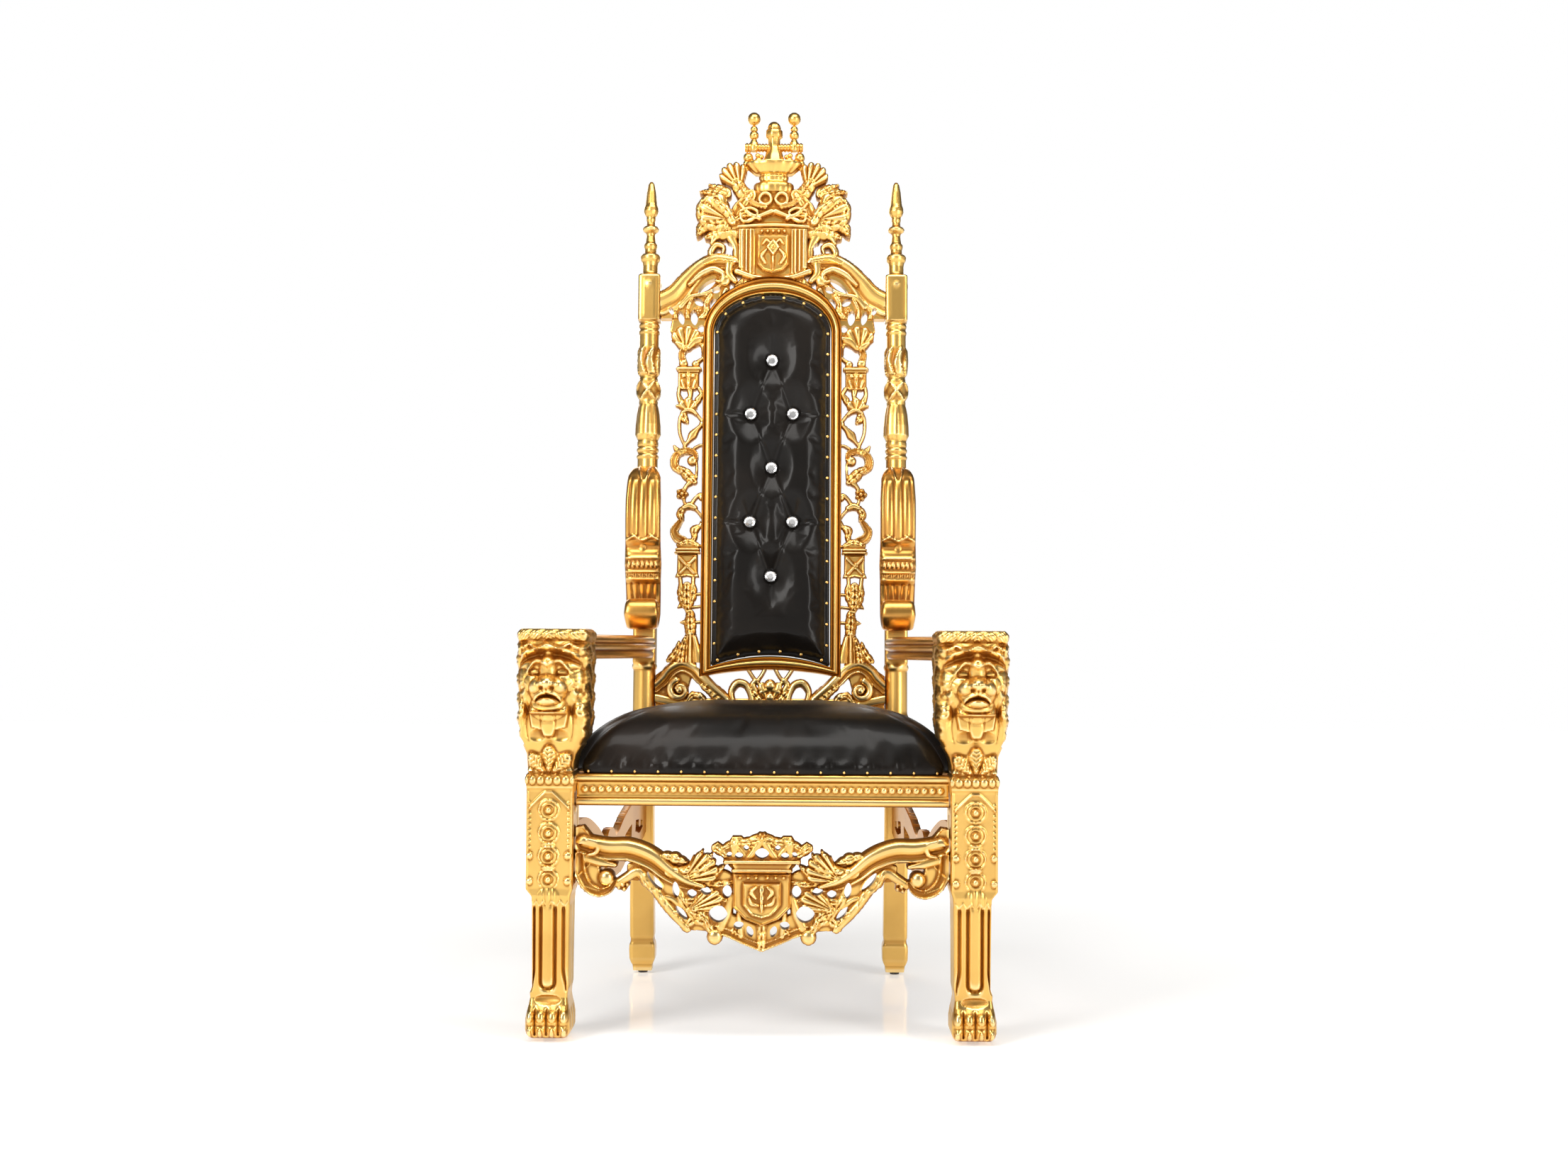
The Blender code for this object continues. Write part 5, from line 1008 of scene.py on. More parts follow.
# %% Fretwork strips
def strip_strokes():
    """The right-hand strip. across is drawn from the strip's middle, away from the panel."""
    middle = ARCH_HALF + MOULDING + 0.0275

    def at(*points):
        return [(middle + x, up(z)) for x, z in points]

    return [
        # Palmette, tied to the panel's moulding
        Plate(at((-0.0382, 1.3801), (-0.0382, 1.3199), (-0.0338, 1.2955), (-0.0247, 1.2947),
            (-0.0219, 1.3199), (-0.0114, 1.3297), (0.0016, 1.324), (0.0098, 1.3142), (0.0171, 1.3159),
            (0.0301, 1.324), (0.0366, 1.337), (0.0436, 1.3541), (0.0398, 1.3801)), 0.002),
        Fan(at((0.0106, 1.3126))[0], 97, 0.052, 58, 5, 0.008, 0.002),
        Band(at((0.0106, 1.3151), (0.0211, 1.3224), (0.0309, 1.3281)), (0.006, 0.008, 0.003), "round", 0.007,
            0.002),
        Band(at((0.0049, 1.3167), (-0.0114, 1.3337), (-0.026, 1.3378)), (0.007, 0.009, 0.005), "round", 0.007,
            0.002),
        Band(at((-0.0338, 1.3589), (-0.0322, 1.3281), (-0.0293, 1.2972)), (0.0065, 0.0065, 0.005), "round",
            0.006, 0.001),
        Knob(at((0.0106, 1.3159))[0], 0.0085, 0.006, 0.006, 5),
        # Stem beside an oval eye
        Band(at((0.0122, 1.3167), (0.0182, 1.3037), (0.0154, 1.2874)), (0.0075, 0.0075, 0.0085), "rims",
            0.007),
        Band(at((-0.0293, 1.2996), (-0.0236, 1.2931), (-0.0138, 1.2858)), (0.0032, 0.0036, 0.005), "round",
            0.005),
        # Upper shield
        Knob(at((-0.0117, 1.2817))[0], 0.0085, 0.006, 0.002),
        Knob(at((0.0146, 1.2829))[0], 0.0095, 0.006, 0.002),
        Plate(at((-0.0203, 1.2777), (0.026, 1.2777), (0.028, 1.2708), (0.0247, 1.2622), (-0.0192, 1.2622),
            (-0.0228, 1.2708)), 0.009),
        Band(at((-0.0208, 1.2708), (0.026, 1.2708)), (0.004,), "round", 0.004, 0.009),
        Plate(at((-0.0195, 1.2634), (0.0254, 1.2634), (0.0254, 1.2305), (0.0154, 1.2253), (-0.0106, 1.2253),
            (-0.0195, 1.2318)), 0.0045, 0.0025),
        Knob(at((-0.0062, 1.2565))[0], 0.0056, 0.005, 0.004),
        Knob(at((0.0133, 1.2565))[0], 0.0056, 0.005, 0.004),
        Band(at((0.0033, 1.2598), (0.0033, 1.2305)), (0.007, 0.005), "round", 0.006, 0.004, 2),
        Band(at((-0.0106, 1.2451), (-0.0065, 1.2321)), (0.0045, 0.0035), "round", 0.004, 0.004),
        Band(at((0.0171, 1.2451), (0.013, 1.2321)), (0.0045, 0.0035), "round", 0.004, 0.004),
        # Two eyelets over a cup of leaves
        Band(at((-0.0382, 1.2183), (-0.0241, 1.2191)), (0.0042, 0.0045), "round", 0.005),
        Band(at((-0.0192, 1.2297), (-0.0247, 1.2183), (-0.0171, 1.2061)), (0.0045, 0.0045, 0.007), "round",
            0.006),
        Band(at((0, 1.2256), (-0.0003, 1.2126), (0.0049, 1.2013)), (0.007, 0.0045, 0.009), "round", 0.006),
        Band(at((0.0231, 1.2305), (0.0241, 1.2167), (0.0195, 1.2037)), (0.0042, 0.0045, 0.007), "round",
            0.006),
        Fan(at((0.0036, 1.1793))[0], 90, 0.03, 62, 3, 0.008, 0.002),
        Band(at((-0.0049, 1.1899), (-0.0203, 1.2045)), (0.008, 0.004), "round", 0.006),
        Band(at((0.013, 1.1915), (0.0276, 1.1923)), (0.008, 0.003), "round", 0.006),
        # Open loop with a leaf inside
        Band(at((-0.0138, 1.1744), (-0.0065, 1.1809), (0.0049, 1.183), (0.0154, 1.1777)),
            (0.0045, 0.006, 0.006, 0.0045), "round", 0.008),
        Band(at((0.0146, 1.1793), (0.0202, 1.1671), (0.0218, 1.1509), (0.0198, 1.1313), (0.0098, 1.1066)),
            (0.0036, 0.0036, 0.0038, 0.0038, 0.0034), "round", 0.006),
        Band(at((-0.0114, 1.1793), (-0.0195, 1.1684), (-0.0293, 1.1565)), (0.0036, 0.0034, 0.004), "round",
            0.005),
        Knob(at((-0.0283, 1.1544))[0], 0.0078, 0.006, 0.001),
        Band(at((-0.0252, 1.1517), (-0.0154, 1.1414), (-0.0078, 1.1317), (0.0016, 1.1175), (0.0098, 1.1066)),
            (0.004, 0.0055, 0.0095, 0.0045, 0.0034), "round", 0.006),
        Band(at((0.0122, 1.1793), (0.0127, 1.1679), (0.0057, 1.1574)), (0.006, 0.0105, 0.005), "round", 0.007,
            0, 2, 0.2),
        # Foliage scroll and its fat leaf
        Band(at((-0.0382, 1.1077), (-0.0228, 1.1077), (-0.0106, 1.1012)), (0.0032, 0.003, 0.0035), "round",
            0.004),
        Band(at((0.0098, 1.1117), (0.0098, 1.0963)), (0.0036, 0.006), "round", 0.005),
        Band(at((0.0317, 1.1052), (0.026, 1.0971), (0.0171, 1.0922)), (0.003, 0.0065, 0.008), "round", 0.006),
        Band(at((-0.0138, 1.08), (-0.0114, 1.0901), (0.0016, 1.095), (0.0163, 1.0934), (0.0263, 1.0862),
            (0.0312, 1.0743), (0.0301, 1.0638), (0.0195, 1.0537)),
            (0.0055, 0.007, 0.008, 0.008, 0.0085, 0.0095, 0.0095, 0.008), "rims", 0.008),
        Knob(at((-0.0062, 1.0743))[0], 0.0105, 0.007, 0.002),
        Band(at((0.0211, 1.0565), (0.0114, 1.0516), (0, 1.0402), (-0.0114, 1.0296)),
            (0.008, 0.0115, 0.0135, 0.008), "round", 0.009, 0.001, 3, 0.2),
        Band(at((-0.0143, 1.08), (-0.0159, 1.0638), (-0.015, 1.0378)), (0.0028,), "round", 0.004),
        # Blossom on a stalk
        Band(at((-0.0049, 1.0296), (0.0049, 1.0207), (0.0106, 1.0101)), (0.0075, 0.0045, 0.0045), "round",
            0.006),
        Knob(at((0.014, 1.0036))[0], 0.0138, 0.009, 0.002, 5),
        Band(at((0.0106, 0.9922), (0.0085, 0.9849), (0.0041, 0.9768)), (0.0036,), "round", 0.005),
        Knob(at((-0.028, 0.9968))[0], 0.0078, 0.006, 0.001),
        Band(at((-0.0382, 0.9968), (-0.0228, 1.0012), (-0.0143, 0.9947), (-0.0062, 0.9833)),
            (0.0045, 0.005, 0.004, 0.0045), "round", 0.005),
        # Second loop: a bud in it, and a curled leaf beside it
        Band(at((-0.0127, 0.9744), (-0.0016, 0.9784), (0.0101, 0.9744)), (0.0065, 0.0085, 0.0065), "round",
            0.008),
        Band(at((-0.0114, 0.9735), (-0.0211, 0.9643), (-0.0296, 0.95), (-0.0252, 0.9353)),
            (0.0038, 0.0034, 0.0036, 0.005), "round", 0.005),
        Band(at((-0.0228, 0.9345), (-0.0127, 0.9272), (-0.0127, 0.9118), (-0.0089, 0.8996)),
            (0.005, 0.0105, 0.0065, 0.006), "round", 0.007, 0, 2, 0.2),
        Band(at((0.0098, 0.974), (0.0179, 0.9627), (0.014, 0.9492)), (0.0065, 0.0095, 0.006), "round", 0.007,
            0, 2, 0.2),
        Band(at((0.014, 0.9508), (0.0231, 0.937), (0.0296, 0.9248), (0.0231, 0.9101), (0.0098, 0.9036)),
            (0.0045, 0.007, 0.009, 0.0105, 0.01), "rims", 0.008),
        # Lower shield under a domed cap
        Plate(at((-0.0228, 0.8931), (-0.0166, 0.9012), (-0.0065, 0.9048), (0.0122, 0.9048), (0.0198, 0.9009),
            (0.0231, 0.8931), (0.0231, 0.8841), (-0.0228, 0.8841)), 0.006),
        Band(at((-0.0195, 0.8947), (0, 0.9012), (0.0203, 0.8947)), (0.006, 0.009, 0.006), "round", 0.006,
            0.003, 4, 0.2),
        Band(at((-0.0382, 0.8939), (-0.0219, 0.8927)), (0.0032,), "round", 0.004),
        Plate(at((-0.0224, 0.8889), (0.0241, 0.8889), (0.0267, 0.8772), (-0.0241, 0.8772)), 0.009),
        Band(at((-0.0219, 0.8853), (0.0236, 0.8853)), (0.0034,), "round", 0.004, 0.009),
        Band(at((-0.0231, 0.8788), (0.0257, 0.8788)), (0.003,), "round", 0.004, 0.009),
        Plate(at((-0.0205, 0.8762), (0.0224, 0.8762), (0.0228, 0.8369), (0.027, 0.8271), (0.0146, 0.8258),
            (0.0016, 0.8284), (-0.0114, 0.8258), (-0.0241, 0.8271), (-0.0208, 0.8369)), 0.0045, 0.0022),
        Band(at((-0.0154, 0.8678), (0.0163, 0.8353)), (0.0042,), "round", 0.004, 0.0045),
        Band(at((0.0182, 0.8678), (-0.0127, 0.8353)), (0.0042,), "round", 0.004, 0.0045),
        Knob(at((0.0013, 0.8512))[0], 0.009, 0.006, 0.005, 5),
        # Leaf drop
        Band(at((-0.0117, 0.8287), (-0.0111, 0.8174), (-0.0114, 0.8011)), (0.0045, 0.0042, 0.009), "round",
            0.006),
        Band(at((0.0166, 0.8287), (0.015, 0.8157), (0.014, 0.7979)), (0.0045, 0.0045, 0.008), "round", 0.006),
        Plate(at((-0.0176, 0.8092), (-0.0073, 0.8068), (-0.0024, 0.8109), (0.0081, 0.8052), (0.0198, 0.8027),
            (0.0176, 0.7914), (0.0205, 0.7808), (0.0166, 0.7743), (0.0218, 0.7613), (0.0081, 0.7629),
            (0, 0.7569), (-0.0073, 0.7613), (-0.0127, 0.7751), (-0.0192, 0.7897)), 0.002),
        Band(at((0.0013, 0.8092), (0.0016, 0.7849), (-0.001, 0.7572)), (0.01, 0.014, 0.007), "round", 0.01,
            0.002, 4, 0.15),
        Band(at((-0.0122, 0.8044), (-0.0106, 0.7881), (-0.0041, 0.7637)), (0.008, 0.009, 0.005), "round",
            0.008, 0.001, 3),
        Band(at((0.0154, 0.7995), (0.0122, 0.7832), (0.0049, 0.7621)), (0.008, 0.009, 0.005), "round", 0.008,
            0.001, 3),
        Band(at((-0.0382, 0.793), (-0.0163, 0.791)), (0.0032,), "round", 0.004),
        Band(at((-0.0382, 0.767), (-0.0081, 0.7634)), (0.0032,), "round", 0.004),
        Band(at((-0.0008, 0.7605), (-0.0024, 0.7491), (-0.0062, 0.7418)), (0.006, 0.005, 0.008), "round",
            0.006),
        Band(at((-0.0065, 0.7523), (-0.0062, 0.7312), (-0.0073, 0.706)), (0.009, 0.0135, 0.011), "round",
            0.01, 0.001, 4, 0.2),
        Band(at((-0.0382, 0.7336), (-0.0195, 0.7325)), (0.0034,), "round", 0.004),
        Band(at((0, 0.7325), (0.0133, 0.7319)), (0.008, 0.002), "round", 0.005),
        # Acanthus base
        Plate(at((-0.0195, 0.7084), (0.0033, 0.7084), (0.0127, 0.6865), (0.0171, 0.6914), (0.0218, 0.6727),
            (0.0374, 0.6548), (0.0393, 0.6459), (-0.0387, 0.6459), (-0.0387, 0.693), (-0.0293, 0.693),
            (-0.0236, 0.6837), (-0.0203, 0.6971)), 0.001),
        Band(at((-0.0073, 0.7084), (-0.0068, 0.6776), (-0.0065, 0.6459)), (0.0075, 0.0095, 0.011), "reeds",
            0.01, 0.001),
        Band(at((-0.0154, 0.7003), (-0.0203, 0.6727), (-0.0236, 0.6459)), (0.006, 0.009, 0.01), "round",
            0.009, 0.001),
        Band(at((0.0024, 0.6987), (0.0106, 0.6727), (0.0146, 0.6459)), (0.006, 0.01, 0.011), "round", 0.009,
            0.001, 4, 0.2),
        Band(at((0.0163, 0.6914), (0.0224, 0.6702), (0.0358, 0.6524)), (0.003, 0.009, 0.009), "round", 0.008,
            0, 3, 0.2),
        Band(at((-0.0338, 0.693), (-0.0338, 0.6694), (-0.0338, 0.6459)), (0.006, 0.007, 0.008), "round",
            0.007),
    ]


STRIP_HOLES = ((0.152, 1.359, 0.008, 0.008, 0), (0.1676, 1.382, 0.016, 0.0078, 82),
    (0.195, 1.3815, 0.0145, 0.0064, 75))


def strip_ends(x, z):
    """Between the crest rail and the lower rail."""
    return np.minimum(z - up(0.6477), up(1.3793) - z)


right_strip = strip_strokes()
for word, side in (("right", 1), ("left", -1)):
    strokes = right_strip if side > 0 else [s.mirrored() for s in right_strip]
    edges = sorted((side * 0.1455, side * 0.2165))
    strip = relief_board(
        f"carved_fretwork_{word}", strokes, on_back, 0.006, 0.008,
        (edges[0], up(0.644)), (edges[1], up(1.384)), 0.00115,
        (clear_of_moulding, strip_ends, pierced(STRIP_HOLES, up)),
    )
    settle(strip, f"fretwork_{word}")

# %% [markdown]
# ## Lower rail of the back
#
# Two S-scrolls roll up to the posts, with tracery and a small crown of leaves under the sill.


# %% Lower rail
def lower_half():
    volute = spiral((0.189, 0.5905), (0.0215, 0.007), (70, -330), 15)
    return [
        Plate(drawn((0.2392, 0.6215), (0.222, 0.634), (0.205, 0.648), (0.16, 0.65), (0.15, 0.634),
            (0.166, 0.612),
                    (0.172, 0.59), (0.18, 0.572), (0.2392, 0.572)), 0.003),
        Band(
            drawn((0.2392, 0.596), (0.222, 0.612), (0.208, 0.63), (0.186, 0.641), (0.162, 0.634),
                (0.142, 0.614),
                  (0.122, 0.594), (0.094, 0.57)),
            (0.012, 0.014, 0.0145, 0.014, 0.0145, 0.0145, 0.014, 0.013), "moulding", 0.013, 0.003,
        ),
        Band(drawn(*volute), (0.0085, 0.008, 0.0065, 0.005), "round", 0.01, 0.006),
        Knob(drawn((0.1885, 0.5905))[0], 0.0085, 0.009, 0.01),
        Band(drawn((0.2392, 0.574), (0.212, 0.568), (0.188, 0.562)), (0.01,), "round", 0.008, 0.003),
        Band(drawn((0.172, 0.566), (0.16, 0.58), (0.146, 0.577), (0.136, 0.566)), (0.008, 0.01, 0.009, 0.008),
            "round", 0.009, 0.002, 3),
        Band(drawn((0.138, 0.6), (0.116, 0.588), (0.092, 0.566)), (0.009, 0.016, 0.016), "round", 0.01, 0.004,
            5, 0.2),
        Knob(drawn((0.146, 0.578))[0], 0.008, 0.007, 0.005),
        # Tracery under the sill
        Band(drawn((0.076, 0.562), (0.08, 0.59), (0.066, 0.606), (0.051, 0.602), (0.042, 0.586),
            (0.036, 0.566)),
             (0.006, 0.0065, 0.009, 0.0085, 0.0065, 0.0065), "round", 0.009, 0.001),
        Band(drawn((0.048, 0.596), (0.034, 0.584), (0.02, 0.568)), (0.006, 0.01, 0.009), "round", 0.009,
            0.001, 3, 0.2),
        Band(drawn((0.03, 0.59), (0.036, 0.604), (0.03, 0.612)), (0.006, 0.007, 0.004), "round", 0.007,
            0.001),
        Band(drawn((0.05, 0.64), (0.03, 0.611), (0.01, 0.592)), (0.0042,), "round", 0.006, 0.001),
        Band(drawn((0.006, 0.644), (0.022, 0.616), (0.04, 0.598)), (0.0042,), "round", 0.006, 0.001),
        Knob(drawn((0.0262, 0.611))[0], 0.0065, 0.006, 0.003, 5),
        Band(drawn((0.004, 0.592), (0.02, 0.586)), (0.008, 0.004), "round", 0.008, 0.002),
    ]


LOWER_HOLES = ((0.156, 0.5965, 0.014, 0.009, 30), (0.1455, 0.643, 0.01, 0.008, 0))
lower_middle = [
    Fan(drawn((0.0, 0.562))[0], 90, 0.052, 42, 3, 0.01, 0.002),
    Knob(drawn((0.0, 0.6))[0], 0.0125, 0.01, 0.003),
    Knob(drawn((0.0, 0.576))[0], 0.01, 0.008, 0.006),
    Plate(drawn((-0.2392, 0.545), (0.2392, 0.545), (0.2392, 0.572), (-0.2392, 0.572)), 0.002),
    Band(drawn((-0.236, 0.568), (0.236, 0.568)), (0.0055,), "round", 0.005, 0.002),
    Band(drawn((-0.236, 0.551), (0.236, 0.551)), (0.0045,), "round", 0.004, 0.002),
]


def lower_ends(x, z):
    """Between the posts and under the strips."""
    return np.minimum(crest_half_width - np.abs(x), up(0.6471) - z)


lower = relief_board(
    "carved_lower_rail", both_sides(lower_half()) + lower_middle, on_back, 0.008, 0.013,
    (-0.243, up(0.5442)), (0.243, up(0.652)), 0.0014,
    (clear_of_moulding, lower_ends, pierced(LOWER_HOLES, up)),
)
settle(lower, "lower_rail")

# %% [markdown]
# ## Front apron
#
# A pierced and scrolled board hangs between the front legs: bold arms sweep in from a ball
# volute at each leg, acanthus leaves lie over them, and a shield under a crown holds the middle.


# %% Front apron
def apron_half():
    return [
        Plate([(0.3262, 0.345), (0.3262, 0.284), (0.312, 0.262), (0.286, 0.252), (0.262, 0.262),
            (0.28, 0.284), (0.284, 0.3),
               (0.29, 0.322)], 0.006, 0.002),
        Plate([(0.298, 0.3), (0.3262, 0.272), (0.3262, 0.367), (0.312, 0.369), (0.298, 0.352)], 0.006, 0.002),
        Band([(0.318, 0.316), (0.316, 0.284), (0.302, 0.261), (0.283, 0.253), (0.264, 0.26), (0.256, 0.272)],
             (0.01, 0.012, 0.011, 0.01, 0.008, 0.004), "rims", 0.01, 0.003),
        Knob((0.2716, 0.2776), 0.0145, 0.014, 0.003),
        Knob((0.243, 0.266), 0.0125, 0.009, 0.002, 5),
        # Bold arm with a bright moulding
        Band([(0.312, 0.336), (0.27, 0.327), (0.232, 0.326), (0.192, 0.311), (0.162, 0.288), (0.13, 0.27),
            (0.104, 0.263)],
             (0.018, 0.02, 0.0205, 0.02, 0.018, 0.014, 0.008), "moulding", 0.015, 0.002),
        Band([(0.306, 0.312), (0.278, 0.304), (0.256, 0.3)], (0.01, 0.009, 0.004), "round", 0.01, 0.002),
        Band([(0.304, 0.344), (0.286, 0.336), (0.29, 0.322), (0.304, 0.318)], (0.005, 0.006, 0.005, 0.003),
            "round", 0.007, 0.01),
        # Ground that the tracery is pierced from, and that of the crown
        Plate([(0.236, 0.3), (0.212, 0.312), (0.188, 0.322), (0.16, 0.318), (0.138, 0.304), (0.118, 0.3),
            (0.08, 0.296),
               (0.06, 0.29), (0.05, 0.284), (0.05, 0.215), (0.0, 0.195), (0.0, 0.1575), (0.03, 0.167),
               (0.058, 0.185),
               (0.095, 0.186), (0.132, 0.188), (0.146, 0.199), (0.166, 0.222), (0.19, 0.248), (0.208, 0.272),
               (0.236, 0.274)], 0.003),
        Plate([(0.0, 0.358), (0.018, 0.352), (0.03, 0.344), (0.036, 0.351), (0.052, 0.351), (0.058, 0.341),
            (0.068, 0.334),
               (0.078, 0.341), (0.089, 0.334), (0.085, 0.327), (0.068, 0.318), (0.054, 0.306), (0.0, 0.306)],
               0.004),
        # Lower rib with leaves, down to the balled scroll
        Band([(0.252, 0.268), (0.238, 0.277), (0.218, 0.288), (0.2, 0.274), (0.168, 0.232), (0.13, 0.19)],
             (0.008, 0.009, 0.01, 0.009, 0.009, 0.007), "round", 0.008, 0.001),
        Band([(0.214, 0.292), (0.202, 0.27), (0.188, 0.252)], (0.006, 0.009, 0.003), "round", 0.007, 0.004,
            3),
        Band([(0.192, 0.266), (0.176, 0.246), (0.164, 0.224)], (0.006, 0.008, 0.003), "round", 0.007, 0.004,
            3),
        Band([(0.16, 0.222), (0.142, 0.212), (0.126, 0.188)], (0.005, 0.009, 0.004), "round", 0.008, 0.003,
            3),
        Band([(0.134, 0.192), (0.118, 0.206), (0.1, 0.202), (0.086, 0.184)], (0.008, 0.011, 0.01, 0.008),
            "round", 0.009, 0.001, 3, 0.2),
        Knob((0.0817, 0.1765), 0.014, 0.011, 0.002),
        # Tracery inside
        Band([(0.196, 0.3), (0.186, 0.282), (0.176, 0.262)], (0.006, 0.005, 0.006), "round", 0.007),
        Band([(0.152, 0.282), (0.142, 0.244), (0.116, 0.206)], (0.008, 0.009, 0.008), "round", 0.008, 0.001,
            3, 0.2),
        Band([(0.138, 0.238), (0.112, 0.24), (0.088, 0.252), (0.064, 0.24)], (0.008, 0.01, 0.009, 0.005),
            "round", 0.009, 0.001, 4),
        Band([(0.172, 0.246), (0.158, 0.242), (0.142, 0.23)], (0.005, 0.006, 0.007), "round", 0.007),
        Band([(0.105, 0.268), (0.098, 0.246)], (0.006, 0.007), "round", 0.007),
        Band([(0.128, 0.222), (0.104, 0.214), (0.092, 0.196)], (0.007, 0.01, 0.006), "round", 0.009, 0.002,
            3),
        Knob((0.112, 0.226), 0.0095, 0.007, 0.004, 5),
        Knob((0.15, 0.262), 0.007, 0.006, 0.004, 5),
        # Leaf over the end of the arm
        Band([(0.162, 0.29), (0.128, 0.286), (0.1, 0.296), (0.088, 0.32)], (0.012, 0.015, 0.012, 0.003),
            "round", 0.011, 0.006, 5, 0.22),
        Band([(0.134, 0.292), (0.116, 0.302), (0.104, 0.326)], (0.01, 0.01, 0.003), "round", 0.01, 0.004, 3),
        Band([(0.118, 0.282), (0.09, 0.282), (0.066, 0.3)], (0.01, 0.011, 0.003), "round", 0.009, 0.003, 4),
        Band([(0.104, 0.272), (0.078, 0.268), (0.05, 0.272)], (0.009, 0.008, 0.005), "round", 0.008, 0.001,
            3),
        Band([(0.172, 0.318), (0.15, 0.312), (0.13, 0.306)], (0.006, 0.01, 0.003), "round", 0.006, 0.01, 3),
        Fan((0.137, 0.274), 148, 0.066, 34, 5, 0.011, 0.008),
        Fan((0.128, 0.222), 154, 0.064, 24, 4, 0.009, 0.006),
        # Brackets and tracery round the shield's point
        Band([(0.052, 0.245), (0.062, 0.215), (0.072, 0.192)], (0.008, 0.009, 0.009), "round", 0.008),
        Band([(0.084, 0.19), (0.06, 0.184), (0.03, 0.17), (0.0, 0.158)], (0.008, 0.008, 0.007, 0.007), "rims",
            0.008),
        Band([(0.04, 0.218), (0.038, 0.198), (0.036, 0.178)], (0.005, 0.0055, 0.006), "round", 0.007),
        Knob((0.046, 0.186), 0.008, 0.007, 0.003, 5),
        # Crown over the shield
        Band([(0.028, 0.305), (0.014, 0.326), (0.0, 0.346)], (0.008, 0.007, 0.009), "round", 0.008),
        Band([(0.05, 0.306), (0.0485, 0.322), (0.0476, 0.336)], (0.008, 0.006, 0.01), "round", 0.008),
        Band([(0.048, 0.3), (0.064, 0.318), (0.082, 0.33)], (0.008, 0.007, 0.009), "round", 0.008, 0.0, 3,
            0.2),
        Band([(0.026, 0.31), (0.034, 0.32), (0.042, 0.33)], (0.006,), "round", 0.006),
        Band([(0.0, 0.346), (0.024, 0.341), (0.048, 0.339), (0.07, 0.328)], (0.009, 0.008, 0.008, 0.006),
            "round", 0.008, 0.0, 4, 0.2),
        Knob((0.0476, 0.338), 0.011, 0.008, 0.002, 5),
        Knob((0.0235, 0.333), 0.008, 0.007, 0.003, 5),
        # Shield details
        Knob((0.01, 0.28), 0.0035, 0.004, 0.01),
        Knob((0.024, 0.28), 0.0035, 0.004, 0.01),
        Knob((0.038, 0.28), 0.0035, 0.004, 0.01),
        Band([(0.01, 0.244), (0.018, 0.256), (0.01, 0.264)], (0.003, 0.005, 0.003), "round", 0.004, 0.0135),
        Band([(0.006, 0.232), (0.018, 0.236), (0.022, 0.246)], (0.003, 0.0045, 0.003), "round", 0.004,
            0.0135),
    ]


apron_middle = [
    Knob((0.0, 0.3475), 0.012, 0.01, 0.002, 6),
    Plate([(-0.043, 0.2865), (0.043, 0.2865), (0.0575, 0.3095), (-0.0575, 0.3095)], 0.013),
    Band([(-0.064, 0.3075), (0.064, 0.3075)], (0.0042,), "round", 0.005, 0.013),
    Band([(-0.05, 0.2925), (0.05, 0.2925)], (0.0036,), "round", 0.004, 0.013),
    Plate([(-0.051, 0.288), (0.051, 0.288), (0.051, 0.228), (0.03, 0.207), (0.0, 0.195), (-0.03, 0.207),
        (-0.051, 0.228)], 0.008, 0.004),
    Plate([(-0.034, 0.272), (0.034, 0.272), (0.034, 0.232), (0.018, 0.214), (0.0, 0.209), (-0.018, 0.214),
        (-0.034, 0.232)], 0.0125, 0.003),
    Band([(0.0, 0.264), (0.0, 0.222)], (0.006, 0.004), "round", 0.006, 0.0125, 3),
    Band([(0.0, 0.202), (0.0, 0.18), (0.0, 0.158)], (0.01, 0.009, 0.009), "round", 0.008, 0.001, 3, 0.2),
]


def on_apron(across, forward, height):
    """The apron faces the front, a little behind the leg's centre plane."""
    return np.stack(np.broadcast_arrays(across, LEG_Y + 0.004 - forward, height), -1)


def apron_ends(x, z):
    return 0.3252 - np.abs(x)


APRON_HOLES = (
    (0.187, 0.273, 0.02, 0.0058, 50), (0.15, 0.258, 0.014, 0.0065, 84), (0.122, 0.2515, 0.0085, 0.008, 0),
    (0.097, 0.2565, 0.01, 0.0062, 10), (0.0605, 0.255, 0.0115, 0.0085, 90), (0.076, 0.2165, 0.0165, 0.015, 0),
    (0.14, 0.2184, 0.015, 0.0054, 50), (0.0402, 0.197, 0.009, 0.007, -10), (0.0205, 0.186, 0.01, 0.0062, 70),
    (0.0402, 0.318, 0.0075, 0.0055, 0), (0.0275, 0.3315, 0.005, 0.0048, 0),
    (0.0571, 0.3198, 0.0055, 0.0042, -30),
    (0.0, 0.3215, 0.0125, 0.0095, 0),
)


apron = relief_board(
    "carved_front_apron", both_sides(apron_half()) + apron_middle, on_apron, 0.006, 0.014,
    (-0.33, 0.145), (0.33, 0.374), 0.00145, (apron_ends, pierced(APRON_HOLES, float)),
)
settle(apron, "front_apron")

# %% [markdown]
# ## Front legs
#
# Each front leg is carved from one post: a lion's head under the arm, an acanthus palmette, a
# collar of beads, a panel of rosettes, a reeded shaft and a paw. A sculptor would model this by hand.
# Here the post is a stack of rings, and the carving is a height over (across, height) that pushes
# every ring point outwards. The lion is a sum of domes and grooves.


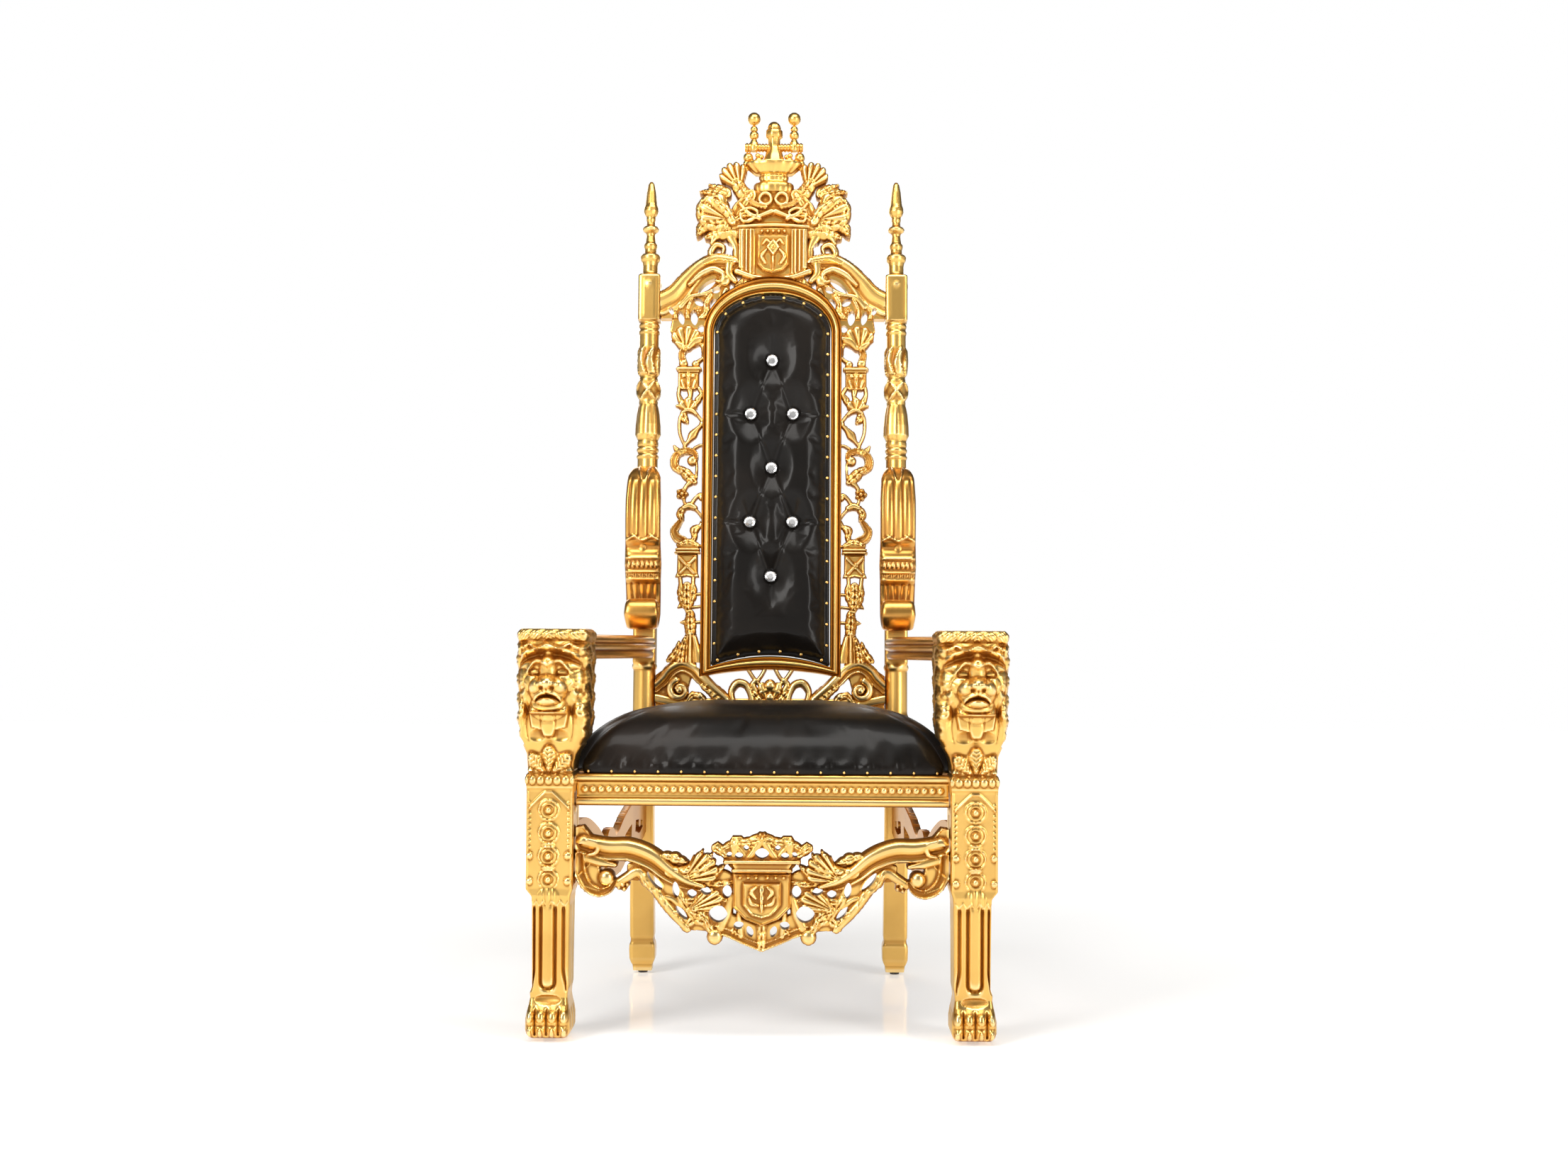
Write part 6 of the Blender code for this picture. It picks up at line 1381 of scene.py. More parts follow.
# %% Leg block
# Height, half width, front reach, back reach and corner radius, from the floor up
LEG_BLOCK = np.array((
    (0.0063, 0.034, 0.04, 0.034, 0.01), (0.012, 0.0385, 0.048, 0.038, 0.012),
    (0.02, 0.041, 0.0515, 0.04, 0.014),
    (0.04, 0.041, 0.0515, 0.04, 0.014), (0.052, 0.039, 0.047, 0.039, 0.013),
    (0.062, 0.0365, 0.038, 0.037, 0.009),
    (0.074, 0.0345, 0.033, 0.036, 0.007), (0.084, 0.0352, 0.0335, 0.036, 0.006),
    (0.095, 0.0368, 0.036, 0.037, 0.006),
    (0.16, 0.0372, 0.0375, 0.0375, 0.006), (0.236, 0.038, 0.0385, 0.038, 0.006),
    (0.25, 0.039, 0.0395, 0.0385, 0.006),
    (0.262, 0.0428, 0.0385, 0.0432, 0.005), (0.43, 0.043, 0.0385, 0.0433, 0.005),
    (0.438, 0.0432, 0.04, 0.0435, 0.006),
    (0.441, 0.0435, 0.043, 0.0435, 0.006), (0.4585, 0.0435, 0.043, 0.0435, 0.006),
    (0.463, 0.04, 0.037, 0.042, 0.007),
    (0.48, 0.0405, 0.038, 0.042, 0.007), (0.494, 0.044, 0.04, 0.043, 0.008),
    (0.508, 0.053, 0.0425, 0.045, 0.01),
    (0.526, 0.0625, 0.047, 0.05, 0.012), (0.546, 0.065, 0.05, 0.0595, 0.013),
    (0.58, 0.0655, 0.0505, 0.06, 0.013),
    (0.64, 0.0668, 0.0505, 0.06, 0.013), (0.688, 0.0672, 0.051, 0.06, 0.012),
    (0.692, 0.0664, 0.052, 0.06, 0.01),
    (0.704, 0.0668, 0.053, 0.06, 0.01), (0.71, 0.0645, 0.05, 0.058, 0.01),
    (0.7118, 0.0615, 0.046, 0.055, 0.01),
))


# How much further in the leg's outer side is than its inner side, by height
LEG_TRIM = np.array((
    (0.0063, 0.004), (0.082, 0.004), (0.094, 0.01), (0.248, 0.01), (0.26, 0.0035), (0.48, 0.0035),
    (0.51, 0.01), (0.53, 0.0125), (0.7118, 0.0125),
))


def dome(u, v, power=0.7):
    """A rounded hill: 1 less the two squared shares, raised to a power, and 0 outside."""
    return np.maximum(0, 1 - u**2 - v**2) ** power


def locks(phase):
    """Round ridges with sharp grooves between them: the root of a rectified cosine."""
    return np.abs(np.cos(phase / 2)) ** 0.6


def lion(x, z):
    """The lion's face over its block: skull, muzzle, nose, brows, eyes, frowning mouth, beard, mane."""
    a = np.abs(x)
    away, turn = np.hypot(x, (z - 0.612) * 0.92), np.arctan2(z - 0.612, a)
    face = 0.015 * dome(a / 0.058, (z - 0.634) / 0.082, 0.6)
    face += 0.017 * dome(a / 0.034, (z - 0.606) / 0.027, 0.6)
    face += 0.009 * dome((a - 0.027) / 0.019, (z - 0.617) / 0.017, 0.8)
    face += 0.011 * dome(a / 0.015, (z - 0.637) / 0.036, 0.6)
    face += 0.0065 * dome(a / 0.015, (z - 0.619) / 0.011, 0.6)
    face += 0.004 * dome((a - 0.0115) / 0.0075, (z - 0.617) / 0.0065, 0.7)
    face -= 0.005 * bell(a - 0.0085, 0.0035) * bell(z - 0.6105, 0.0028)
    face -= 0.003 * bell(a, 0.0016) * bell(z - 0.603, 0.008)
    brow = 0.65 + 0.007 * np.sin(np.clip(a / 0.036, 0, 1) * np.pi) - 0.01 * smooth_step(0.018, 0.04, a)
    face += 0.0075 * bell(z - brow, 0.0052) * (1 - smooth_step(0.034, 0.046, a))
    face -= 0.0058 * dome((a - 0.024) / 0.013, (z - 0.636) / 0.0085, 1.0)
    face += 0.005 * dome((a - 0.024) / 0.009, (z - 0.636) / 0.0052, 0.6)
    face -= 0.0026 * bell(z - 0.6325, 0.0013) * bell(a - 0.024, 0.007)
    face += 0.003 * bell(z - 0.6295, 0.0022) * bell(a - 0.024, 0.011)
    arch = 0.6665 - 5.0 * a**2
    face -= 0.009 * bell(z - arch, 0.0052) * (1 - smooth_step(0.05, 0.062, a))
    face += 0.004 * dome(a / 0.01, (z - 0.664) / 0.008, 0.7)
    hood = 0.679 - 5.5 * a**2
    face += 0.0085 * bell(z - hood, 0.0048) * (1 - smooth_step(0.044, 0.06, a))
    face += 0.007 * dome((a - 0.052) / 0.0165, (z - 0.676) / 0.012, 0.7)
    mouth = 0.5955 - 19.0 * a**2
    face += 0.0125 * dome(a / 0.03, (z - 0.583) / 0.013, 0.6)
    face -= 0.0115 * bell(z - mouth, 0.0024) * (1 - smooth_step(0.018, 0.024, a))
    face += 0.003 * bell(z - mouth - 0.0065, 0.003) * (1 - smooth_step(0.024, 0.034, a))
    jaw = smooth_step(0.564, 0.567, z) * (1 - smooth_step(0.57, 0.584, z))
    face += 0.0085 * jaw * (1 - smooth_step(0.03, 0.038, a))
    half = np.interp(z, (0.524, 0.53, 0.537, 0.5415, 0.567), (0.006, 0.01, 0.012, 0.03, 0.035))
    beard = (1 - smooth_step(half - 0.002, half + 0.002, a)) * smooth_step(0.5225, 0.528,
        z) * (1 - smooth_step(0.567, 0.571, z))
    face += (0.008 + 0.0035 * dome(a / 0.012, (z - 0.545) / 0.022, 0.6) - 0.0012
        * bell(a - 0.0135, 0.0016)) * beard
    face -= 0.0075 * dome((a - 0.02) / 0.0165, (z - 0.527) / 0.0115, 1.2) * (1 - beard)
    wave = 0.6812 + 0.0032 * np.cos(2 * np.pi * a / 0.037)
    face += 0.0065 * bell(z - wave, 0.0032) * (1 - smooth_step(0.056, 0.064, a))
    fringe = smooth_step(0.036, 0.05, away) * (1 - smooth_step(0.684, 0.69, z)) * smooth_step(0.512, 0.526, z)
    fringe = fringe * (1 - beard) * (1 - 0.65 * bell(z - 0.6655, 0.01) * (a < 0.04))
    face += 0.007 * (np.abs(np.cos(4.5 * turn + 40 * away)) ** 0.8 - 0.5) * fringe
    face += 0.0008 * (locks(27 * turn + 120 * away) - 0.6) * fringe
    face -= 0.0035 * dome((a - 0.041) / 0.006, (z - 0.576) / 0.015, 1.2)
    for across, level, size in ((0.05, 0.607, 0.015), (0.054, 0.57, 0.014)):
        curl = np.hypot(a - across, z - level) / size
        swirl = np.cos(2 * np.pi * (curl * 1.3 - np.arctan2(z - level, a - across) / (2 * np.pi)))
        face += (0.004 + 0.0012 * swirl) * np.maximum(0, 1 - curl**2) ** 0.7
    band = smooth_step(0.6885, 0.6925, z)
    curl = dome((np.mod(a + 0.0115, 0.023) - 0.0115) / 0.0125, (z - 0.7005) / 0.0088, 0.6)
    face = face * (1 - band) + band * (0.0045 + (0.0034 + 0.001 * np.cos(2 * np.pi * (a + z) / 0.0075))
        * curl)
    return face * smooth_step(0.51, 0.52, z)


def mane_side(y, z):
    """Locks that flow back over the flank of the head, and the curly band over them."""
    flow = 2 * np.pi * z / 0.034 + 2.4 * np.sin(2 * np.pi * (y + 0.02) / 0.085)
    side = 0.0075 * (locks(flow) - 0.5) + 0.002 * (locks(3.2 * flow) - 0.6)
    side = side * smooth_step(0.512, 0.535, z) * (1 - smooth_step(0.683, 0.69, z))
    side = side * (1 - smooth_step(0.044, 0.052, y))
    band = smooth_step(0.6885, 0.6925, z)
    curl = dome((np.mod(y, 0.016) - 0.008) / 0.0085, (z - 0.7005) / 0.0085, 0.6)
    return side * (1 - band) + band * 0.003 * curl


def rosette(x, z):
    """A ring of ten petals round a domed button with a bead in its middle."""
    away, turn = np.hypot(x, z), np.arctan2(z, x)
    petals = 0.0034 * bell(away - 0.0172, 0.0022) * (0.82 + 0.18 * np.cos(10 * turn))
    disc = 0.0042 * dome(away / 0.014, 0, 0.5) - 0.0026 * bell(away - 0.0082, 0.0017)
    return petals + disc + 0.004 * dome(away / 0.0056, 0, 0.6)


ROSETTES = (0.2776, 0.3176, 0.3576, 0.3976)


def panel_carving(x, z):
    """The rosette panel: raised edges, a pointed arch, studs, four rosettes and the bulges between."""
    a = np.abs(x)
    inside = smooth_step(0.262, 0.268, z) * (1 - smooth_step(0.428, 0.434, z))
    work = 0.0022 * bell(a - 0.0395, 0.0024)
    arch = 0.429 - 0.95 * np.maximum(0, a - 0.006)
    work += 0.003 * bell((z - arch) * 0.72, 0.0022) * (a < 0.037)
    work -= 0.0025 * smooth_step(0.001, 0.004, (arch - z) * 0.72) * (1 - smooth_step(0.033, 0.036, a))
    for level in ROSETTES:
        work = np.maximum(work, work * 0.3 + rosette(x, z - level))
    for level, rise in ((0.3376, 0.0035), (0.2976, 0.0055), (0.2585, 0.0055)):
        work += rise * dome(a / 0.0125, (z - level) / 0.006, 0.6)
    for level in (0.275, 0.319):
        work += 0.0052 * dome((a - 0.033) / 0.0066, (z - level) / 0.0066, 0.6)
    for level in np.arange(0.334, 0.412, 0.0095):
        work += 0.0018 * dome((a - 0.0345) / 0.0032, (z - level) / 0.0032, 0.6)
    pendant = dome(a / 0.02, (z - 0.248) / 0.017, 0.6) * (1 - smooth_step(0.262, 0.266, z))
    return work * inside + 0.0035 * pendant * (0.7 + 0.3 * np.cos(2 * np.pi * a / 0.01))


def palmette(x, z):
    """A fan of broad veined leaves that opens upwards from the collar to the lion's beard."""
    away, turn = np.hypot(x, z - 0.459), np.arctan2(x, z - 0.455)
    leaf = 0.25 + 0.75 * np.abs(np.cos(np.pi * turn / 0.74)) ** 0.8
    reach = 0.046 + 0.006 * np.cos(2 * np.pi * turn / 0.74)
    fan = leaf * (1 - smooth_step(reach - 0.004, reach + 0.002, away)) * smooth_step(0.461, 0.466, z)
    veins = 0.0012 * np.cos(2 * np.pi * (away / 0.008 - np.abs(np.sin(np.pi * turn / 0.74))))
    arch = 0.0025 * bell(away - 0.012, 0.0022) * (z > 0.46)
    return (0.0095 * fan + veins * fan + arch) * (1 - smooth_step(0.508, 0.514, z))


def collar(x, z):
    """A torus with a row of beads on it, over a thin fillet."""
    bead = dome((np.mod(x + 0.00725, 0.0145) - 0.00725) / 0.0072, (z - 0.4495) / 0.0078, 0.5)
    return 0.0048 * bead * (z > 0.441) * (z < 0.458) + 0.0022 * bell(z - 0.437, 0.0016)


def reeds(x, z):
    """A middle reed with a round foot, and a flanking pair that flares above the paw."""
    a = np.abs(x)
    foot = 0.101
    ring = np.where(z < foot, np.hypot(x, z - foot), a) - 0.0125
    flare = 0.027 + 0.007 * smooth_step(0.0, 1.0, (0.125 - z) / 0.04)
    run = smooth_step(0.082, 0.09, z) * (1 - smooth_step(0.226, 0.238, z))
    cut = bell(ring, 0.0029) + bell(a - flare, 0.0029)
    swell = 0.0028 * np.maximum(0, 1 - (ring + 0.0125) ** 2 / 0.012**2) * (z < 0.232) * (z > 0.088)
    top = bell(z - 0.2365 + 0.004 * np.cos(2 * np.pi * a / 0.0145), 0.0022) * 0.0016
    return (swell - 0.0062 * cut) * run + top


def paw(x, z):
    """Four toes, each a rounded knuckle over a short claw, under a dark ankle hollow."""
    toe = np.mod(x / 0.0205, 1.0) * 2 - 1
    body = smooth_step(0.008, 0.014, z) * (1 - smooth_step(0.05, 0.062, z))
    split = -0.0095 * (1 - np.sqrt(np.maximum(0, 1 - toe**2) + 0.02)) * body
    knuckle = 0.0045 * dome(toe / 0.9, (z - 0.044) / 0.01, 0.6)
    claw = 0.0045 * dome(toe / 0.42, (z - 0.016) / 0.009, 0.6)
    crease = -0.0022 * bell(z - 0.0285, 0.0024) * dome(toe, 0, 0.5)
    hollow = -0.005 * dome(np.abs(x) / 0.024, (z - 0.0705) / 0.0085, 0.6)
    return split + knuckle + claw + crease + hollow


def leg_front(x, z):
    """All the front carving of a leg, one zone above another."""
    work = np.where(z < 0.082, paw(x, z), 0.0)
    work = work + np.where((z >= 0.08) & (z < 0.245), reeds(x, z), 0.0)
    work = work + np.where((z >= 0.229) & (z < 0.44), panel_carving(x, z), 0.0)
    work = work + np.where((z >= 0.43) & (z < 0.46), collar(x, z), 0.0)
    work = work + np.where((z >= 0.46) & (z < 0.516), palmette(x, z), 0.0)
    return work + np.where(z >= 0.508, lion(x, z), 0.0)


def leg_side(y, z):
    """The flanks: mane, leaf, a sunk panel with studs, two reeds and the outer toe."""
    work = np.where(z >= 0.51, mane_side(y, z), 0.0)
    leaf = 0.004 * (locks(2 * np.pi * y / 0.022 + 3.0 * (z - 0.46) / 0.05) - 0.4)
    work = work + np.where((z >= 0.462) & (z < 0.51), leaf * smooth_step(0.462, 0.468, z), 0.0)
    panel = smooth_step(0.266, 0.272, z) * (1 - smooth_step(0.424, 0.43, z))
    sunk = -0.002 * smooth_step(0.0, 0.003, 0.033 - np.abs(y)) * panel
    for level in ROSETTES:
        sunk = sunk + 0.0035 * dome(y / 0.01, (z - level) / 0.01, 0.6)
    work = work + np.where((z >= 0.262) & (z < 0.432), sunk, 0.0)
    bead = dome((np.mod(y + 0.00725, 0.0145) - 0.00725) / 0.0072, (z - 0.4495) / 0.0078, 0.5)
    work = work + np.where((z > 0.441) & (z < 0.458), 0.0022 * bead, 0.0)
    run = smooth_step(0.086, 0.094, z) * (1 - smooth_step(0.226, 0.238, z))
    work = work - 0.004 * (bell(np.abs(y) - 0.0105, 0.0026) + bell(np.abs(y) - 0.026, 0.0026)) * run
    toe = np.mod((y + 0.006) / 0.024, 1.0) * 2 - 1
    return work - 0.005 * (1 - np.sqrt(np.maximum(0, 1 - toe**2) + 0.02)) * smooth_step(0.008, 0.014,
        z) * (1 - smooth_step(0.048, 0.06, z))


# %% Front legs
leg_heights = np.concatenate([
    np.arange(0.0063, 0.084, 0.0017), np.arange(0.084, 0.236, 0.0034), np.arange(0.236, 0.462, 0.00175),
    np.arange(0.462, 0.512, 0.0017), np.arange(0.512, 0.7115, 0.00155), [0.7118],
])


def carved_post(heights, block, columns, centre, side_carving, front_carving):
    """Rings of a rounded rectangle, pushed outwards by the front and side carving.

    columns counts points along the front, each front corner, each side, each back corner and the back.
    """
    half, front, back, corner = (np.interp(heights, block[:, 0], block[:, k])[:, None] for k in (1, 2, 3, 4))
    rear = np.minimum(corner, 0.005)
    n_front, n_corner, n_side, n_rear, n_back = columns
    u = np.linspace(-1, 1, n_front)[None]
    t = ((np.arange(n_corner) + 0.5) / n_corner * np.pi / 2)[None]
    v = np.linspace(0, 1, n_side)[None]
    r = ((np.arange(n_rear) + 0.5) / n_rear * np.pi / 2)[None]
    b = np.linspace(1, -1, n_back)[None]
    one = np.ones_like(half)
    x_parts = [u * (half - corner), half - corner + corner * np.sin(t), half + 0 * v,
               half - rear + rear * np.cos(r), b * (half - rear)]
    y_parts = [-front + 0 * u, -front + corner * (1 - np.cos(t)),
        -front + corner + (front - corner + back - rear) * v,
               back - rear + rear * np.sin(r), back + 0 * b]
    nx_parts = [0 * u * one, np.sin(t) * one, one + 0 * v, np.cos(r) * one, 0 * b * one]
    ny_parts = [-one + 0 * u, -np.cos(t) * one, 0 * v * one, np.sin(r) * one, one + 0 * b]
    mirrored = [3, 2, 1]
    x = np.concatenate(x_parts + [-x_parts[k][:, ::-1] for k in mirrored], 1)
    y = np.concatenate(y_parts + [y_parts[k][:, ::-1] for k in mirrored], 1)
    nx = np.concatenate(nx_parts + [-nx_parts[k][:, ::-1] for k in mirrored], 1)
    ny = np.concatenate(ny_parts + [ny_parts[k][:, ::-1] for k in mirrored], 1)
    z = heights[:, None] + 0 * x
    out = front_carving(x, z) * np.clip(-ny, 0, 1) ** 2 + side_carving(y, z) * nx**2
    points = np.stack([centre[0] + x + nx * out, centre[1] + y + ny * out, z], -1)
    return points, out


def closed_rings(name, points, material, hollow, sharp=60.0):
    """A closed mesh from rings of points, with a fan at each end."""
    rows, columns = points.shape[:2]
    faces = grid_faces(rows, columns, wrap_columns=True)
    first, last = rows * columns, rows * columns + 1
    j = np.arange(columns)
    k = (j + 1) % columns
    top = (rows - 1) * columns
    caps = np.concatenate([
        np.stack([k, j, np.full(columns, first)], 1), np.stack([top + j, top + k, np.full(columns, last)], 1),
    ])
    ends = np.stack([points[0].mean(0), points[-1].mean(0)])
    flat = np.concatenate([points.reshape(-1, 3), ends])
    a, b, c = (flat[faces[:, m]] for m in range(3))
    volume = np.sum(np.cross(b - a, c - a) * (a - flat.mean(0)))
    if volume < 0:
        faces, caps = faces[:, ::-1], caps[:, ::-1]
    piece = put_mesh(name, flat, [faces, caps], material, sharp)
    set_hollow(piece, np.concatenate([hollow.ravel(), [0, 0]]))
    return piece


for word, side in (("right", 1), ("left", -1)):
    points, out = carved_post(
        leg_heights, LEG_BLOCK, (88, 8, 17, 2, 5), (side * LEG_X, LEG_Y), leg_side, leg_front,
    )
    half, trim = (np.interp(leg_heights, table[:, 0], table[:, 1])[:, None]
        for table in (LEG_BLOCK, LEG_TRIM))
    outer = np.clip(side * points[..., 0] - LEG_X, 0, half) / half
    points[..., 0] -= side * trim * outer**3
    leg = closed_rings(f"carved_front_leg_{word}", points, bright_gold, hollows(out, None, 7, 0.0016))
    settle(leg, f"front_leg_{word}")

# %% [markdown]
# ## Back posts
#
# A square rear leg sweeps back to the floor. Above the seat the post is turned and carved: rings,
# long petals, a knotted ribbon, a leaf cup, a square block, and a turned finial on top. Turning is a
# radius over height. Carving is a wave over height and angle.


# %% Back posts
# Height, half width, and how square the section is
POST_TURNING = np.array((
    (0.0063, 0.0195, 1), (0.018, 0.0205, 1), (0.024, 0.0235, 1), (0.032, 0.0262, 1), (0.052, 0.0268, 1),
    (0.062, 0.0262, 1), (0.068, 0.0238, 1), (0.074, 0.0232, 1), (0.08, 0.0248, 1), (0.24, 0.0245, 1),
    (0.385, 0.0235, 1), (0.516, 0.0235, 1), (0.52, 0.025, 0.3), (0.524, 0.0295, 0), (0.53, 0.03, 0),
    (0.535, 0.028, 0), (0.54, 0.0245, 0), (0.546, 0.0232, 0), (0.632, 0.0232, 0), (0.636, 0.0258, 0),
    (0.641, 0.0262, 0), (0.645, 0.0245, 0.5), (0.648, 0.0235, 1), (1.048, 0.0235, 1), (1.052, 0.0225, 0.5),
    (1.058, 0.0212, 0), (1.078, 0.0212, 0), (1.081, 0.0232, 0), (1.085, 0.0232, 0), (1.088, 0.0208, 0),
    (1.092, 0.0208, 0), (1.095, 0.023, 0), (1.1, 0.023, 0), (1.103, 0.0206, 0), (1.108, 0.0222, 0),
    (1.114, 0.0222, 0), (1.118, 0.0212, 0), (1.124, 0.024, 0), (1.13, 0.0256, 0), (1.15, 0.025, 0),
    (1.175, 0.0226, 0), (1.195, 0.019, 0), (1.204, 0.0205, 0), (1.214, 0.0238, 0), (1.236, 0.0238, 0),
    (1.246, 0.0208, 0), (1.254, 0.0188, 0), (1.27, 0.0215, 0), (1.29, 0.0232, 0), (1.308, 0.0222, 0),
    (1.322, 0.0206, 0), (1.346, 0.0206, 0), (1.349, 0.0222, 0), (1.353, 0.0222, 0), (1.356, 0.0204, 0),
    (1.36, 0.0204, 0), (1.363, 0.0222, 0), (1.367, 0.0222, 0), (1.37, 0.0206, 0), (1.3735, 0.0206, 0.2),
    (1.376, 0.0232, 1), (1.47, 0.0234, 1), (1.474, 0.0222, 1), (1.478, 0.0172, 0), (1.482, 0.016, 0),
    (1.496, 0.0158, 0), (1.504, 0.0172, 0), (1.509, 0.0205, 0), (1.516, 0.0215, 0), (1.52, 0.0195, 0),
    (1.524, 0.0128, 0), (1.532, 0.0122, 0), (1.538, 0.0142, 0), (1.543, 0.0142, 0), (1.548, 0.0108, 0),
    (1.562, 0.0088, 0), (1.568, 0.0098, 0), (1.573, 0.0165, 0), (1.577, 0.018, 0), (1.581, 0.016, 0),
    (1.585, 0.0094, 0), (1.592, 0.0086, 0), (1.598, 0.01, 0), (1.604, 0.0096, 0), (1.609, 0.013, 0),
    (1.616, 0.0155, 0), (1.624, 0.015, 0), (1.632, 0.0122, 0), (1.66, 0.0094, 0), (1.676, 0.0066, 0),
    (1.6812, 0.003, 0),
))


def post_carving(turn, z):
    """Depth over (angle, height): long petals, a crossed ribbon, a leaf cup and the block's lines."""
    petals = smooth_step(1.124, 1.13, z) * (1 - smooth_step(1.186, 1.204, z))
    work = 0.003 * (locks(8 * turn) - 0.5) * petals
    ribbon = smooth_step(1.2, 1.208, z) * (1 - smooth_step(1.242, 1.25, z))
    slope = (z - 1.225) / 0.0225 * np.pi / 2
    strands = np.maximum(bell(np.sin(2 * turn + slope), 0.36), bell(np.sin(2 * turn - slope), 0.36))
    work = work + (0.0044 * strands - 0.0018) * ribbon
    cup = smooth_step(1.256, 1.262, z) * (1 - smooth_step(1.312, 1.322, z))
    tip = (z - 1.256) / 0.062
    leaf = np.abs(np.cos(3 * turn + 1.2 * np.sin(np.pi * tip)))
    work = work + (0.0046 * smooth_step(tip * 0.8, tip * 0.8 + 0.25, leaf) - 0.0016) * cup
    knob = smooth_step(1.604, 1.612, z) * (1 - smooth_step(1.655, 1.68, z))
    work = work + 0.0007 * (locks(8 * turn) - 0.6) * knob
    return work


def spine(height):
    """The post's middle: straight and leaning above the rail, and swept back as a square below it."""
    y = np.where(height >= RAIL_HEAD, POST_Y + (height - RAIL_HEAD) * math.tan(LEAN), POST_Y)
    share = np.maximum(0, 1 - height / RAIL_FOOT)
    return y + np.where(height < RAIL_FOOT, 0.035 * share**2, 0)


post_heights = np.concatenate([
    np.arange(0.0063, 0.09, 0.003), np.arange(0.09, 0.51, 0.02), np.arange(0.51, 0.65, 0.0026),
    np.arange(0.652, 1.046, 0.03), np.arange(1.046, 1.38, 0.00155), np.arange(1.38, 1.47, 0.0045),
    np.arange(1.47, 1.6812, 0.00145), [1.6812],
])


def back_post(side):
    """Rings between a square and a circle, tilted with the leaning part."""
    columns = 48
    turn = (2 * np.pi * (np.arange(columns) + 0.5) / columns)[None]
    z = post_heights[:, None]
    half, square = (np.interp(z, POST_TURNING[:, 0], POST_TURNING[:, k]) for k in (1, 2))
    c, s = np.cos(turn), np.sin(turn)
    edge = np.maximum(np.abs(c), np.abs(s))
    boxed = half / np.maximum(edge, (np.abs(c) + np.abs(s)) / 1.86)
    reach = square * boxed + (1 - square) * half
    carving = post_carving(turn, z + 0 * turn)
    block = smooth_step(1.38, 1.384, z) * (1 - smooth_step(1.464, 1.468, z))
    across = np.where(np.abs(c) > np.abs(s), s, c) / edge
    sunk = 0.001 * bell(np.abs(across) - 0.68, 0.06)
    carving = carving - sunk * block
    stud = dome(across * 0.0235 / 0.0075, (z - 1.4535) / 0.0075, 0.6)
    carving = carving + 0.0018 * stud * block
    reach = reach + carving
    lean = np.where(z > RAIL_HEAD, LEAN, 0.0)
    x = side * (POST_X + 0 * reach) + reach * c
    y = spine(z) + reach * s * np.cos(lean)
    return np.stack([x, y, z - reach * s * np.sin(lean)], -1), carving


for word, side in (("right", 1), ("left", -1)):
    points, carving = back_post(side)
    profile = np.interp(post_heights, POST_TURNING[:, 0], POST_TURNING[:, 1])[:, None]
    post = closed_rings(f"turned_back_post_{word}", points, bright_gold,
        hollows(carving + profile, None, 5, 0.0016))
    settle(post, f"back_post_{word}")

# %% [markdown]
# ## Arms
#
# A moulded rail sweeps in from the back of each lion's head to the post. One section with three
# reeds is carried along the sweep. The arms take a redder, more glazed gold.

# %% Arms
ARM_SECTION = np.array((
    (-0.8, 0.0), (-0.84, 0.06), (-0.86, 0.2), (-0.8, 0.28), (-0.76, 0.32), (-0.8, 0.36), (-0.94, 0.42),
    (-1.0, 0.5),
    (-0.96, 0.58), (-0.88, 0.62), (-0.86, 0.66), (-0.93, 0.72), (-0.95, 0.8), (-0.88, 0.89), (-0.7, 0.95),
    (-0.45, 0.985),
    (0.0, 1.0),
))


def arm_points(side):
    """The section's points over (step along, step around), eased inwards along the arm."""
    section = np.concatenate([ARM_SECTION, (ARM_SECTION * [-1, 1])[::-1][1:]])
    share = np.linspace(0, 1, 46)[:, None]
    inward = share * share * (3 - 2 * share)
    middle = LEG_X + (POST_X + 0.004 - LEG_X) * inward
    z = 0.658 + section[None, :, 1] * 0.046
    start = LEG_Y + 0.0603
    stop = POST_Y + (z - RAIL_HEAD) * math.tan(LEAN) - 0.0238 / math.cos(LEAN)
    y = start + (stop - start) * share
    x = side * (middle + section[None, :, 0] * 0.029)
    return np.stack(np.broadcast_arrays(x, y, z), -1)


section_depth = np.concatenate([np.abs(ARM_SECTION[:, 0]), np.abs(ARM_SECTION[::-1][1:, 0])])[None]
for word, side in (("right", 1), ("left", -1)):
    points = arm_points(side)
    hollow = hollows(0.029 * section_depth + 0 * points[..., 0], None, 2, 0.0012)
    hollow[:, 15:18] = 0
    arm = closed_rings(f"moulded_arm_{word}", points, deep_gold, hollow, 50.0)
    settle(arm, f"arm_{word}")

# %% [markdown]
# ## Arm scrolls
#
# An S-scroll stands on each arm and leans on the post: a roll at its foot, a knuckle of beads and
# fillets, four bowed reeds, and a rounded cap with a leaf cut as a V. A path in the plane of forward
# and height carries a section across, and front and back face share its rim.

# %% Scroll path and carving
SCROLL_LINE = np.array((
    (0.046, 0.067, 0.007, 0.8), (0.068, 0.058, 0.01, 0.92), (0.073, 0.038, 0.012, 0.97),
    (0.058, 0.0195, 0.012, 0.9),
    (0.034, 0.0205, 0.012, 0.92), (0.022, 0.041, 0.011, 0.97), (0.026, 0.078, 0.01, 0.98),
    (0.038, 0.111, 0.012, 1.0),
    (0.046, 0.144, 0.018, 1.04), (0.055, 0.181, 0.012, 1.0), (0.064, 0.226, 0.011, 1.0),
    (0.062, 0.276, 0.011, 1.0),
    (0.046, 0.324, 0.011, 0.93), (0.0135, 0.346, 0.012, 0.66),
))
ARM_HEAD = 0.704


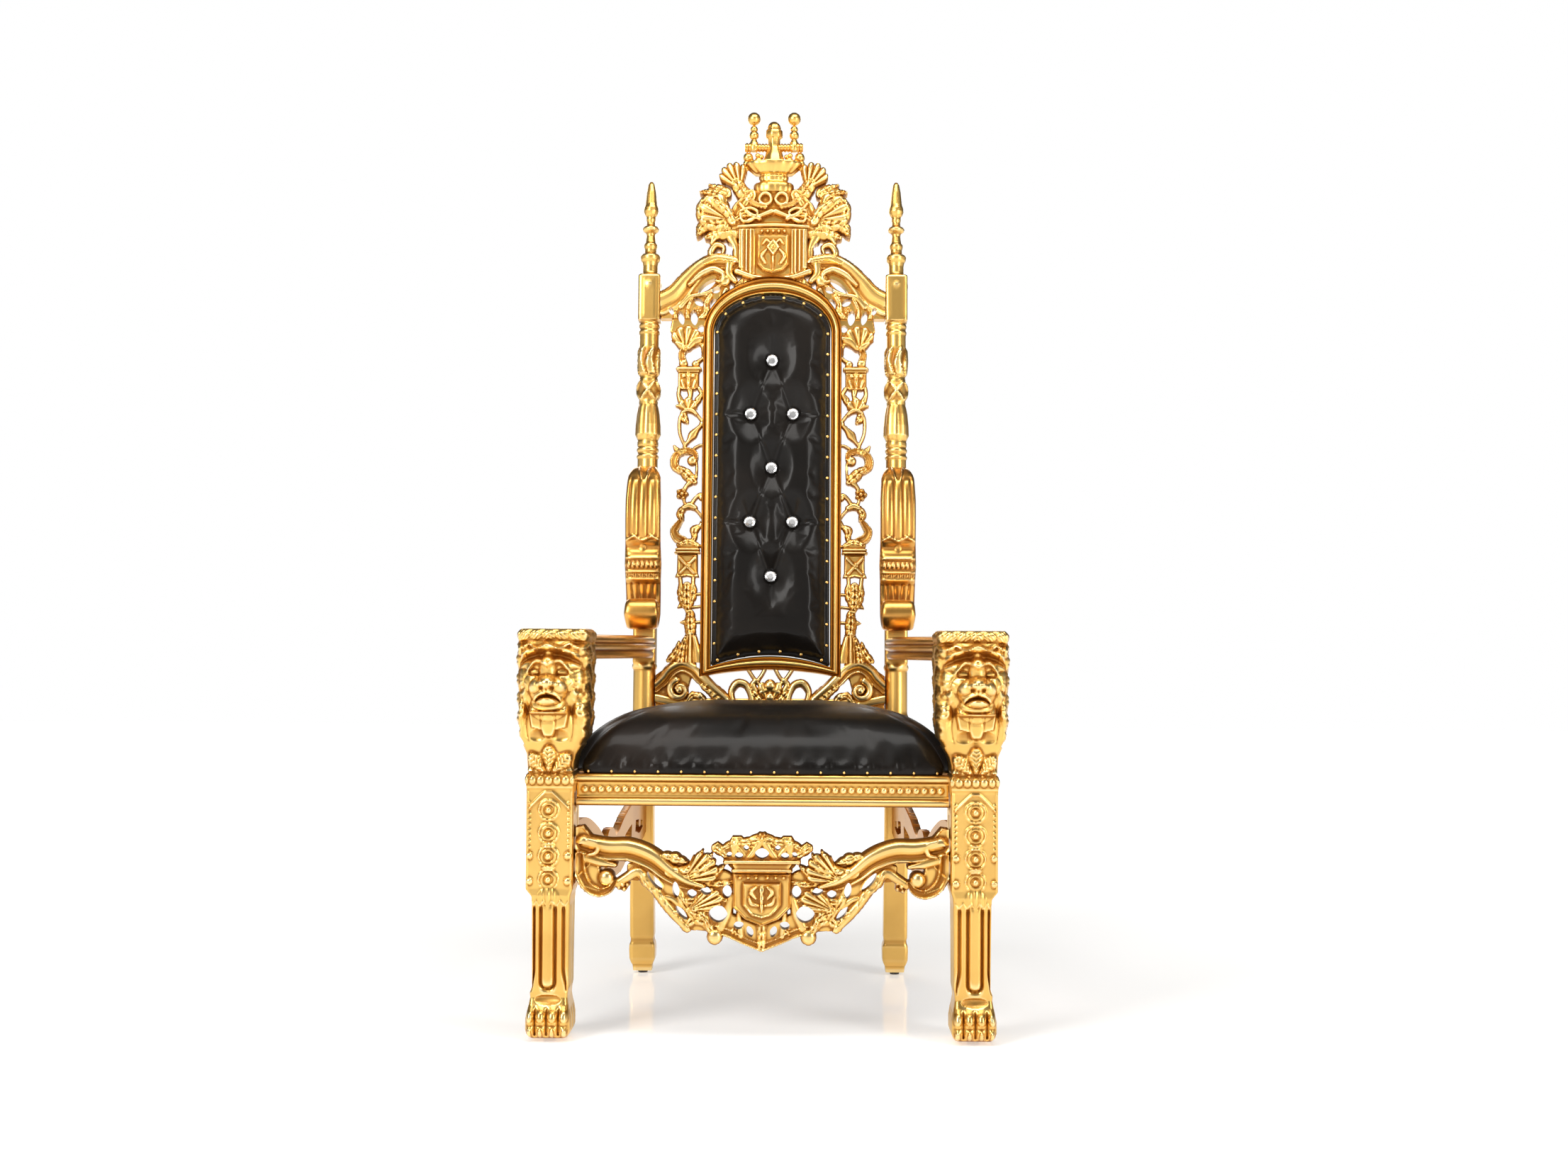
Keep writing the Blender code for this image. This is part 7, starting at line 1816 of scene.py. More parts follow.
def scroll_relief(a, z):
    """Height over (share across, height above the floor): reeds, lip, knuckle, cove and foot leaf."""
    reeds_run = smooth_step(0.899, 0.904, z) * (1 - smooth_step(1.012, 1.028, z))
    work = 0.0042 * (locks(2 * np.pi * a * 2.0) - 0.55) * reeds_run
    lip_line = 0.9005 - 0.0035 * np.cos(2 * np.pi * a)
    work = work + 0.0046 * bell(z - lip_line, 0.003)
    work = work - 0.0065 * bell(z - 0.8815, 0.0088)
    work = work + 0.002 * dome(a / 0.2, (z - 0.8815) / 0.0065, 0.6)
    for level, rise, wide in ((0.8625, 0.0042, 0.0026), (0.834, 0.004, 0.0026), (0.8195, 0.0042, 0.003)):
        work = work + rise * bell(z - level, wide)
    bead = dome((np.mod(a + 0.125, 0.25) - 0.125) / 0.115, (z - 0.8485) / 0.0075, 0.5)
    small = dome((np.mod(a + 0.0625, 0.125) - 0.0625) / 0.055, (z - 0.8268) / 0.0036, 0.5)
    work = work + 0.0036 * bead + 0.0024 * small
    cove = smooth_step(0.766, 0.772, z) * (1 - smooth_step(0.808, 0.815, z))
    work = work - 0.005 * cove + 0.0022 * (locks(2 * np.pi * a * 2.5 + 40 * (0.8 - z) * np.sign(a))
        - 0.5) * cove
    foot = 1 - smooth_step(0.758, 0.765, z)
    ribs = 0.5 + 0.5 * np.cos(2 * np.pi * z / 0.0085)
    work = work + foot * (0.0048 * dome(a / 0.36, 0, 0.5) * (0.6 + 0.4 * ribs) - 0.0022
        * bell(np.abs(a) - 0.66, 0.07))
    work = work + 0.0035 * bell(z - 0.7645, 0.003) * (np.abs(a) < 0.92)
    cap = smooth_step(1.014, 1.024, z)
    vee = np.abs(np.abs(a) - 0.16 - 9.0 * np.maximum(0, z - 1.02))
    return work + cap * (0.003 * bell(vee, 0.06) - 0.0016)


# %% Arm scrolls
def scroll_points(side):
    """The path's points over (step along, step around), with carving on the outer face."""
    path = smooth_line(np.stack([SCROLL_LINE[:, 0], up(ARM_HEAD + SCROLL_LINE[:, 1])], 1), 220)
    share = np.linspace(0, 1, len(SCROLL_LINE))
    steps = np.concatenate([[0], np.cumsum(np.linalg.norm(np.diff(path, axis=0), axis=1))])
    told = np.concatenate([[0], np.cumsum(np.linalg.norm(np.diff(SCROLL_LINE[:, :2], axis=0), axis=1))])
    thick = np.interp(steps / steps[-1], told / told[-1], SCROLL_LINE[:, 2])[:, None]
    wide = np.interp(steps / steps[-1], told / told[-1], SCROLL_LINE[:, 3])[:, None]
    along = np.gradient(path, axis=0)
    along /= np.linalg.norm(along, axis=1)[:, None]
    outward = np.stack([along[:, 1], -along[:, 0]], 1)
    columns = 44
    a = np.linspace(-1, 1, columns)[None]
    round_edge = np.sqrt(np.clip(1 - np.abs(a) ** 8, 0, 1))
    rolled = smooth_step(0.96, 1.0, share[-1] * np.linspace(0, 1, 220))[:, None]
    height = RAIL_HEAD + path[:, 1:2] * math.cos(LEAN)
    carving = scroll_relief(a + 0 * thick, height + 0 * a)
    front = thick * round_edge * (1 - 0.25 * rolled) + carving * round_edge
    back = -thick * round_edge * 0.8 + 0 * carving
    across = np.concatenate([a + 0 * thick, (a + 0 * thick)[:, ::-1][:, 1:-1]], 1) * wide * 0.0365
    off = np.concatenate([front, back[:, ::-1][:, 1:-1]], 1)
    forward = path[:, 0:1] + outward[:, 0:1] * off
    v = path[:, 1:2] + outward[:, 1:2] * off
    forward = 0.0235 + 0.0003 + np.maximum(forward, 0.0003)
    points = on_back(side * POST_X + across, forward, v)
    return points, np.concatenate([carving, 0 * carving[:, 1:-1]], 1)


for word, side in (("right", 1), ("left", -1)):
    points, carving = scroll_points(side)
    scroll = closed_rings(f"reeded_arm_scroll_{word}", points, deep_gold, hollows(carving, None, 4, 0.0016))
    settle(scroll, f"arm_scroll_{word}")

# %% [markdown]
# ## Panel moulding
#
# The arched frame round the pad is a mitred moulding: a rounded middle between two small reeds. One
# section is swept between the opening's outline and the moulding's own.

# %% Panel frame
FRAME_SECTION = np.array((
    (0.0, -0.013), (0.0, 0.0085), (0.03, 0.011), (0.09, 0.0128), (0.16, 0.0118), (0.2, 0.0092),
    (0.235, 0.0088),
    (0.27, 0.012), (0.35, 0.0168), (0.45, 0.0188), (0.55, 0.0188), (0.65, 0.017), (0.725, 0.0125),
    (0.76, 0.009),
    (0.79, 0.0094), (0.83, 0.0128), (0.9, 0.0148), (0.96, 0.0132), (1.0, 0.01), (1.0, -0.013),
))
# How hollow each section point is: the grooves take glaze and painted shade, the rounds a paler crest colour
# that is partly painted highlight.
FRAME_HOLLOWS = (0.4, 0.2, 0, -0.3, 0.2, 0.9, 0.9, 0.4, 0, -0.4, -0.4, 0, 0.5, 0.9, 0.8, 0.1, -0.3, 0, 0.4,
    0.4)
inner_line = arch_outline(ARCH_HALF, ARCH_CORNER, 0.022, ARCH_SPRING, ARCH_RISE, 72)
outer_line = arch_outline(
    ARCH_HALF + MOULDING, ARCH_CORNER - MOULDING, 0.016, ARCH_SPRING, ARCH_RISE + MOULDING_CROWN, 72,
)
swept = inner_line[None] + (outer_line - inner_line)[None] * FRAME_SECTION[:, :1, None]
raised = FRAME_SECTION[:, 1:2] + 0 * swept[..., 0]
frame_points = on_back(swept[..., 0].ravel(), raised.ravel(), swept[..., 1].ravel())
rows, around = swept.shape[:2]
frame_faces = grid_faces(rows, around, wrap_rows=True, wrap_columns=True)
panel = put_mesh("moulded_panel_frame", frame_points, [frame_faces], bright_gold, 50.0)
set_hollow(panel, np.repeat(FRAME_HOLLOWS, around))
settle(panel, "panel_frame")

# %% [markdown]
# ## Leather
#
# Both cushions are glossy black leather: fine pebbled grain, a painted brown-grey sheen in random
# cloudy patches and a clear top coat. Seat and pad share the grain. An upholsterer nails it round the edge
# and pins
# it down with buttons, so the pad is a sheet with spare width, held at its border and at seven points
# and blown out by pressure as cloth.

# %% Leather finish
grain, asked, given = new_group(
    "leather_grain",
    (("Hide", (0.0055, 0.0045, 0.0038, 1.0)), ("Painted sheen", (0.022, 0.017, 0.013, 1.0)), ("Gloss", 0.27)),
    (("Color", "NodeSocketColor"), ("Roughness", "NodeSocketFloat"), ("Height", "NodeSocketFloat")),
)
spot = grain.nodes.new("ShaderNodeTexCoord").outputs["Object"]
pebbles = grain.nodes.new("ShaderNodeTexVoronoi")
pebbles.feature = "SMOOTH_F1"
pebbles.inputs["Scale"].default_value = 620.0
grain.links.new(spot, pebbles.inputs["Vector"])
cloud = speckle(grain, spot, 7.0, 3.0)
fine = speckle(grain, spot, 260.0, 4.0, 0.6)
# Painted sheen: the brown-grey colour is mixed in where the cloud noise is high.
share = eased(grain, cloud, 0.35, 0.75, 0.0, 0.8)
grain.links.new(blend_colours(grain, share, asked.outputs["Hide"], asked.outputs["Painted sheen"]),
    given.inputs["Color"])
worn = calculate(grain, "MULTIPLY_ADD", fine, 0.12, asked.outputs["Gloss"])
grain.links.new(calculate(grain, "MULTIPLY_ADD", cloud, 0.1, worn), given.inputs["Roughness"])
relief = calculate(grain, "MULTIPLY_ADD", fine, 0.7, pebbles.outputs["Distance"])
grain.links.new(relief, given.inputs["Height"])


def leather_finish(name, painted_sheen, gloss, bump):
    """A lacquered leather fed by the grain group."""
    made = bpy.data.materials.new(name)
    made.use_nodes = True
    tree = made.node_tree
    shader = tree.nodes["Principled BSDF"]
    effect = tree.nodes.new("ShaderNodeGroup")
    effect.node_tree = grain
    effect.inputs["Painted sheen"].default_value = (*painted_sheen, 1)
    effect.inputs["Gloss"].default_value = gloss
    raised = tree.nodes.new("ShaderNodeBump")
    raised.inputs["Strength"].default_value = bump
    raised.inputs["Distance"].default_value = 0.0004
    tree.links.new(effect.outputs["Color"], shader.inputs["Base Color"])
    tree.links.new(effect.outputs["Roughness"], shader.inputs["Roughness"])
    tree.links.new(effect.outputs["Height"], raised.inputs["Height"])
    tree.links.new(raised.outputs["Normal"], shader.inputs["Normal"])
    shader.inputs["Specular IOR Level"].default_value = 0.12
    shader.inputs["Coat Weight"].default_value = 0.12
    shader.inputs["Coat Roughness"].default_value = 0.14
    return made


# The colour given to each is its brown-grey painted sheen.
seat_leather = leather_finish("seat_leather", (0.018, 0.012, 0.009), 0.28, 0.16)
pad_leather = leather_finish("pad_leather", (0.013, 0.01, 0.008), 0.25, 0.12)


# %% Swelling
def swell(piece, held, pressure, surplus, frames, cap):
    """Blows a closed mesh out as cloth, with held points pinned, and keeps the shape it reaches."""
    count = len(piece.data.vertices)
    before = np.empty(count * 3, np.float32)
    piece.data.vertices.foreach_get("co", before)
    piece.vertex_groups.new(name="held").add(np.nonzero(held)[0].tolist(), 1.0, "REPLACE")
    cloth = piece.modifiers.new("swell", "CLOTH")
    settings = cloth.settings
    settings.vertex_group_mass = "held"
    settings.quality = 5
    settings.mass = 0.4
    settings.tension_stiffness = settings.compression_stiffness = 30
    settings.shear_stiffness = 12
    settings.bending_stiffness = 1.5
    settings.use_pressure = True
    settings.uniform_pressure_force = pressure
    settings.shrink_min = -surplus
    settings.effector_weights.gravity = 0
    cloth.collision_settings.use_collision = False
    cloth.point_cache.frame_start = 1
    cloth.point_cache.frame_end = frames
    scene = bpy.context.scene
    for frame in range(1, frames + 1):
        scene.frame_set(frame)
    swollen = piece.evaluated_get(bpy.context.evaluated_depsgraph_get())
    after = np.empty(count * 3, np.float32)
    swollen.data.vertices.foreach_get("co", after)
    piece.modifiers.remove(cloth)
    move = (after - before).reshape(-1, 3)
    far = np.linalg.norm(move, axis=1)[:, None]
    move *= np.minimum(1, cap / np.maximum(far, 1e-9))
    piece.data.vertices.foreach_set("co", (before.reshape(-1, 3) + move).ravel())
    piece.data.update()
    scene.frame_set(1)
    print(f"{piece.name}: swelled by {far.mean() * 1000:.1f} mm, at most {far.max() * 1000:.1f} mm")


def refine(piece):
    """One smooth subdivision for screen and render alike."""
    smoother = piece.modifiers.new("smoother", "SUBSURF")
    smoother.levels = smoother.render_levels = 1


# %% Back pad
BUTTONS = [
    (a * 0.0445, 1.0575 + row * 0.1147)
    for row, across in ((2, (0,)), (1, (-1, 1)), (0, (0,)), (-1, (-1, 1)), (-2, (0,)))
    for a in across
]
pad_line = arch_outline(ARCH_HALF - 0.0006, ARCH_CORNER + 0.0006, 0.022, ARCH_SPRING, ARCH_RISE - 0.0006)


class Tufted(Plate):
    """The pad before it swells: a nailed border, a soft shoulder, and dimples with creases between."""

    def measure(self, x, z):
        depth = outline_depth(self.outline, x, z)
        slope = np.clip((depth - 0.013) / 0.046, 0, 1)
        rise = 0.011 + 0.0245 * np.sqrt(slope * (2 - slope))
        soft = smooth_step(0.012, 0.05, depth)
        pits = 0 * rise
        for across, level in BUTTONS:
            away = np.hypot((x - across) / 0.043, (z - up(level)) / 0.072)
            pits = np.maximum(pits, np.maximum(0, 1 - away**1.5) ** 1.7)
            rise = rise - 0.0045 * soft * bell(np.hypot(x - across, z - up(level)), 0.01)
        rise = rise - 0.019 * soft * pits
        for (x1, v1), (x2, v2) in CREASES:
            dx, dz = x2 - x1, up(v2) - up(v1)
            t = np.clip(((x - x1) * dx + (z - up(v1)) * dz) / (dx * dx + dz * dz), 0, 1)
            away = np.hypot(x - x1 - t * dx, z - up(v1) - t * dz)
            rise = rise - 0.003 * soft * bell(away, 0.0045)
        return depth, rise


CREASES = [(p, q) for p in BUTTONS for q in BUTTONS if p < q and abs(p[0] - q[0]) > 0.02
    and abs(p[1] - q[1]) > 0.05
           and abs(p[1] - q[1]) < 0.15]
CREASES += [(p, (p[0] * 2.15, p[1] - 0.002)) for p in BUTTONS if p[0]]
CREASES += [(BUTTONS[0], (0.0, 1.335)), (BUTTONS[-1], (0.0, 0.765))]
pad = relief_board(
    "tufted_back_pad", [Tufted(pad_line, 0.011)], on_back, 0.0, 0.01, (-0.126, up(0.638)), (0.126, up(1.436)),
    0.0042,
    (), pad_leather,
)
count = len(pad.data.vertices)
co = np.empty(count * 3, np.float32)
pad.data.vertices.foreach_get("co", co)
co = co.reshape(-1, 3)
along = (co[:, 2] - RAIL_HEAD) / math.cos(LEAN) + 0 * co[:, 0]
along = along + (POST_Y - co[:, 1] + (co[:, 2] - RAIL_HEAD) * math.tan(LEAN)) * math.sin(LEAN)
held = outline_depth(pad_line, co[:, 0], along) < 0.014
for across, level in BUTTONS:
    held |= np.hypot(co[:, 0] - across, along - up(level)) < 0.0085
swell(pad, held, 1.4, 0.01, 14, 0.003)
refine(pad)
settle(pad, "back_pad")

# %% [markdown]
# ## Seat cushion
#
# The seat is a domed cushion nailed down all round: rings of the seat's plan that draw in as they
# rise, with puckers between the nails along the foot. It swells a little under pressure as well,
# and short pulled creases are then pressed into its front above the nails.


# %% Seat cushion
def seat_plan(count=448):
    """The seat's outline, notched round the legs, with even steps and softened corners."""
    front, notch, rear = LEG_Y - 0.004, LEG_Y + 0.0475, POST_Y - 0.0241
    wide, waist, back = LEG_X - 0.0475, LEG_X - 0.021, POST_X + 0.021
    right = [
        (0.0, front - 0.004), (0.5 * wide, front - 0.003), (wide - 0.012, front), (wide, front + 0.01),
        (wide, notch - 0.004), (wide + 0.006, notch + 0.003), (waist - 0.006, notch + 0.008),
        (waist, notch + 0.02),
        (waist - 0.002, notch + 0.06), ((waist + back) / 2, (notch + rear) / 2 + 0.02),
        (back + 0.004, rear - 0.05),
        (back - 0.004, rear - 0.012), (back - 0.018, rear - 0.001), (0.5 * back, rear),
    ]
    loop = np.array(right + [(0.0, rear)] + [(-x, y) for x, y in reversed(right[1:])])
    loop = np.concatenate([loop, loop[:1]])
    steps = np.concatenate([[0], np.cumsum(np.linalg.norm(np.diff(loop, axis=0), axis=1))])
    at = np.linspace(0, steps[-1], count + 1)[:-1]
    plan = np.stack([np.interp(at, steps, loop[:, k]) for k in (0, 1)], 1)
    for _ in range(8):
        plan = (np.roll(plan, 1, 0) + 2 * plan + np.roll(plan, -1, 0)) / 4
    return plan, at


plan, around_seat = seat_plan()
SEAT_FOOT, SEAT_CROWN = 0.4588, 0.5745
# Share of the rise, and the plan's size there
SEAT_ROWS = np.array((
    (0.0, 0.988), (0.02, 0.994), (0.05, 0.996), (0.08, 0.996), (0.12, 0.994), (0.16, 0.99), (0.2, 0.984),
    (0.29, 0.969),
    (0.38, 0.95), (0.47, 0.927), (0.56, 0.898), (0.64, 0.864), (0.71, 0.827), (0.77, 0.789), (0.82, 0.75),
    (0.865, 0.708), (0.9, 0.667), (0.93, 0.62), (0.955, 0.566), (0.975, 0.498), (0.99, 0.4), (0.998, 0.28),
    (1.001, 0.12),
))
middle = np.array([0.0, -0.015])
rise = SEAT_ROWS[:, :1]
pucker = 0.0022 * np.abs(np.sin(np.pi * around_seat / 0.0415))[None] * np.exp(-(((rise - 0.1) / 0.1) ** 2))
ring = middle + (plan - middle)[None] * SEAT_ROWS[:, 1:2, None]
outward = (plan - middle) / np.linalg.norm(plan - middle, axis=1)[:, None]
ring = ring + outward[None] * (pucker - 0.0024)[..., None]
seat_height = SEAT_FOOT + rise * (SEAT_CROWN - SEAT_FOOT) + 0 * pucker
seat = closed_rings("domed_seat_cushion", np.concatenate([ring, seat_height[..., None]], 2), seat_leather,
    0 * pucker, 60.0)
co = np.empty(len(seat.data.vertices) * 3, np.float32)
seat.data.vertices.foreach_get("co", co)
held = co.reshape(-1, 3)[:, 2] < 0.47
swell(seat, held, 1.2, 0.008, 12, 0.004)
co = np.empty(len(seat.data.vertices) * 3, np.float32)
seat.data.vertices.foreach_get("co", co)
co = co.reshape(-1, 3)
creases = np.sin(2 * np.pi * (co[:, 0] / 0.0145 + 0.45 * np.sin(2 * np.pi * co[:, 0] / 0.071)))
creases *= 0.25 + bell(np.abs(co[:, 0]) - 0.19, 0.1)
co[:, 1] -= 0.0024 * creases * bell(co[:, 2] - 0.4745, 0.0075) * (co[:, 1] < -0.28)
seat.data.vertices.foreach_set("co", co.ravel())
seat.data.update()
settle(seat, "seat_cushion")


# %% [markdown]
# ## Nails and crystals
#
# Small domed brass nails hold both covers. The buttons are round brilliants over silver foil, which
# is what makes such glass sparkle.

# %% Nail heads
def domes(name, places, normals, radius, rise, material, columns=10):
    """Closed domes, one at each place, that stand out along its normal."""
    places, normals = np.asarray(places, float), np.asarray(normals, float)
    normals /= np.linalg.norm(normals, axis=1)[:, None]
    guide = np.where(np.abs(normals[:, 2:]) < 0.9, [[0.0, 0.0, 1.0]], [[1.0, 0.0, 0.0]])
    side = np.cross(guide, normals)
    side /= np.linalg.norm(side, axis=1)[:, None]
    other = np.cross(normals, side)
    levels = np.array(((1.0, -0.4), (1.0, 0.0), (0.92, 0.4), (0.7, 0.72), (0.38, 0.94)))
    turn = 2 * np.pi * np.arange(columns) / columns
    across = levels[:, :1] * np.cos(turn) * radius
    upward = levels[:, :1] * np.sin(turn) * radius
    out = levels[:, 1:2] * rise + 0 * across
    rings = (places[:, None, None] + across[None, ..., None] * side[:, None, None]
             + upward[None, ..., None] * other[:, None, None] + out[None, ..., None] * normals[:, None, None])
    tips = places + normals * rise
    bases = places - normals * rise * 0.4
    shell = np.concatenate([rings.reshape(len(places), -1, 3), tips[:, None], bases[:, None]], 1)
    size = shell.shape[1]
    faces = grid_faces(len(levels), columns, wrap_columns=True)
    j = np.arange(columns)
    k = (j + 1) % columns
    last = (len(levels) - 1) * columns
    caps = np.concatenate([
        np.stack([last + j, last + k, np.full(columns, size - 2)], 1),
        np.stack([k, j, np.full(columns, size - 1)], 1),
    ])
    start = (np.arange(len(places)) * size)[:, None, None]
    piece = put_mesh(name, shell.reshape(-1, 3),
        [(faces + start).reshape(-1, 4), (caps + start).reshape(-1, 3)], material)
    # A hollow of -0.4 gives the nail heads some of the paler crest colour, partly painted highlight.
    set_hollow(piece, np.full(len(places) * size, -0.4))
    return piece


def even_points(line, spacing):
    """Points on a closed line at nearly this spacing."""
    loop = np.concatenate([line, line[:1]])
    steps = np.concatenate([[0], np.cumsum(np.linalg.norm(np.diff(loop, axis=0), axis=1))])
    at = np.arange(round(steps[-1] / spacing)) * steps[-1] / round(steps[-1] / spacing)
    return np.stack([np.interp(at, steps, loop[:, k]) for k in (0, 1)], 1)


nailed = even_points(arch_outline(ARCH_HALF - 0.0075, ARCH_CORNER + 0.0105, 0.022, ARCH_SPRING,
    ARCH_RISE - 0.0075), 0.044)
pad_nails = on_back(nailed[:, 0], np.full(len(nailed), 0.0112), nailed[:, 1])
leaning = np.array((0.0, -math.cos(LEAN), math.sin(LEAN)))
settle(domes("pad_nails", pad_nails, np.tile(leaning, (len(nailed), 1)), 0.0036, 0.0026, bright_gold), None)
front_nails = np.linspace(-0.305, 0.305, 16)
seat_places = [(x, LEG_Y - 0.005, 0.463) for x in front_nails]
seat_normals = [(0.0, -1.0, 0.1)] * len(front_nails)
settle(domes("seat_nails", seat_places, seat_normals, 0.0025, 0.002, bright_gold), None)


# %% Crystal finish
def plain_finish(name, colour, metallic, roughness, scale, spread):
    """A finish whose roughness wanders a little over the surface."""
    made = bpy.data.materials.new(name)
    made.use_nodes = True
    tree = made.node_tree
    shader = tree.nodes["Principled BSDF"]
    place = tree.nodes.new("ShaderNodeTexCoord").outputs["Object"]
    grainy = speckle(tree, place, scale, 3.0)
    tree.links.new(calculate(tree, "MULTIPLY_ADD", grainy, spread, roughness), shader.inputs["Roughness"])
    shader.inputs["Base Color"].default_value = (*colour, 1)
    shader.inputs["Metallic"].default_value = metallic
    return made


cut_crystal = plain_finish("cut_crystal", (1.0, 1.0, 1.0), 0.0, 0.0, 300.0, 0.04)
cut_crystal.node_tree.nodes["Principled BSDF"].inputs["Transmission Weight"].default_value = 1.0
cut_crystal.node_tree.nodes["Principled BSDF"].inputs["IOR"].default_value = 1.62
silver_foil = plain_finish("silver_foil", (0.95, 0.95, 0.96), 1.0, 0.1, 500.0, 0.2)
dark_nylon = plain_finish("dark_nylon", (0.035, 0.033, 0.032), 0.0, 0.45, 220.0, 0.2)


# %% Crystal buttons
FACETS = 12
CUT = ((0.0016, 0.0108, 0.0), (0.0038, 0.0124, 0.5), (0.0046, 0.0124, 0.5), (0.0076, 0.0092, 0.0),
    (0.0092, 0.0056, 0.5))
FOIL = ((-0.0022, 0.0122, 0.0), (0.0004, 0.0126, 0.0), (0.0012, 0.0118, 0.0))


def cut_rings(place, rows):
    """Rings of a cut stone round its button's middle: distance forward, radius and part of a step turned."""
    across, level = place
    points = []
    for rise, radius, shift in rows:
        turn = 2 * np.pi * (np.arange(FACETS) + shift) / FACETS
        points.append(on_back(across + radius * np.cos(turn), np.full(FACETS, 0.0213 + rise),
            up(level) + radius * np.sin(turn)))
    return np.stack(points)


for number, place in enumerate(sorted(BUTTONS, key=lambda p: (-p[1], p[0])), 1):
    stone = closed_rings(f"cut_crystal_button_{number}", cut_rings(place, CUT), cut_crystal,
        np.zeros((5, FACETS)), 5.0)
    settle(stone, f"crystal_button_{number}")
    foil = closed_rings(f"button_foil_{number}", cut_rings(place, FOIL), silver_foil, np.zeros((3, FACETS)),
        30.0)
    settle(foil, None)

# %% [markdown]
# ## Rails and stretchers
#
# The front rail carries a row of beads between two mouldings. The side and back rails stay as the CAD
# made them, in the same gold. The pierced side stretchers are plainer boards in the same manner as
# the apron.

# %% Front rail
rail_half = LEG_X - 0.0438
rail_strokes = [
    Plate([(-rail_half, RAIL_FOOT), (rail_half, RAIL_FOOT), (rail_half, RAIL_HEAD), (-rail_half, RAIL_HEAD)],
        0.001),
    Band([(-rail_half - 0.01, 0.452), (0.0, 0.452), (rail_half + 0.01, 0.452)], [0.0064], "round", 0.0066),
    Band([(-rail_half - 0.01, 0.443), (0.0, 0.443), (rail_half + 0.01, 0.443)], [0.0018], "round", 0.0024),
    Band([(-rail_half - 0.01, 0.419), (0.0, 0.419), (rail_half + 0.01, 0.419)], [0.0018], "round", 0.0024),
    Band([(-rail_half - 0.01, 0.4098), (0.0, 0.4098), (rail_half + 0.01, 0.4098)], [0.0064], "round", 0.0066),
]
for x in (np.arange(45) - 22) * 0.01415:
    rail_strokes.append(Knob((x, 0.4313), 0.006, 0.0042, 0.001))


def rail_ends(x, z):
    """Positive within the front rail's own rectangle."""
    return np.minimum(rail_half - np.abs(x), np.minimum(z - RAIL_FOOT, RAIL_HEAD - z)) + 1e-4


def on_front(across, forward, height):
    """Points of the front rail."""
    return np.stack([across, LEG_Y - forward, height], -1)


rail = relief_board(
    "beaded_front_rail", rail_strokes, on_front, 0.0, 0.03, (-0.327, 0.4016), (0.327, 0.46), 0.0013,
    (rail_ends,),
)
settle(rail, "seat_rail_front")

# %% Kept rails and glides
for node in ("seat_rail_left", "seat_rail_right", "seat_rail_back"):
    bpy.data.objects[node].material_slots[0].material = deep_gold
for node in ("front_glide_left", "front_glide_right", "rear_glide_left", "rear_glide_right"):
    bpy.data.objects[node].material_slots[0].material = dark_nylon


# %% Side stretchers
STRETCH = 0.5347


def side_strokes():
    """A stretcher's strokes, in metres from its middle and height."""

    def at(*points):
        return [((t - 0.5) * STRETCH, z) for t, z in points]

    strokes = [
        Plate(at((0.0, 0.299), (0.0, 0.362), (0.055, 0.37), (0.055, 0.291)), 0.004),
        Band(at((0.03, 0.344), (0.16, 0.35), (0.3, 0.33), (0.42, 0.302), (0.5, 0.298)),
             [0.02, 0.02, 0.018, 0.016, 0.016], "moulding", 0.0055),
        Band(at((0.03, 0.306), (0.1, 0.29), (0.18, 0.296), (0.26, 0.28), (0.36, 0.254), (0.5, 0.246)),
             [0.012, 0.012, 0.01, 0.01, 0.01, 0.012], "reeds", 0.0045),
        Band(at((0.18, 0.346), (0.19, 0.316), (0.2, 0.286)), [0.014], "round", 0.004),
        Band(at((0.34, 0.318), (0.36, 0.286), (0.38, 0.254)), [0.016, 0.014], "round", 0.004),
        Band(at((0.5, 0.3), (0.5, 0.272), (0.5, 0.244)), [0.034, 0.028], "rims", 0.004),
    ]
    for t, z, r in ((0.19, 0.316, 0.009), (0.36, 0.286, 0.009), (0.1, 0.322, 0.008), (0.028, 0.331, 0.011),
        (0.5, 0.272, 0.012)):
        strokes.append(Knob(at((t, z))[0], r, 0.005, 0.003))
    return both_sides(strokes)


def stretcher_place(side):
    """Places a board between a front leg's back and a back post, its plane along the side."""

    def place(along, forward, height):
        start = LEG_Y + 0.0438
        share = along / STRETCH + 0.5
        y = start + (spine(height) - 0.0238 - start) * share
        x = LEG_X - 0.0215 + (POST_X - LEG_X + 0.0215) * share
        return np.stack(np.broadcast_arrays(side * (x + forward), y, height), -1)

    return place


def stretcher_ends(x, z):
    """Positive between the leg and the post."""
    return STRETCH / 2 - np.abs(x)


for word, side in (("right", 1), ("left", -1)):
    board = relief_board(
        f"carved_side_stretcher_{word}", side_strokes(), stretcher_place(side), 0.004, 0.009,
        (-STRETCH / 2 - 0.004, 0.23),
        (STRETCH / 2 + 0.004, 0.376), 0.0022, (stretcher_ends,), deep_gold,
    )
    settle(board, f"side_stretcher_{word}")


# %% [markdown]
# ## Crown
#
# A small coronet tops the crest: moulded foot, scalloped cup, ringed cross bar, two stems with balls
# and an acorn in the middle. A turner would make most of these parts, so each is a profile turned
# about its own axis. They are joined in one mesh.

# %% Turned parts
CROWN_TOP = up(1.8299)
CROWN_LIFT = 0.0065


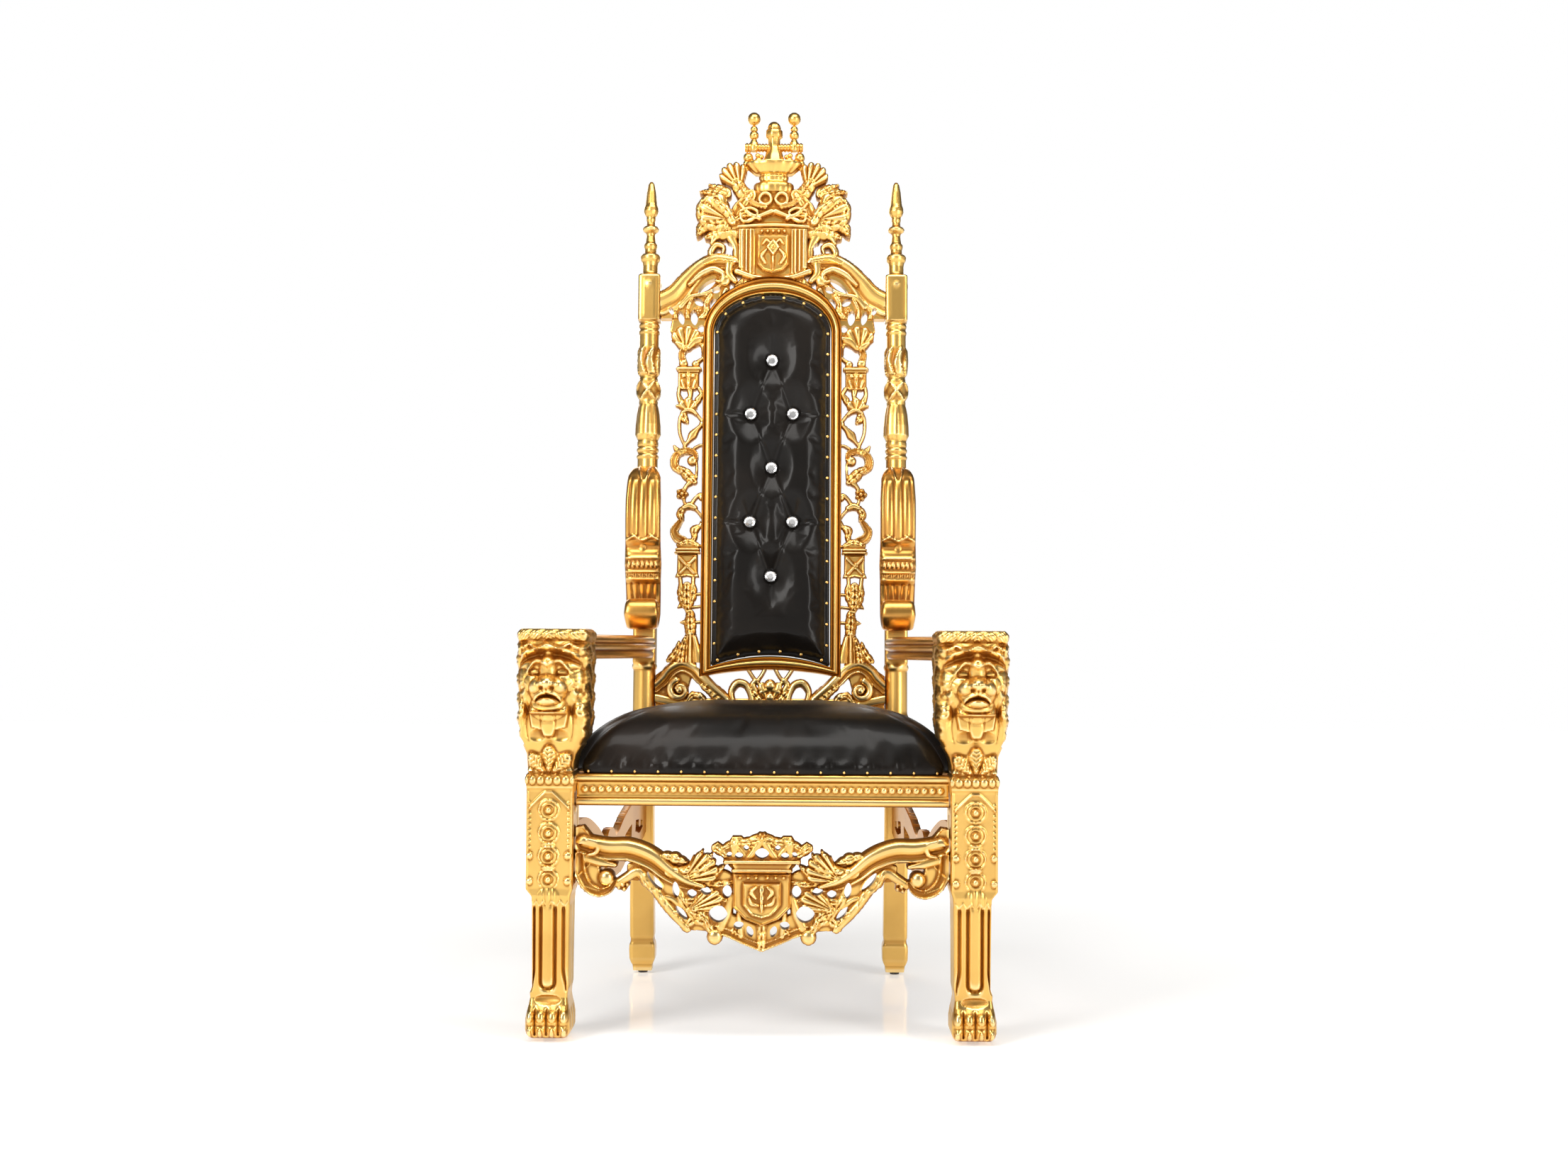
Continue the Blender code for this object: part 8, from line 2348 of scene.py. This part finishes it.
def turned(profile, columns, centre, squash=1.0, flutes=0, depth=0.0, along="z"):
    """Rings of (height or across, radius) about an axis, squashed in depth, with optional flutes."""
    profile = np.array(profile)
    turn = (2 * np.pi * np.arange(columns) / columns)[None]
    radius = profile[:, 1:2] * (1 + depth * (locks(flutes * turn) - 0.5) if flutes else 1 + 0 * turn)
    first, second, third = radius * np.cos(turn), radius * np.sin(turn) * squash, profile[:, :1] + 0 * radius
    if along == "x":
        return np.stack([third + centre[0], second, first + centre[1]], -1)
    return np.stack([first + centre[0], second, third + centre[1]], -1)


def ball(height, radius, centre=0.0):
    """A ball's profile, its middle at this height."""
    turn = np.linspace(-0.46, 0.46, 9) * np.pi
    return [(height + centre + radius * math.sin(t), radius * math.cos(t)) for t in turn]


# %% Crown
def crown_shells():
    """Every turned part of the crown, in the back's plane."""
    foot, c = up(1.6572), CROWN_TOP + CROWN_LIFT
    cup = [
        (0.0, 0.039), (0.003, 0.0412), (0.01, 0.042), (0.016, 0.042), (0.02, 0.04), (0.0225, 0.033),
        (0.025, 0.0295), (0.028, 0.029), (0.03, 0.0305), (0.036, 0.031), (0.038, 0.029), (0.0395, 0.03),
        (0.0405, 0.041), (0.044, 0.045), (0.05, 0.052), (0.057, 0.059), (0.063, 0.0625), (0.0655, 0.061),
        (0.0645, 0.056), (0.06, 0.048),
    ]
    shells = [turned([(foot + h, r) for h, r in cup], 72, (0.0, 0.0), 0.5, 14, 0.07)]
    stem_profile = [
        (c - 0.086, 0.0085), (c - 0.083, 0.0098), (c - 0.068, 0.0098), (c - 0.065, 0.0075),
        (c - 0.062, 0.0068),
        *ball(c - 0.0512, 0.0104), (c - 0.042, 0.0066), (c - 0.039, 0.0082), (c - 0.036, 0.0082),
        (c - 0.032, 0.0058),
        *ball(c - 0.0143, 0.0142),
    ]
    shells += [turned(stem_profile, 18, (side * 0.0433, 0.0)) for side in (-1, 1)]
    bar_profile = [(-0.0632, 0.005), (-0.0624, 0.0092)]
    for x in (-0.058, -0.052, -0.038, -0.031, -0.024, -0.017, 0.017, 0.024, 0.031, 0.038, 0.052, 0.058):
        r = 0.0104 if abs(x) > 0.034 else 0.0092
        bar_profile += [(x - 0.003, r * 0.82), (x - 0.0019, r), (x + 0.0019, r), (x + 0.003, r * 0.82)]
    bar_profile += [(0.0624, 0.0092), (0.0632, 0.005)]
    shells.append(turned(bar_profile, 16, (0.0, up(1.758)), 1.0, along="x"))
    bud = [
        (-0.118, 0.023), (-0.105, 0.0215), (-0.092, 0.018), (-0.082, 0.0135), (-0.076, 0.012),
        (-0.07, 0.0128),
        (-0.06, 0.0128), (-0.057, 0.0165), (-0.055, 0.0176), (-0.043, 0.0178), (-0.0405, 0.0165),
        (-0.0395, 0.014),
        (-0.035, 0.0142), (-0.03, 0.0128), (-0.025, 0.0098), (-0.022, 0.006), (-0.0208, 0.002),
    ]
    shells.append(turned([(c + h, r) for h, r in bud], 28, (0.0, 0.0), 1.0, 7, 0.1))
    for side in (-1, 1):
        for x, level, r in (
            (0.0555, 1.736, 0.0112), (0.059, 1.722, 0.008), (0.046, 1.724, 0.0085), (0.033, 1.729, 0.0088),
            (0.035, 1.741, 0.0056), (0.027, 1.738, 0.0054), (0.06, 1.711, 0.006),
        ):
            shells.append(turned(ball(up(level), r), 14, (side * x, 0.0), 0.9))
    return shells


crown_points, crown_faces, crown_caps, start = [], [], [], 0
for shell in crown_shells():
    rows, columns = shell.shape[:2]
    faces = grid_faces(rows, columns, wrap_columns=True) + start
    j = np.arange(columns)
    k = (j + 1) % columns
    size = rows * columns
    low = np.stack([k + start, j + start, np.full(columns, start + size)], 1)
    high = np.stack([size - columns + j + start, size - columns + k + start,
        np.full(columns, start + size + 1)], 1)
    flat = np.concatenate([shell.reshape(-1, 3), [shell[0].mean(0), shell[-1].mean(0)]])
    crown_points.append(flat)
    edge, rise_edge = shell[1, 1] - shell[1, 0], shell[2, 0] - shell[1, 0]
    outward_now = np.cross(edge, rise_edge) @ (shell[1, 0] - shell[1].mean(0)) > 0
    crown_faces.append(faces if outward_now else faces[:, ::-1])
    crown_caps.append(np.concatenate([low, high]) if outward_now else np.concatenate([low, high])[:, ::-1])
    start += len(flat)
flat = np.concatenate(crown_points)
crown = put_mesh(
    "turned_crown", on_back(flat[:, 0], -flat[:, 1], flat[:, 2]),
    [np.concatenate(crown_faces), np.concatenate(crown_caps)], bright_gold, 50.0,
)
set_hollow(crown, np.zeros(len(flat)))
settle(crown, "crown")

# %% Close the scene
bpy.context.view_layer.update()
import json
